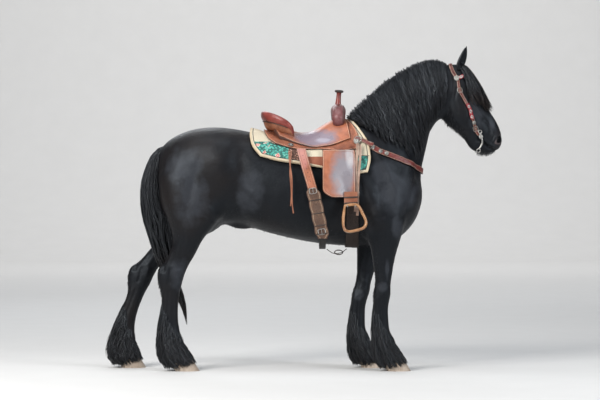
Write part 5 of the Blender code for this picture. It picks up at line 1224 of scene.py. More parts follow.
class SheetMap:  # points and normals of the skin over a table of two shares, read between its entries
    def __init__(self, rows, columns, ray, tree):
        self.rows, self.columns = rows, columns
        points, normals = [], []
        for u in rows:
            for v in columns:
                start, towards = ray(u, v)
                hit, normal = tree.ray_cast(Vector(start + towards * 1.5), Vector(-towards))[:2]
                points.append(start if hit is None else np.array(hit))
                normals.append(towards if hit is None else np.array(normal))
        shape = (len(rows), len(columns), 3)
        self.points = np.array(points).reshape(shape)
        self.normals = unit(self.evened(np.array(normals).reshape(shape)))

    def evened(self, table):  # each entry averaged with its neighbours, three times
        for _ in range(3):
            wide = np.pad(table, ((1, 1), (1, 1), (0, 0)), "edge")
            table = (wide[:-2, 1:-1] + wide[2:, 1:-1] + wide[1:-1, :-2] + wide[1:-1, 2:] + 2 * table) / 6
        return table

    def at(self, u, v, lift):
        i = np.interp(u, self.rows, np.arange(len(self.rows)))
        k = np.interp(v, self.columns, np.arange(len(self.columns)))
        i0 = np.minimum(i.astype(int), len(self.rows) - 2)
        k0 = np.minimum(k.astype(int), len(self.columns) - 2)
        a, b = (i - i0)[..., None], (k - k0)[..., None]
        found = []
        for table in (self.points, self.normals):
            near = table[i0, k0] * (1 - b) + table[i0, k0 + 1] * b
            far = table[i0 + 1, k0] * (1 - b) + table[i0 + 1, k0 + 1] * b
            found.append(near * (1 - a) + far * a)
        return found[0] + found[1] * lift[..., None]


def leaned(beside, paths, lean):  # the strand's flat side, turned a little out of the surface
    return unit(beside) + lean[..., None] * unit(np.cross(beside, np.gradient(paths, axis=1)))


maneLayers = {
    "under": {"count": 2300, "clumps": 44, "width": 0.0110, "thick": 0.0024, "low": 0.004, "high": 0.017, "seed": 3},
    "over": {"count": 2950, "clumps": 72, "width": 0.0058, "thick": 0.0020, "low": 0.010, "high": 0.030, "seed": 5},
    "loose": {"count": 950, "clumps": 160, "width": 0.0030, "thick": 0.0014, "low": 0.014, "high": 0.038, "seed": 6},
}
maneForm = {"rows": 12, "wave": 0.0075, "waves": 4.6, "ripple": 0.0030}
maneCrest = [(row[0], row[1]) for row in neckStations[1:-1]] + [(0.940, 1.954)]


def maneRay(u, v):  # from the crest over the near side: the ray turns from up to sideways as it goes down
    upper, lower = curveAt(maneCrest, u), curveAt(maneEnds, u)
    x, z = upper + (lower - upper) * (0.10 + 0.90 * max(v, 0.0))
    turn = np.clip(v * 3.2, -0.4, 1) * np.pi / 2
    return np.array([x, 0.0, z]), crestUp * np.cos(turn) + np.array([0.0, -1.0, 0.0]) * np.sin(turn)


def buildMane(tree):
    sheet = SheetMap(np.linspace(0, 1, 56), np.linspace(-0.14, 1.16, 60), maneRay, tree)
    for layer, form in maneLayers.items():
        form["rows"] = maneForm["rows"]
        hair = Clumps(form)
        share = hair.share
        start = -0.11 + 0.15 * hair.each() ** 1.5
        length = (0.78 + 0.28 * hair.shared()) * (0.70 + 0.32 * hair.each())
        down = start + (length - start) * share**0.85
        phase = hair.shared() * 2 * np.pi + 0.5 * hair.each()
        pace = 2 * np.pi * maneForm["waves"] * (0.75 + 0.5 * hair.shared())
        wave = maneForm["wave"] * np.sin(pace * down + phase) + maneForm["ripple"] * np.sin(2.7 * pace * down + 2 * phase)
        drift = (hair.shared() - 0.5) * 0.035
        u = hair.centre + hair.offset * (1.2 - 0.85 * share) + wave * np.clip(share * 2.5, 0, 1) + drift * share
        u = np.clip(u, -0.01, 1.01)
        full = np.interp(u, [0, 0.12, 0.30, 0.7, 0.9, 0.96, 1], [1.45, 1.5, 1.1, 1.0, 0.85, 0.55, 0.25])
        rise = form["low"] + (form["high"] - form["low"]) * (0.62 * hair.shared() + 0.38 * hair.each())
        profile = np.interp(down, [-0.12, -0.05, 0.03, 0.15, 0.6, 1.05], [0.4, 0.95, 1.05, 0.95, 0.85, 0.6])
        lift = rise * profile * full + 0.004 * np.sin(down * 17 + phase) * share
        lift[:, 0] = -0.006
        paths = sheet.at(u, down, lift)
        beside = sheet.at(u + 0.02, down, lift) - sheet.at(u - 0.02, down, lift)
        sideways = leaned(beside, paths, (hair.each() - 0.5) * 1.0)
        width = form["width"] * (0.7 + 0.6 * hair.each())
        places = np.column_stack([0.02 + 0.93 * np.clip(u[:, 0], 0, 1), 0.05 + 0.9 * hair.each()[:, 0]])
        addStrands("mane_" + layer, paths, sideways, width, form["thick"], places, maneHair)


tailLayers = {
    "inner": {"count": 1850, "clumps": 30, "width": 0.0105, "thick": 0.0024, "low": 0.15, "high": 0.78, "seed": 8},
    "outer": {"count": 2500, "clumps": 46, "width": 0.0062, "thick": 0.0020, "low": 0.66, "high": 1.06, "seed": 9},
}
tailForm = {"rows": 14, "wave": 0.010, "waves": 4.4}


def tailPoint(share, angle, out):  # about the tail's middle line: half widths across and back by cosine and sine
    row = curveAt(tailStations, share)
    ahead = curveAt(tailStations, np.clip(share + 0.01, 0, 1)) - curveAt(tailStations, np.clip(share - 0.01, 0, 1))
    run = unit(ahead[..., :2])
    back = np.stack([run[..., 1], 0 * run[..., 0], -run[..., 0]], axis=-1)
    spot = np.stack([row[..., 0], 0 * row[..., 0], row[..., 1]], axis=-1)
    side = np.array([0.0, 1.0, 0.0]) * (out * np.cos(angle) * row[..., 3])[..., None]
    return spot + side + back * (out * np.sin(angle) * row[..., 2])[..., None]


def buildTail():
    replaced = ["tail"]
    for layer, form in tailLayers.items():
        form["rows"] = tailForm["rows"]
        hair = Clumps(form)
        share = hair.share
        start = 0.01 + 0.26 * hair.each() ** 1.3
        end = np.minimum((0.60 + 0.40 * hair.shared() ** 1.2) * (0.74 + 0.30 * hair.each()), 1.0)
        down = start + (end - start) * share
        phase = hair.shared() * 2 * np.pi + 0.6 * hair.each()
        turn = 2 * np.pi * (hair.centre + hair.offset * (1.3 - 0.8 * share))
        wave = tailForm["wave"] * np.sin(2 * np.pi * tailForm["waves"] * down + phase) * np.clip(down * 2, 0, 1)
        far = form["low"] + (form["high"] - form["low"]) * (0.5 * hair.shared() + 0.5 * hair.each() ** 0.7)
        reach = far * np.interp(share, [0, 0.12, 0.3, 0.75, 1.0], [0.40, 0.90, 1.0, 1.0, 0.75])
        angle = turn + wave / 0.07
        paths = tailPoint(down, angle, reach + wave * 1.5)
        beside = tailPoint(down, angle + 0.2, reach) - tailPoint(down, angle - 0.2, reach)
        sideways = leaned(beside, paths, hair.each() - 0.5)
        width = form["width"] * (0.7 + 0.6 * hair.each())
        places = np.column_stack([0.02 + 0.93 * (turn[:, 0] / (2 * np.pi)) % 0.95, 0.05 + 3.2 * start[:, 0]])
        addStrands("tail_" + layer, paths, sideways, width, form["thick"], places, tailHair, replaced)
        replaced = ()


forelockForm = {"count": 1650, "clumps": 26, "rows": 12, "width": 0.0052, "thick": 0.0018, "seed": 12, "wave": 0.06}
forelockLine = [(1.020, 1.960), (1.062, 1.945), (1.112, 1.880), (1.160, 1.785), (1.195, 1.705), (1.225, 1.640)]
faceForward = unit(np.array([0.84, 0.0, 0.54]))


def forelockRay(u, v):  # about the face's middle line: u is the angle from straight ahead towards the near side
    x, z = curveAt(forelockLine, v)
    towards = faceForward * np.cos(u) + np.array([0.0, -1.0, 0.0]) * np.sin(u)
    return np.array([x, 0.0, z]) - faceForward * 0.07, towards


def buildForelock(tree):
    sheet = SheetMap(np.radians(np.linspace(-50, 125, 44)), np.linspace(0, 1, 40), forelockRay, tree)
    form = forelockForm
    hair = Clumps(form)
    share = hair.share
    spot = hair.centre + hair.offset
    end = np.radians(-24 + 136 * spot)
    start = np.radians(-35 + 100 * spot)
    u = start + (end - start) * share**0.7
    u = u * (1 - 0.5 * share) + np.radians(-24 + 136 * hair.centre) * 0.5 * share
    longest = np.interp(spot, [0, 0.25, 0.6, 1.0], [0.70, 0.98, 0.98, 0.72]) * (0.70 + 0.30 * hair.each())
    phase = hair.shared() * 2 * np.pi
    u = u + form["wave"] * np.sin(2 * np.pi * 1.8 * share + phase) * share
    down = 0.02 + (longest - 0.02) * share
    rise = 0.006 + np.interp(spot, [0, 0.4, 1.0], [0.024, 0.030, 0.020]) * (0.55 * hair.shared() + 0.45 * hair.each())
    rise = rise * (1 + 0.9 * np.clip(share - 0.55, 0, 1) * hair.each())
    lift = rise * np.interp(share, [0, 0.12, 0.5, 0.8, 1.0], [0.2, 0.9, 1.05, 1.0, 0.9])
    lift[:, 0] = -0.006
    paths = sheet.at(u, down, lift)
    beside = sheet.at(u + 0.1, down, lift) - sheet.at(u - 0.1, down, lift)
    sideways = leaned(beside, paths, (hair.each() - 0.5) * 0.8)
    width = form["width"] * (0.7 + 0.6 * hair.each())
    places = np.column_stack([0.05 + 0.9 * spot[:, 0], 0.05 + 0.9 * hair.each()[:, 0]])
    addStrands("forelock", paths, sideways, width, form["thick"], places, forelockHair)


featherForm = {"count": 2250, "clumps": 64, "rows": 9, "width": 0.0072, "thick": 0.0020, "wave": 0.11, "seed": 20}


def legOutline(table, z, angle, size):  # a point of an oval about the leg at each height
    rows = np.array(table)[::-1]
    middle = (rows[:, 1] + rows[:, 3]) / 2
    xA, xB, half, y = (np.interp(z, middle, rows[:, k]) for k in (0, 2, 4, 5))
    x = (xA + xB) / 2 + size * (xA - xB) / 2 * np.cos(angle)
    return np.stack([x, y + size * half * np.sin(angle), z], axis=-1)


def buildFeather(name):  # long at the back from the knee or hock down, and over the hoof all round
    stations, _, sign, stepBack = legs[name]
    leg = legStations(stations, sign, stepBack)
    cuff = legStations(foreFeatherStations if name.startswith("fore") else hindFeatherStations, sign, stepBack)
    form = dict(featherForm, seed=featherForm["seed"] + list(legs).index(name))
    hair = Clumps(form)
    share = hair.share
    angle = 2 * np.pi * (hair.centre + hair.offset)
    behind = (1 - np.cos(angle)) / 2
    top = 0.125 + (0.13 + 0.20 * behind**1.5) * hair.each() ** 1.25
    length = (0.110 + 0.085 * behind) * (0.6 + 0.5 * hair.each())
    floorLine = 0.040 - 0.033 * np.clip(behind * 1.6, 0, 1)
    low = np.maximum(top - length, floorLine + 0.016 * hair.each())
    z = top + (low - top) * share**0.9
    phase = hair.shared() * 2 * np.pi
    swing = form["wave"] * (np.sin(2 * np.pi * 1.3 * share + phase) + 0.4 * np.sin(2 * np.pi * 3.1 * share + 2 * phase))
    turn = angle - hair.offset * np.pi * share + swing * share
    out = (0.74 + 0.34 * (0.5 * hair.shared() + 0.5 * hair.each())) * np.interp(share, [0, 0.3, 0.7, 1], [0.88, 0.96, 1, 0.97])
    root = legOutline(leg, z, turn, 0.93)
    shell = legOutline(cuff, z, turn, out)
    blend = np.interp(share, [0, 0.35, 1], [0, 0.75, 1])[..., None]
    paths = root * (1 - blend) + shell * blend
    beside = legOutline(cuff, z, turn + 0.1, out) - legOutline(cuff, z, turn - 0.1, out)
    sideways = leaned(beside, paths, (hair.each() - 0.5) * 0.9)
    width = form["width"] * (0.6 + 0.7 * hair.each())
    places = np.column_stack([0.02 + 0.94 * (angle[:, 0] / (2 * np.pi)) % 0.94, np.clip(0.05 + 2.0 * top[:, 0], 0, 0.95)])
    addStrands("feather_" + name, paths, sideways, width, form["thick"], places, featherHair)


tuftForm = {"rows": 4, "width": 0.0026, "thick": 0.0010, "seed": 40}
tuftZones = [  # place in the side view, reach round it, length, how many, and the way its skin must look
    (1.180, 1.392, 0.060, 0.022, 260, (0.1, -1.0)),
    (1.000, 1.560, 0.090, 0.014, 260, (-0.3, -1.0)),
    (0.930, 1.620, 0.060, 0.016, 160, (-1.0, -0.6)),
    (0.780, 1.250, 0.110, 0.015, 240, (1.0, -0.2)),
    (0.400, 0.880, 0.100, 0.012, 220, (-0.6, -0.8)),
    (0.050, 0.820, 0.300, 0.009, 380, (0.0, -1.0)),
    (-0.360, 0.890, 0.180, 0.009, 320, (0.0, -1.0)),
    (-0.880, 0.980, 0.170, 0.012, 240, (-1.0, 0.0)),
]
legTufts = [  # height, reach, length and how many, on the back of every leg
    (0.50, 0.07, 0.020, 130),
    (0.60, 0.06, 0.013, 70),
    (0.72, 0.08, 0.011, 60),
]


def buildTufts(piece):  # short hairs where the coat breaks the form: chin, jaw, chest, belly, elbows, backs of legs
    points, normals = pointsOf(piece), normalsOf(piece)
    chance = np.random.default_rng(tuftForm["seed"])
    roots, looks, lengths = [], [], []
    zones = [(x, z, reach, length, count, way, 0) for x, z, reach, length, count, way in tuftZones]
    for stations, _, sign, stepBack in legs.values():
        rows = np.array(legStations(stations, sign, stepBack))[::-1]
        for z, reach, length, count in legTufts:
            zones.append((np.interp(z, rows[:, 3], rows[:, 2]), z, reach, length, count, (-1.0, -0.2), sign))
    for x, z, reach, length, count, way, sign in zones:
        far = np.hypot(points[:, 0] - x, points[:, 2] - z)
        facing = normals[:, (0, 2)] @ unit(np.array(way))
        found = np.flatnonzero((far < reach) & (facing > 0.55) & ((points[:, 1] * sign > 0) | (sign == 0)))
        if len(found) == 0:
            continue
        chosen = chance.choice(found, count)
        roots.append(points[chosen])
        looks.append(normals[chosen])
        lengths.append(np.full(count, length) * (0.5 + 0.7 * chance.random(count)))
    root, look, length = np.vstack(roots), np.vstack(looks), np.concatenate(lengths)
    count = len(root)
    lie = np.array([-0.30, 0.0, -0.95]) + 0.35 * (chance.random((count, 3)) - 0.5)
    lie = unit(lie - look * (lie * look).sum(axis=-1, keepdims=True) * 0.8 + look * 0.28)
    share = np.linspace(0, 1, tuftForm["rows"])[None, :, None]
    drop = np.array([0, 0, -0.25]) * share**2
    paths = root[:, None] - look[:, None] * 0.002 + length[:, None, None] * (lie[:, None] * share + drop)
    beside = np.cross(lie, look)[:, None] + 0 * paths
    width = tuftForm["width"] * (0.6 + 0.8 * chance.random(count))[:, None]
    half = np.where(root[:, 1] > 0, 0.5, 0.0)
    places = np.column_stack([0.02 + half + 0.46 * (root[:, 0] + 1.3) / 2.6, 0.02 + 0.95 * root[:, 2] / 2.1])
    addStrands("coat_tufts", paths, beside, width, tuftForm["thick"], places, featherHair)


print("growing the long hair")
buildMane(fineTree)
buildTail()
buildForelock(fineTree)
for name in legs:
    buildFeather(name)
buildTufts(skin)
# ---- the saddle and its pad, laid over the back by a map of the trunk

padForm = {
    "rear": [(0, -0.335), (0.5, -0.335), (0.75, -0.325), (0.9, -0.300), (1, -0.255)],
    "front": [(0, 0.320), (0.35, 0.365), (0.65, 0.425), (0.9, 0.440), (1, 0.405)],
    "lower": [(0, 1.355), (0.12, 1.325), (0.5, 1.287), (0.9, 1.238), (1, 1.256)],
    "lift": 0.009,
    "thickness": 0.020,
}
skirtForm = {
    "rear": [(0, -0.255), (0.5, -0.250), (0.85, -0.225), (1, -0.17)],
    "front": [(0, 0.300), (0.4, 0.335), (0.8, 0.370), (1, 0.345)],
    "lower": [(0, 1.450), (0.12, 1.425), (0.3, 1.402), (0.62, 1.392), (0.82, 1.372), (1, 1.395)],
    "lift": 0.034,
    "thickness": 0.006,
}
seatForm = {
    "rear": [(0, -0.205), (0.5, -0.200), (0.8, -0.180), (1, -0.150)],
    "front": [(0, 0.290), (0.5, 0.305), (0.8, 0.315), (1, 0.315)],
    "lower": [(0, 1.435), (0.25, 1.400), (0.5, 1.378), (0.75, 1.400), (1, 1.455)],
    "lift": 0.0435,
}
seatRise = [
    (-0.205, 0.072),
    (-0.170, 0.056),
    (-0.120, 0.040),
    (-0.050, 0.024),
    (0.020, 0.018),
    (0.080, 0.022),
    (0.170, 0.040),
    (0.230, 0.030),
    (0.300, 0.004),
]
cantleForm = {"frontX": -0.055, "run": 0.177, "lowZ": 1.500, "rise": 0.090, "halfY": 0.172, "swing": 100}
swellForm = {"x": 0.232, "z": 1.592, "rise": 0.062, "halfY": 0.118, "swing": 115, "radius": 0.045}
fenderForm = {
    "topZ": 1.400,
    "lowZ": 1.100,
    "rearX": 0.128,
    "frontX": 0.335,
    "lift": 0.052,
    "thickness": 0.005,
}
stirrupOutline = [
    (0.268, 1.046),
    (0.259, 0.975),
    (0.262, 0.910),
    (0.287, 0.886),
    (0.340, 0.893),
    (0.388, 0.912),
    (0.400, 0.948),
    (0.376, 1.004),
    (0.350, 1.048),
    (0.308, 1.054),
]
stirrupY = 0.332


def trunkRay(x, angle):  # from the middle of the barrel out at an angle from straight up
    return np.array([x, 0.0, 1.15]), np.array([0.0, np.sin(angle), np.cos(angle)])


class Trunk:  # the point of the skin at each place along the horse and distance round from its spine
    def __init__(self, tree):
        self.along = np.arange(-0.46, 0.60, 0.02)
        self.around = np.arange(0.0, 0.98, 0.02)
        hits = SheetMap(self.along, np.radians(np.arange(0, 181, 3)), trunkRay, tree).points
        steps = np.linalg.norm(np.diff(hits, axis=1), axis=-1)
        reach = np.concatenate([np.zeros((len(hits), 1)), np.cumsum(steps, axis=1)], axis=1)
        rows = [[np.interp(self.around, r, h[:, k]) for k in (1, 2)] for r, h in zip(reach, hits)]
        self.table = np.array(rows)

    def spots(self, x, reach):  # a negative reach lies on the right side
        x, reach = np.broadcast_arrays(np.asarray(x, float), np.asarray(reach, float))
        i = np.clip((x - self.along[0]) / 0.02, 0, len(self.along) - 1.001)
        k = np.clip(np.abs(reach) / 0.02, 0, len(self.around) - 1.001)
        i0, k0 = i.astype(int), k.astype(int)
        a, b = i - i0, k - k0
        found = []
        for part in (0, 1):
            table = self.table[:, part]
            near = table[i0, k0] * (1 - b) + table[i0, k0 + 1] * b
            found.append(near * (1 - a) + (table[i0 + 1, k0] * (1 - b) + table[i0 + 1, k0 + 1] * b) * a)
        return np.stack([x, found[0] * np.sign(reach + 1e-9), found[1]], axis=-1)

    def lifted(self, x, reach, lift):  # off the skin along its own normal
        run = self.spots(np.asarray(x) + 0.02, reach) - self.spots(np.asarray(x) - 0.02, reach)
        side = self.spots(x, np.asarray(reach) + 0.02) - self.spots(x, np.asarray(reach) - 0.02)
        return self.spots(x, reach) + unit(np.cross(run, side)) * np.asarray(lift)[..., None]

    def reachAt(self, x, z):  # how far round the skin comes down to a height
        reaches = np.arange(0.0, 0.62, 0.01)
        return float(np.interp(-z, -self.spots(x, reaches)[:, 2], reaches))

    def sideAt(self, x, heights, lift, tuck=0.0):  # straight down below the widest part, or tucked in by a share
        reaches = np.arange(0.0, 0.62, 0.01)
        outs = []
        for z, up in zip(heights, np.broadcast_to(lift, len(heights))):
            spots = self.lifted(np.full_like(reaches, x), reaches, up)
            outs.append(np.interp(-z, -spots[:, 2], spots[:, 1]))
        return np.array(outs) * tuck + np.maximum.accumulate(outs) * (1 - tuck)


def smoothAt(table, at):  # straight lines through a table's pairs, rounded by the mean over a short run
    table = np.array(table, float)
    run = 0.07 * (table[-1, 0] - table[0, 0])
    return sum(np.interp(np.asarray(at) + run * k / 3, *table.T) for k in range(-3, 4)) / 7


def edgeMap(points):  # for each point of a grid: the length round its rim to the nearest rim point, and how far
    rows, columns = points.shape[:2]
    rim = np.concatenate([points[0], points[1:, -1], points[-1, -2::-1], points[-2:0:-1, 0]])
    rim = np.roll(rim, -(columns + rows - 1 + columns // 2), axis=0)
    after = np.roll(rim, -1, axis=0)
    parts = np.linspace(0, 1, 8, endpoint=False)[None, :, None]
    fine = (rim[:, None] * (1 - parts) + after[:, None] * parts).reshape(-1, 3)
    lengths = np.concatenate([[0], np.cumsum(np.linalg.norm(np.diff(fine, axis=0), axis=1))])
    found = []
    for row in points:
        far = np.linalg.norm(row[:, None] - fine[None], axis=-1)
        found.append(np.column_stack([lengths[far.argmin(axis=1)], far.min(axis=1)]))
    return np.array(found)


def roundEdges(piece, width, segments=3, angle=45):
    bevel = piece.modifiers.new("edge", "BEVEL")
    bevel.width = width
    bevel.segments = segments
    bevel.limit_method = "ANGLE"
    bevel.angle_limit = np.radians(angle)
    applyModifiers(piece)
    piece.data.shade_smooth()


def addCover(name, inner, outer, material, replaced, edge):  # a slab with a rim map and rounded edges
    piece = addPiece(name, slab(inner, outer), material, replaced)
    rim = edgeMap(outer).reshape(-1, 2)
    addUv(piece, "rim", np.vstack([rim * (1, -1), rim]))
    roundEdges(piece, edge)
    return piece


def coverGrids(trunk, form, thickness, counts, rise=None):  # x by share forwards, reach by share down each side
    share = np.linspace(0, 1, counts[0])[:, None]
    down = np.linspace(-1, 1, counts[1])[None, :]
    rear, front = smoothAt(form["rear"], np.abs(down)), smoothAt(form["front"], np.abs(down))
    x = rear + (front - rear) * share
    lows = smoothAt(form["lower"], share[:, 0])
    limits = np.array([trunk.reachAt(edge, low) for edge, low in zip(x[:, -1], lows)])
    reach = limits[:, None] * down
    lift = np.full_like(x, form["lift"])
    outer = trunk.lifted(x, reach, lift + thickness)
    if rise:
        outer[..., 2] += rise(x, reach)
    return trunk.lifted(x, reach, lift), outer


def wovenFinish():  # ribbed cream wool, with a turquoise panel of stepped motifs in each lower corner
    wool = Finish("wovenWool", (0.70, 0.62, 0.46), 0.92)
    x, y, z = wool.axes()
    along, far = wool.strand("rim")
    step = 0.0034
    column, row = (along / step).maths("FLOOR", along / step) * step, (far / step).maths("FLOOR", far / step) * step
    fibre = wool.noise(wool.place((1, 1, 1)), 320.0, 3.0)
    slow = wool.noise(wool.place((1, 1, 1)), 18.0, 3.0)
    across = abs((column / 0.094).cycle() - 0.5) * 3.0
    height = abs((row / 0.058).cycle() - 0.5) * 2.0
    few = wool.noise(wool.vector((along / 0.094).maths("FLOOR", along / 0.094) * 3.7, (far / 0.058).maths("FLOOR", far / 0.058)), 1.0, 0.0)
    motif = across * 1.25 + height * 1.1 + few.ramped(0.50, 0.52)
    cross = ((across < 0.16) * (height < 0.70) + (height < 0.14) * (across < 0.62)).clamped()
    leaf = wool.cells(wool.place((1, 1, 1)), 68.0)
    cream = wool.mix(fibre, (0.52, 0.44, 0.30), (0.82, 0.75, 0.60))
    ground = wool.mix(slow.ramped(0.3, 0.7), (0.050, 0.33, 0.27), (0.14, 0.56, 0.46))
    band = wool.mix(leaf.ramped(0.50, 0.58), ground, (0.035, 0.135, 0.115))
    band = wool.mix(1.0 - leaf.ramped(0.10, 0.16), band, (0.55, 0.62, 0.48))
    band = wool.mix(motif < 0.78, band, (0.80, 0.72, 0.58))
    band = wool.mix(motif < 0.60, band, (0.60, 0.13, 0.13))
    band = wool.mix(motif < 0.26, band, (0.85, 0.52, 0.46))
    band = wool.mix(cross * (motif > 0.78) * (few < 0.5), band, (0.50, 0.10, 0.10))
    rear = (x < -0.020) * (z < 1.452)
    front = (x > 0.352) * (z < 1.362)
    field = (rear + front).clamped() * (far > 0.017) * (far < 0.125)
    mixed = wool.mix((x > -0.085) * (x < 0.0), band, wool.mix(leaf.ramped(0.28, 0.36), (0.52, 0.30, 0.22), (0.12, 0.06, 0.045)))
    frame = (abs(far - 0.0175) < 0.0022) + rear * (abs(far - 0.125) < 0.0024) + (abs(z - 1.362) < 0.0022) * (x > 0.352)
    body = wool.mix(field, cream, mixed)
    patch = (x > 0.028) * (x < 0.150) * (z < 1.356) * (far > 0.004)
    tan = wool.mix(slow, (0.22, 0.065, 0.035), (0.40, 0.14, 0.08))
    body = wool.mix(patch, body, tan)
    body = wool.mix((frame * (1.0 - patch)).clamped(), body, (0.035, 0.020, 0.016))
    soil = wool.mix(slow, (0.50, 0.36, 0.21), (0.78, 0.68, 0.50))
    body = wool.mix(far < 0.009, body, soil)
    under = wool.mix(fibre, (0.006, 0.005, 0.005), (0.018, 0.015, 0.014))
    wool.color(wool.mix(far < -0.0005, body, under))
    ribs = (far * 1500.0).sine() * 0.5 + (along * 1300.0).sine() * 0.3
    wool.rough(0.85 + fibre * 0.12)
    wool.bumped(ribs + fibre - frame.clamped() * 1.5, 0.0016, 0.9)
    return wool.material


def stitchedFinish(name, light, dark, roughness, wear, edge, tooled=0.0, uvName="rim", glarePatches=(), behind=9.0):
    # leather with a burnished edge, a row of cream stitches and a pressed line at set distances from the rim;
    # the glare patches are side-view ovals painted with a pale highlight colour and made a little smoother, and behind
    # limits the stamped flowers to the rear of a place
    leather = Finish(name, light, roughness, Specular_IOR_Level=0.5)
    x, y, z = leather.axes()
    along, far = leather.strand(uvName)
    where = leather.place((1, 1, 1))
    mottle = leather.noise(where, 14.0, 5.0)
    stains = leather.noise(where, 3.2, 3.0)
    fine = leather.noise(where, 42.0, 4.0)
    pebble = leather.cells(where, 850.0)
    base = leather.mix((mottle * 0.6 + fine * 0.4).ramped(0.36, 0.64), dark, light)
    base = leather.mix(stains.ramped(0.50, 0.74) * 0.6, base, wear)
    height = pebble * 0.2
    if tooled:
        inside = (far > edge * 2.2) * (x < behind)
        petals = leather.cells(where, 74.0)
        cut = (petals * 26.0).sine().ramped(-0.2, 0.5)
        base = leather.mix((1.0 - cut) * 0.8 * inside, base, dark)
        height = height + cut * tooled * inside
    shine = 0.0
    # painted highlight: each oval mixes its pale highlight colour into the leather and lowers the roughness
    for centre, halves, color, strength in glarePatches:
        ratio = ((x - centre[0]) / halves[0]) ** 2.0 + ((z - centre[1]) / halves[1]) ** 2.0
        mask = (1.0 - (ratio + (mottle - 0.5) * 1.6).ramped(0.35, 1.25)) * strength
        base = leather.mix(mask, base, color)
        shine = mask * 0.10 + shine
    stitch = (abs(far - edge) < 0.0009) * ((along * 150.0).cycle() < 0.62)
    line = (abs(far - edge * 1.9) < 0.0011) * 1.0
    burnt = 1.0 - far.ramped(0.0, 0.005)
    base = leather.mix(burnt * 0.9, base, (0.030, 0.012, 0.009))
    base = leather.mix(line * 0.7, base, dark)
    leather.color(leather.mix(stitch, base, (0.62, 0.50, 0.36)))
    leather.rough(roughness - 0.08 + mottle * 0.2 - shine)
    leather.bumped(height + stitch * 0.8 - line * 0.9, 0.0012, 0.8)
    return leather.material


skirtLeather = stitchedFinish(
    "skirtLeather", (0.50, 0.165, 0.075), (0.15, 0.040, 0.018), 0.42, (0.54, 0.25, 0.16), 0.006, tooled=0.8
)
# painted highlights: a blue-grey and a pale lilac oval on the seat
paintedSeatGlare = [((0.090, 1.475), (0.140, 0.062), (0.155, 0.145, 0.195), 0.85), ((0.125, 1.460), (0.050, 0.016), (0.32, 0.30, 0.36), 0.6)]
seatLeather = stitchedFinish(
    "seatLeather", (0.43, 0.135, 0.060), (0.23, 0.066, 0.028), 0.36, (0.40, 0.17, 0.115), 0.006,
    tooled=0.8, glarePatches=paintedSeatGlare, behind=-0.015,
)
# painted highlights: a broad grey oval and a paler small one on the fender
paintedFenderGlare = [((0.258, 1.250), (0.085, 0.150), (0.21, 0.21, 0.24), 0.90), ((0.300, 1.350), (0.030, 0.070), (0.46, 0.46, 0.48), 0.7)]
fenderLeather = stitchedFinish(
    "fenderLeather", (0.41, 0.142, 0.070), (0.25, 0.076, 0.036), 0.36, (0.40, 0.20, 0.15), 0.007, glarePatches=paintedFenderGlare
)
# painted highlight: a pale pink oval at the billet's top
paintedBilletGlare = [((0.000, 1.370), (0.040, 0.110), (0.46, 0.20, 0.18), 0.6)]
billetLeather = stitchedFinish(
    "billetLeather", (0.42, 0.150, 0.078), (0.22, 0.068, 0.034), 0.38, (0.46, 0.24, 0.18), 0.007, glarePatches=paintedBilletGlare
)
shieldLeather = stitchedFinish(
    "shieldLeather", (0.150, 0.078, 0.046), (0.045, 0.021, 0.014), 0.42, (0.24, 0.145, 0.095), 0.010, tooled=0.8
)
paleLeather = stitchedFinish("paleLeather", (0.42, 0.33, 0.28), (0.20, 0.13, 0.10), 0.45, (0.52, 0.46, 0.42), 0.004)
oxbloodLeather = stitchedFinish(
    "oxbloodLeather", (0.26, 0.028, 0.018), (0.065, 0.009, 0.007), 0.36, (0.30, 0.07, 0.06), 0.0035, tooled=0.4
)
rollLeather = leatherFinish("rollLeather", (0.25, 0.030, 0.018), (0.080, 0.011, 0.008), 0.30, (0.36, 0.11, 0.10))
swellLeather = leatherFinish("swellLeather", (0.17, 0.026, 0.018), (0.048, 0.008, 0.006), 0.30, (0.30, 0.13, 0.14), tooled=0.6)
wovenWool = wovenFinish()

def cinchFinish():  # twisted mohair cord
    wool = Finish("cinchWool", (0.045, 0.030, 0.024), 0.9)
    twist = wool.noise(wool.place((160, 160, 160), (0.6, 0.2, 0.5)), 1.0, 3.0)
    wool.color(wool.mix(twist.ramped(0.3, 0.7), (0.010, 0.006, 0.005), (0.045, 0.030, 0.024)))
    wool.bumped(twist, 0.002, 1.0)
    return wool.material


cinchWool = cinchFinish()


padSize = {"counts": (64, 132), "ripple": 0.0012}
saddleSize = {"skirtCounts": (54, 96), "seatCounts": (60, 84)}


def buildPad(trunk):
    inner, outer = coverGrids(trunk, padForm, padForm["thickness"], padSize["counts"])
    ripple = np.sin(outer[..., :1] * 46) * np.cos(outer[..., 2:] * 39) * padSize["ripple"]
    outer = outer + unit(outer - inner) * ripple
    pad = addCover("woven_pad", inner, outer, wovenWool, ["saddle_pad"], 0.006)


def seatHeight(x, reach):  # the tree's rise along the middle, fading to each side
    return smoothAt(seatRise, x) * np.exp(-((np.abs(reach) / 0.15) ** 4))


def buildLeathers(trunk):
    drops = [0.034, 0.034, 0.030, 0.012, 0.0, 0.0]
    skirtForm["lower"] = [(share, low - drop) for (share, low), drop in zip(skirtForm["lower"], drops)]
    inner, outer = coverGrids(trunk, skirtForm, skirtForm["thickness"], saddleSize["skirtCounts"])
    addCover("skirt_leather", inner, outer, skirtLeather, ["saddle_skirt"], 0.002)
    inner, outer = coverGrids(trunk, seatForm, 0.006, saddleSize["seatCounts"], seatHeight)
    addCover("seat_leather", inner, outer, seatLeather, ["saddle_seat"], 0.002)


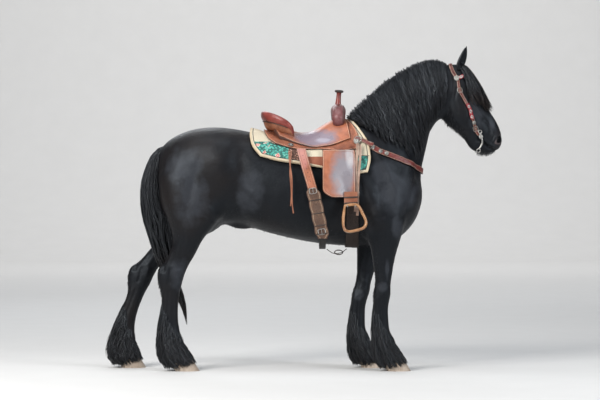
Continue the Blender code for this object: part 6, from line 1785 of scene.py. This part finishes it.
def buildTree():  # cantle, swell and horn: arches swept across the horse, and a turned post
    angles = np.radians(np.linspace(-cantleForm["swing"], cantleForm["swing"], 80))
    lowest = np.cos(np.radians(cantleForm["swing"]))
    climb = np.clip((np.cos(angles) - lowest) / (1 - lowest), 0, 1)
    x = cantleForm["frontX"] - cantleForm["run"] * climb
    z = cantleForm["lowZ"] + cantleForm["rise"] * climb**0.45
    path = np.column_stack([x, cantleForm["halfY"] * np.sin(angles), z])
    lean = unit(np.column_stack([-0.30 * climb, 0.35 * np.sin(angles), np.ones(len(angles))]))
    behind = unit(np.cross(unit(np.gradient(path, axis=0)), lean))
    tall, thick = (0.014 + 0.050 * climb**0.35)[:, None], (0.010 + 0.010 * climb**0.35)[:, None]
    roll = sweep(path + lean * tall * 0.42, lean, behind, np.hstack([tall * 0.60, thick * 1.12]), 28)
    addPiece("cantle_roll", roll, rollLeather, ["saddle_cantle"])
    board = sweep(path - lean * tall * 0.22, lean, behind, np.hstack([tall * 0.80, thick * 0.90]), 28)
    addPiece("cantle_board", board, tooledLeather)
    seam = path + lean * tall * 0.02 + behind * thick * 0.98
    piping = [cordOn(line[5:-5], 0.0028) for line in (seam, seam - behind * thick * 1.96)]
    addPiece("cantle_piping", joined(piping), darkLeather)
    angles = np.radians(np.linspace(-swellForm["swing"], swellForm["swing"], 64))
    places = [swellForm["x"] + 0 * angles, swellForm["halfY"] * np.sin(angles)]
    path = np.column_stack([*places, swellForm["z"] + swellForm["rise"] * np.cos(angles)])
    outward = unit(np.column_stack([0 * angles, np.sin(angles), np.cos(angles)]))
    ahead = np.tile([1.0, 0.0, 0.0], (len(angles), 1))
    size = 0.72 + 0.28 * np.cos(angles / 1.3)
    halves = swellForm["radius"] * np.column_stack([size, size * 1.08])
    addPiece("swell_cover", sweep(path, outward, ahead, halves, 32), swellLeather, ["saddle_swell"])
    seamPath = path + outward * halves[:, :1] * 0.72 + ahead * halves[:, 1:] * 0.72
    addPiece("swell_seam", cordOn(seamPath[4:-4], 0.0022), darkLeather)
    stalk = smoothRows([(0.027, 0.0), (0.022, 0.02), (0.018, 0.045), (0.0155, 0.075), (0.015, 0.100), (0.0165, 0.112)], 4)
    cap = smoothRows([(0.014, 0.110), (0.024, 0.1125), (0.0275, 0.116), (0.0280, 0.121), (0.0250, 0.1265), (0.012, 0.1285), (0.001, 0.129)], 3)
    base, axis = (0.228, 0, 1.66), (0.08, 0, 1)
    addPiece("horn_post", turned(base, axis, stalk, 36), rollLeather, ["saddle_horn"])
    addPiece("horn_cap", turned(base, axis, cap, 36), darkLeather)


def addStrap(name, inner, outer, material, slotName, replaced=(), edge=0.0012):  # a slab with metres along and across
    lengths = np.concatenate([[0], np.cumsum(np.linalg.norm(np.diff(outer[:, 0], axis=0), axis=1))])
    widths = np.linalg.norm(outer[:, -1] - outer[:, 0], axis=1)
    share = np.linspace(0, 1, outer.shape[1])
    far = np.minimum(share, 1 - share)[None, :] * widths[:, None]
    uv = np.stack([np.broadcast_to(lengths[:, None], far.shape), far], axis=-1).reshape(-1, 2)
    centred = np.stack([uv[:, 0], ((share[None, :] - 0.5) * widths[:, None]).reshape(-1)], axis=-1)
    piece = addPiece(name, slab(inner, outer), material, replaced)
    addUv(piece, "rim", np.vstack([uv, uv]))
    addUv(piece, "beads", np.vstack([centred, centred]))
    roundEdges(piece, edge, 2)
    return piece


def bandGrids(path, across, width, thickness, columns=7):  # a flat strap about a path, width along the given way
    path, across = np.asarray(path, float), unit(np.asarray(across, float))
    outward = unit(np.cross(unit(np.gradient(path, axis=0)), across))
    share = np.linspace(-0.5, 0.5, columns)
    width = np.broadcast_to(width, len(path))
    middle = path[:, None] + across[:, None] * (share[None, :, None] * width[:, None, None])
    return middle - outward[:, None] * thickness / 2, middle + outward[:, None] * thickness / 2


def outerGrids(path, across, width, thickness, sign, columns=7):  # the same, with its face away from the horse last
    inner, outer = bandGrids(path, across, width, thickness, columns)
    return (inner, outer) if (outer - inner)[..., 1].mean() * sign > 0 else (outer, inner)


def ringShape(centre, axis, radius, wire, flat=1.0, count=40):  # a round or oval wire ring about an axis
    axis = unit(np.array(axis, float))
    first = unit(np.cross(axis, (0.02, 0.03, 1.0)))
    second = np.cross(axis, first)
    angle = np.arange(count)[:, None] * 2 * np.pi / count
    path = np.array(centre) + radius * (np.cos(angle) * first + flat * np.sin(angle) * second)
    spoke = unit(path - np.array(centre))
    return sweep(path, spoke, np.tile(axis, (count, 1)), (wire, wire), 10, closed=True)


def conchoShape(centre, normal, radius, height=0.005):  # a domed disc with a scalloped rim and a raised button
    normal = unit(np.array(normal, float))
    first = unit(np.cross(normal, (0.3, 0.9, 0.2)))
    second = np.cross(normal, first)
    profile = np.array([(0.96, -0.002), (1.0, 0.0), (0.99, 0.0014), (0.84, 0.0022), (0.80, 0.0015), (0.62, 0.0028),
                        (0.36, 0.0044), (0.30, 0.0040), (0.26, 0.0058), (0.10, 0.0068), (0.01, 0.0070)])
    angle = np.arange(48)[None, :] * 2 * np.pi / 48
    scallop = 1 + 0.035 * np.cos(12 * angle) * np.clip((profile[:, :1] - 0.5) * 2, 0, 1)
    reach = (radius * profile[:, :1] * scallop)[..., None]
    spot = np.array(centre) + (profile[:, 1:] * height / 0.005)[..., None] * normal
    return tube(spot + reach * (np.cos(angle)[..., None] * first + np.sin(angle)[..., None] * second))


def buckleShape(centre, along, across, length, width, wire=0.0022):  # a rounded square frame with a tongue
    along, across = unit(np.array(along, float)), unit(np.array(across, float))
    angle = np.arange(36) * 2 * np.pi / 36
    box = np.column_stack([np.cos(angle), np.sin(angle)])
    box = np.sign(box) * np.abs(box) ** 0.45
    path = np.array(centre) + box[:, :1] * along * length / 2 + box[:, 1:] * across * width / 2
    out = np.cross(along, across)
    spoke = unit(path - np.array(centre))
    frameRing = sweep(path, spoke, np.tile(out, (36, 1)), (wire, wire), 8, closed=True)
    ends = np.array(centre) + np.outer(np.linspace(-0.5, 0.5, 6), along) * length + out * wire * 0.9
    return joined([frameRing, cordOn(ends, wire * 0.6)])


fenderSize = {"rows": 40, "columns": 18, "tabX": (0.262, 0.348)}


def buildFenders(trunk):
    for side, sign in sides:
        heights = np.linspace(fenderForm["topZ"], fenderForm["lowZ"], fenderSize["rows"])
        share = np.linspace(0, 1, fenderSize["rows"])
        rear = fenderForm["rearX"] + 0.060 * np.clip((share - 0.80) / 0.20, 0, 1) ** 2.5
        front = fenderForm["frontX"] - 0.010 * np.clip((share - 0.90) / 0.10, 0, 1) ** 2
        columns = np.linspace(0, 1, fenderSize["columns"])
        x = rear[:, None] + (front - rear)[:, None] * columns[None, :]
        outs = np.array([trunk.sideAt(column, heights, fenderForm["lift"]) for column in x[0]]).T
        inner = np.stack([x, outs * sign, np.broadcast_to(heights[:, None], x.shape)], axis=-1)
        outer = inner + np.array([0, fenderForm["thickness"] * sign, 0])
        addCover("fender_leather_" + side, inner, outer, fenderLeather, ["fender_" + side], 0.0018)
        drop = np.linspace(1.135, 1.046, 14)
        path = np.column_stack([np.full(14, sum(fenderSize["tabX"]) / 2), np.full(14, (stirrupY + 0.001) * sign), drop])
        grids = outerGrids(path, np.tile([1.0, 0, 0], (14, 1)), 0.084, 0.006, sign)
        addStrap("stirrup_tab_" + side, *grids, tanLeather, "tan_leather")
        bars = []
        for z in (1.098, 1.062):
            line = np.array([(0.262, (stirrupY + 0.0055) * sign, z), (0.348, (stirrupY + 0.0055) * sign, z + 0.004)])
            bars.append(cordOn(curveAt([line[0], line.mean(axis=0) + (0, 0.003 * sign, 0), line[1]], np.linspace(0, 1, 9)), 0.0045))
        addPiece("tab_keepers_" + side, joined(bars), darkLeather)


def buildStirrups():
    for side, sign in sides:
        loop = [(x, stirrupY * sign, z) for x, z in stirrupOutline]
        path = spread(loop + loop[:1], 97)[:-1]
        inward = unit(path.mean(axis=0) - path)
        across = np.tile([0.0, 1.0, 0.0], (len(path), 1))
        wide = 0.0155 + 0.0125 * np.clip((1.0 - path[:, 2]) / 0.1, 0, 1)
        halves = np.column_stack([np.full(len(path), 0.0098), wide * 1.05])
        angle = np.arange(20) * 2 * np.pi / 20
        a = np.sign(np.cos(angle)) * np.abs(np.cos(angle)) ** 0.7
        b = np.sign(np.sin(angle)) * np.abs(np.sin(angle)) ** 0.7
        rings = path[:, None] + (halves[:, :1] * a)[..., None] * inward[:, None] + (halves[:, 1:] * b)[..., None] * across[:, None]
        addPiece("wood_stirrup_" + side, closedLoop(rings), stirrupWood, ["stirrup_" + side])
        tread = path[(path[:, 2] < 0.93) & (path[:, 0] < 0.392)]
        tread = tread[np.argsort(tread[:, 0])]
        grown = np.interp(np.linspace(0, 1, len(tread)), [0, 0.1, 0.9, 1], [0.9, 1.0, 1.0, 0.9])
        middle = unit(path.mean(axis=0) - tread)
        wrap = sweep(tread, middle, np.tile([0.0, 1.0, 0.0], (len(tread), 1)), np.column_stack([0.0092 * grown, 0.0295 * grown]), 20)
        addPiece("tread_wrap_" + side, wrap, tanLeather)
        pins = [turned((x, (stirrupY + 0.014) * sign, 1.044), (0, sign, 0), [(0.006, 0), (0.006, 0.002), (0.003, 0.004), (0.0005, 0.0045)], 16)
                for x in (0.284, 0.334)]
        addPiece("stirrup_pins_" + side, joined(pins), engravedSilver)


def girthReach(tree, x, angles):  # how far the skin lies from the middle of the barrel, along each angle
    found = []
    for place, angle in zip(x, angles):
        way = Vector((0, np.sin(angle), np.cos(angle)))
        hit = tree.ray_cast(Vector((place, 0, 1.15)) + way * 1.5, -way)
        found.append(1.5 - hit[3])
    return np.array(found)


def buildRigging(trunk, tree):
    ahead = np.array([1.0, 0.0, 0.0])
    for side, sign in sides:
        heights = np.linspace(1.405, 0.842, 60)
        out = trunk.sideAt(0.05, heights, 0.059, 0.5)
        x = smoothAt([(-1.41, -0.010), (-1.15, 0.066), (-0.85, 0.130)], -heights)
        path = np.column_stack([x, out * sign, heights])
        grids = outerGrids(path, np.tile(ahead, (60, 1)), 0.060, 0.006, sign, 11)
        addStrap("billet_strap_" + side, *grids, billetLeather, "tan_leather", ["rear_billet_" + side])
        low = heights < 1.16
        facing = np.array([0.0, sign * 0.0065, 0.0])
        scallop = 0.078 + 0.010 * np.abs(np.sin(np.linspace(0, 4 * np.pi, low.sum())))
        scallop *= np.clip(np.linspace(0.6, 6, low.sum()), 0, 1) * np.clip(np.linspace(5, 0.6, low.sum()), 0, 1)
        grids = outerGrids(path[low] + facing, np.tile(ahead, (low.sum(), 1)), scallop, 0.004, sign, 11)
        addStrap("billet_shield_" + side, *grids, shieldLeather, "tan_leather")
        spots = np.array([1.140, 0.885])
        centres = np.column_stack([np.interp(-spots, -heights, x), np.interp(-spots, -heights, out) * sign, spots])
        buckles = [buckleShape(c + (0, 0.010 * sign, 0), (0.18, 0, -1), (1, 0, 0.18), 0.034, 0.044, 0.0026) for c in centres]
        addPiece("billet_buckles_" + side, joined(buckles), polishedSteel)
        bars = []
        for z in (1.082, 1.000, 0.925, 0.872):
            middle = np.array([np.interp(-z, -heights, x), (np.interp(-z, -heights, out) + 0.0105) * sign, z])
            bars.append(cordOn(middle + np.outer(np.linspace(-0.036, 0.036, 9), (1.0, 0.0, 0.16)), 0.0030))
        addPiece("shield_bars_" + side, joined(bars), darkLeather)
        holes = np.linspace(1.36, 1.20, 7)
        dots = [turned((np.interp(-z, -heights, x), (np.interp(-z, -heights, out) + 0.0026) * sign, z), (0, sign, 0),
                       [(0.0030, 0), (0.0030, 0.0014), (0.0012, 0.0009), (0.0004, 0.0004)], 12) for z in holes]
        addPiece("billet_holes_" + side, joined(dots), darkLeather)
        straps = []
        for k, (top, low_, start) in enumerate(((1.440, 1.010, 0.346), (1.432, 0.985, 0.366))):
            drop = np.linspace(top, low_, 44)
            out = trunk.sideAt(0.345, drop, np.linspace(0.070 - 0.010 * k, 0.024, 44), 1.0)
            path = np.column_stack([np.linspace(start, 0.332 + 0.012 * k, 44) + 0.003 * np.sin(drop * 19 + k), out * sign, drop])
            straps.append(slab(*outerGrids(path, np.tile(ahead, (44, 1)), 0.016, 0.0042, sign, 3)))
        addPiece("latigo_straps_" + side, joined(straps), strapLeather, ["latigo_" + side], sharp=40)
        thongs = []
        for k, (top, low_, start, end) in enumerate(((1.392, 1.000, -0.080, -0.054), (1.390, 1.045, -0.072, -0.071))):
            drop = np.linspace(top, low_, 40)
            out = trunk.sideAt(-0.07, drop, 0.045 - 0.003 * k) + 0.001
            sway = 0.004 * np.sin(drop * 22 + 2 * k)
            path = np.column_stack([np.linspace(start, end, 40) + sway, out * sign, drop])
            thongs.append(slab(*outerGrids(path, np.tile(ahead, (40, 1)), 0.0075, 0.0028, sign, 3)))
        addPiece("thongs_" + side, joined(thongs), tanLeather, ["saddle_string_" + side], sharp=40)
        rosettes = []
        for x0, z0 in ((-0.076, 1.396), (0.352, 1.440), (-0.215, 1.500)):
            reach = trunk.reachAt(x0, z0)
            spot = trunk.lifted(x0, reach * sign, np.float64(0.046))
            normal = spot - trunk.lifted(x0, reach * sign, np.float64(0.0))
            rosettes.append(conchoShape(spot, normal, 0.017))
        addPiece("saddle_conchos_" + side, joined(rosettes), engravedSilver)
    across = np.linspace(-1, 1, 80)
    heights = np.linspace(1.405, 0.842, 60)
    half = trunk.sideAt(0.05, heights, 0.059, 0.5)[-1]
    sag = 0.772 + 0.072 * np.abs(across) ** 2.2
    path = np.column_stack([np.full(80, 0.130), across * half, sag])
    inner, outer = bandGrids(path, np.tile(ahead, (80, 1)), 0.040, 0.006)
    addStrap("rear_cinch_strap", outer, inner, cinchLeather, "dark_leather", ["rear_cinch"])
    angles = np.radians(np.linspace(104, 256, 60))
    way = np.column_stack([0 * angles, np.sin(angles), np.cos(angles)])
    cords = []
    for k in range(13):
        x = 0.318 + 0.0058 * (k - 6) * (1 + 0.12 * np.cos(angles * 2))
        clear = girthReach(tree, np.full(60, 0.24), angles) + 0.010
        reach = np.minimum(girthReach(tree, x, angles), clear)
        cords.append(cordOn(np.column_stack([x, 0 * x, 0 * x + 1.15]) + way * (reach + 0.0095)[:, None], 0.0036, 8))
    addPiece("cinch_cords", joined(cords), cinchWool, ["front_cinch"])
    rings, bars = [], []
    for side, sign in sides:
        angle = np.radians(104)
        reach = girthReach(tree, np.array([0.318]), np.array([angle]))[0]
        hit = np.array([0.318, reach * np.sin(angle) * sign, 1.15 + reach * np.cos(angle)])
        rings.append(ringShape(hit + (0, 0.014 * sign, 0.035), (0, 1, 0.1), 0.040, 0.0042))
    addPiece("cinch_rings", joined(rings), engravedSilver)
    path = spread([(0.158, 0, 0.768), (0.200, 0, 0.742), (0.250, 0, 0.745), (0.286, 0, 0.770)], 40)
    inner, outer = bandGrids(path, np.tile([0.0, 1.0, 0.0], (40, 1)), 0.020, 0.0045, 5)
    addStrap("link_strap", outer, inner, darkLeather, "dark_leather", ["cinch_link"])
    loop = ringShape((0.235, -0.012, 0.748), (0.15, 1, 0.1), 0.026, 0.0035, 0.55)
    addPiece("link_loop", loop, darkLeather)


collarGuide = [(0.345, 1.468), (0.468, 1.402), (0.628, 1.338), (0.724, 1.288)]
crownGuide = [(0.945, 0.000, 1.985), (0.948, 0.055, 1.950), (0.962, 0.090, 1.905), (0.984, 0.100, 1.862)]
browGuide = [(0.992, 0.100, 1.862), (1.032, 0.100, 1.882), (1.070, 0.060, 1.915), (1.092, 0.000, 1.925)]
cheekGuide = [
    (0.992, 0.100, 1.846),
    (1.004, 0.098, 1.780),
    (1.034, 0.085, 1.704),
    (1.066, 0.080, 1.644),
    (1.092, 0.075, 1.588),
    (1.112, 0.060, 1.524),
    (1.130, 0.050, 1.500),
]
collarFront = (0.790, 0.0, 1.262)
collarConchos = (0.18, 0.27, 0.34)
bitLine = [(1.136, 1.512), (1.139, 1.492), (1.149, 1.466), (1.147, 1.438), (1.128, 1.408)]


def mirroredGuide(guide):  # from the right side over the middle to the left
    return [(x, -y, z) for x, y, z in guide][::-1] + guide[1:]


def strapOn(tree, guide, width, lift, thickness, count, columns=7):  # a strap's two faces, hugging the skin
    nearest = [tree.find_nearest(Vector(p)) for p in spread(guide, count)]
    path, normals = (np.array([hit[k] for hit in nearest]) for k in (0, 1))
    for _ in range(3):
        path[1:-1] = (path[:-2] + 2 * path[1:-1] + path[2:]) / 4
        normals[1:-1] = unit(normals[:-2] + 2 * normals[1:-1] + normals[2:])
    across = unit(np.cross(unit(np.gradient(path, axis=0)), normals))
    shares = np.linspace(-0.5, 0.5, columns)
    base = path[:, None] + across[:, None] * (shares[None, :, None] * np.broadcast_to(width, count)[:, None, None])
    hits = [[tree.find_nearest(Vector(spot))[0] for spot in row] for row in base]
    skinSpots = np.array(hits)
    lifts = ((skinSpots - base) * normals[:, None]).sum(axis=-1)
    lifts = np.maximum(lifts, lifts.mean(axis=1, keepdims=True) - 0.003)
    base = base + normals[:, None] * lifts[..., None]
    crown = thickness * (1 - 0.25 * (2 * shares) ** 2)
    return base + normals[:, None] * lift, base + normals[:, None] * (lift + crown[None, :, None])


def beadFinish():  # rows of glass beads sewn to the strap: red ground with cream and turquoise stepped bars
    bead = Finish("glassBeads", (0.45, 0.04, 0.05), 0.22, Specular_IOR_Level=0.6)
    along, across = bead.strand("beads")
    size = 0.0026
    a, b = along / size, across / size + 0.5
    column, row = a.maths("FLOOR", a), b.maths("FLOOR", b)
    dx, dy = a.cycle() - 0.5, b.cycle() - 0.5
    dome = (1.0 - (dx * dx + dy * dy) * 3.6).clamped() ** 0.5
    part = (column / 14.0).cycle() * 14.0
    step = abs(part - 7.0) + abs(row) * 1.4
    tone = bead.mix(step < 5.4, (0.42, 0.030, 0.045), (0.80, 0.74, 0.66))
    tone = bead.mix(step < 3.2, tone, (0.06, 0.30, 0.33))
    tone = bead.mix(step < 1.5, tone, (0.55, 0.06, 0.06))
    bead.color(bead.mix(dome.ramped(0.0, 0.35), (0.03, 0.015, 0.015), tone))
    bead.bumped(dome, 0.0016, 1.0)
    return bead.material


glassBeads = beadFinish()


def sidePoint(tree, x, z, sign, lift):  # the skin's point and outward normal at a side-view place
    hit, normal = tree.ray_cast(Vector((x, 1.2 * sign, z)), Vector((0, -sign, 0)))[:2]
    return np.array(hit) + np.array(normal) * lift, np.array(normal)


def buildCollar(tree):
    ends = [sidePoint(tree, x, z, 1, 0.030)[0] for x, z in collarGuide]
    ends[0] = ends[0] + (0, 0.022, 0)
    guide = mirroredGuide([collarFront] + [tuple(spot) for spot in ends[::-1]])
    inner, outer = strapOn(tree, guide, 0.036, 0.008, 0.006, 150, 9)
    end = np.linspace(-1, 1, 150)[:, None, None]
    raised = np.clip((np.abs(end) - 0.90) / 0.10, 0, 1) ** 2 * np.array([0, 0.030, 0]) * np.sign(end)
    addStrap("collar_strap", inner + raised, outer + raised, oxbloodLeather, "red_leather", ["breast_collar"])
    normals = unit(outer - inner)
    hardware, overlays = [], []
    for sign in (-1, 1):
        def at(share):
            return int(round(74.5 + sign * 74.5 * (1 - share)))

        for share in collarConchos:
            k = at(share + 0.02)
            hardware.append(conchoShape((outer + raised)[k, 4] + normals[k, 4] * 0.001, normals[k, 4], 0.013))
        k = at(0.02)
        hardware.append(ringShape((outer + raised)[k, 4] + normals[k, 4] * 0.004, normals[k, 4], 0.024, 0.0032, 0.8))
        k = at(0.155)
        run = outer[k + 1, 4] - outer[k - 1, 4]
        hardware.append(buckleShape((outer + raised)[k, 4] + normals[k, 4] * 0.003, run, outer[k, 8] - outer[k, 0], 0.034, 0.046))
        low, high = sorted((at(0.035), at(0.135)))
        span = slice(low, high + 1)
        overlays.append(((outer + raised)[span], (outer + raised)[span] + normals[span] * 0.004))
        tug = [sidePoint(tree, x, z, sign, 0.0)[0] for x, z in ((0.350, 1.468), (0.390, 1.452), (0.425, 1.436), (0.450, 1.424))]
        grids = strapOn(tree, [tuple(spot) for spot in tug], 0.026, 0.036, 0.005, 30)
        addStrap("collar_tug_" + ("left" if sign > 0 else "right"), *grids, oxbloodLeather, "red_leather")
    addPiece("collar_hardware", joined(hardware), engravedSilver)
    for (side, sign), grids in zip(sides, overlays):
        addStrap("collar_billet_" + side, *grids, tooledLeather, "tan_leather")


def buildBridle(tree):
    crown = strapOn(tree, mirroredGuide(crownGuide), 0.024, 0.004, 0.0055, 70)
    addStrap("crown_strap", *crown, oxbloodLeather, "red_leather", ["bridle_crown"])
    brow = strapOn(tree, mirroredGuide(browGuide[::-1]), 0.022, 0.005, 0.0060, 70)
    addStrap("beaded_browband", *brow, glassBeads, "red_leather", ["bridle_browband"])
    for side, sign in sides:
        guide = [(x, y * sign, z) for x, y, z in cheekGuide]
        inner, outer = strapOn(tree, guide, 0.020, 0.004, 0.0045, 90)
        addStrap("cheek_strap_" + side, inner, outer, oxbloodLeather, "red_leather", ["bridle_cheek_" + side])
        normals = unit(outer - inner)
        span = slice(38, 66)
        overlay = strapOn(tree, [tuple(p) for p in outer[span, 3][::4]], 0.024, 0.0085, 0.0032, 40)
        addStrap("beaded_cheek_" + side, *overlay, glassBeads, "red_leather")
        silver = []
        for k in (16, 78):
            run, across = outer[k + 1, 3] - outer[k - 1, 3], outer[k, -1] - outer[k, 0]
            silver.append(buckleShape(outer[k, 3] + normals[k, 3] * 0.0025, run, across, 0.030, 0.030, 0.0020))
        for k in (68,):
            silver.append(conchoShape(outer[k, 3] + normals[k, 3] * 0.001, normals[k, 3], 0.013))
        spot, normal = sidePoint(tree, 0.987, 1.857, sign, 0.0135)
        addPiece("bridle_rosette_" + side, conchoShape(spot, normal, 0.017), engravedSilver, ["bridle_concho_" + side])
        addPiece("cheek_silver_" + side, joined(silver), engravedSilver)
        line = spread([(x, (0.066 if z > 1.45 else 0.063) * sign, z) for x, z in bitLine], 40)
        ahead = unit(np.cross(unit(np.gradient(line, axis=0)), (0.0, 1.0, 0.0)))
        wide = np.interp(np.linspace(0, 1, 40), [0, 0.12, 0.3, 0.6, 1], [0.0075, 0.0060, 0.0048, 0.0056, 0.0042])
        shank = sweep(line, ahead, np.tile([0.0, 1.0, 0.0], (40, 1)), np.column_stack([wide, np.full(40, 0.0036)]), 16)
        top = line[0] + (0.0, 0.0, 0.006)
        parts = [shank, ringShape(top, (0, 1, 0), 0.0105, 0.0026), ringShape(line[-1] + (-0.002, 0, -0.010), (0, 1, 0.2), 0.0115, 0.0024)]
        parts.append(conchoShape(line[9] + (0, 0.0036 * sign, 0), (0, sign, 0), 0.0135, 0.004))
        addPiece("bit_shank_" + side, joined(parts), polishedSteel, ["bit_" + side])
    bar = curveAt([(1.143, -0.064, 1.484), (1.150, -0.030, 1.488), (1.158, 0, 1.500), (1.150, 0.030, 1.488), (1.143, 0.064, 1.484)],
                  np.linspace(0, 1, 40))
    addPiece("bit_mouthpiece", cordOn(bar, 0.0055, 14), polishedSteel)


def steelFinish():  # white metal with fine brush lines and a few darker spots
    steel = Finish("polishedSteel", (0.42, 0.41, 0.39), 0.3, Metallic=1.0)
    lines = steel.noise(steel.place((900, 60, 60)), 1.0, 3.0)
    spots = steel.noise(steel.place((1, 1, 1)), 150.0, 3.0)
    steel.color(steel.mix(spots.ramped(0.55, 0.72), (0.44, 0.43, 0.41), (0.20, 0.18, 0.16)))
    steel.rough(0.24 + lines * 0.16)
    steel.bumped(lines, 0.0002, 0.5)
    return steel.material


polishedSteel = steelFinish()
strapLeather = leatherFinish("strapLeather", (0.40, 0.28, 0.22), (0.20, 0.11, 0.075), 0.45, (0.55, 0.49, 0.44))
cinchLeather = leatherFinish("cinchLeather", (0.014, 0.009, 0.007), (0.005, 0.0035, 0.003), 0.75, (0.026, 0.018, 0.014))
print("saddling")
trunk = Trunk(fineTree)
buildPad(trunk)
buildLeathers(trunk)
buildTree()
buildFenders(trunk)
buildStirrups()
buildRigging(trunk, fineTree)
buildCollar(fineTree)
buildBridle(fineTree)


# Floor, light and camera.


def addLight(name, place, aim, size, power, color=(1, 1, 1)):
    data = bpy.data.lights.new(name, "AREA")
    data.shape = "RECTANGLE"
    data.size, data.size_y = size
    data.energy = power
    data.color = color
    lamp = bpy.data.objects.new(name, data)
    lamp.location = place
    lamp.rotation_euler = (Vector(aim) - Vector(place)).to_track_quat("-Z", "Y").to_euler()
    bpy.context.scene.collection.objects.link(lamp)


def buildStudio():  # a pale floor that runs level under the horse and curves up far behind it
    turn = np.linspace(0, np.pi / 2, 24)
    depth = np.concatenate([[-40.0], 24.0 + 6.0 * np.sin(turn), [30.0]])
    height = np.concatenate([[0.0], 6.0 - 6.0 * np.cos(turn), [30.0]])
    outline = np.stack([np.column_stack([np.full(26, side), depth, height]) for side in (-40.0, 40.0)])
    floor = bpy.data.objects.new("studio_floor", makeMesh("studio_floor", *grid(outline)))
    floor.data.shade_smooth()
    bpy.context.scene.collection.objects.link(floor)
    floor.data.materials.append(floorFinish())
    addLight("key_light", (-5.2, -6.2, 5.4), (0, 0, 1.1), (4.0, 3.0), 880, (1.0, 0.98, 0.95))
    addLight("side_light", (6.0, -5.0, 3.6), (0.2, 0, 1.1), (2.6, 3.6), 330, (0.92, 0.96, 1.0))
    addLight("wall_light", (0.0, 19.0, 12.0), (0, 29.0, 2.5), (22.0, 3.0), 1750)
    addLight("floor_light", (0.0, 10.5, 8.5), (0, 12.5, 0), (16.0, 5.0), 600, (0.96, 0.98, 1.0))
    addLight("top_light", (-0.5, -0.8, 6.2), (0, 0, 1.2), (6.0, 3.0), 170, (0.94, 0.97, 1.0))
    addLight("back_light", (-2.5, 8.0, 6.0), (0, 0, 1.2), (4.0, 2.5), 120, (0.92, 0.96, 1.0))
    world = bpy.data.worlds.new("studioAir")
    world.use_nodes = True
    world.node_tree.nodes["Background"].inputs["Color"].default_value = (0.88, 0.92, 1.0, 1)
    world.node_tree.nodes["Background"].inputs["Strength"].default_value = 0.18
    bpy.context.scene.world = world
    bpy.context.scene.view_settings.view_transform = "Standard"
    data = bpy.data.cameras.new("camera")
    data.sensor_width = 36.0
    data.lens = 131.04
    camera = bpy.data.objects.new("camera", data)
    camera.location = (-0.013, -14.0, 1.083)
    camera.rotation_euler = (np.pi / 2, 0, 0)
    bpy.context.scene.collection.objects.link(camera)
    bpy.context.scene.camera = camera


print("setting up the studio")
buildStudio()
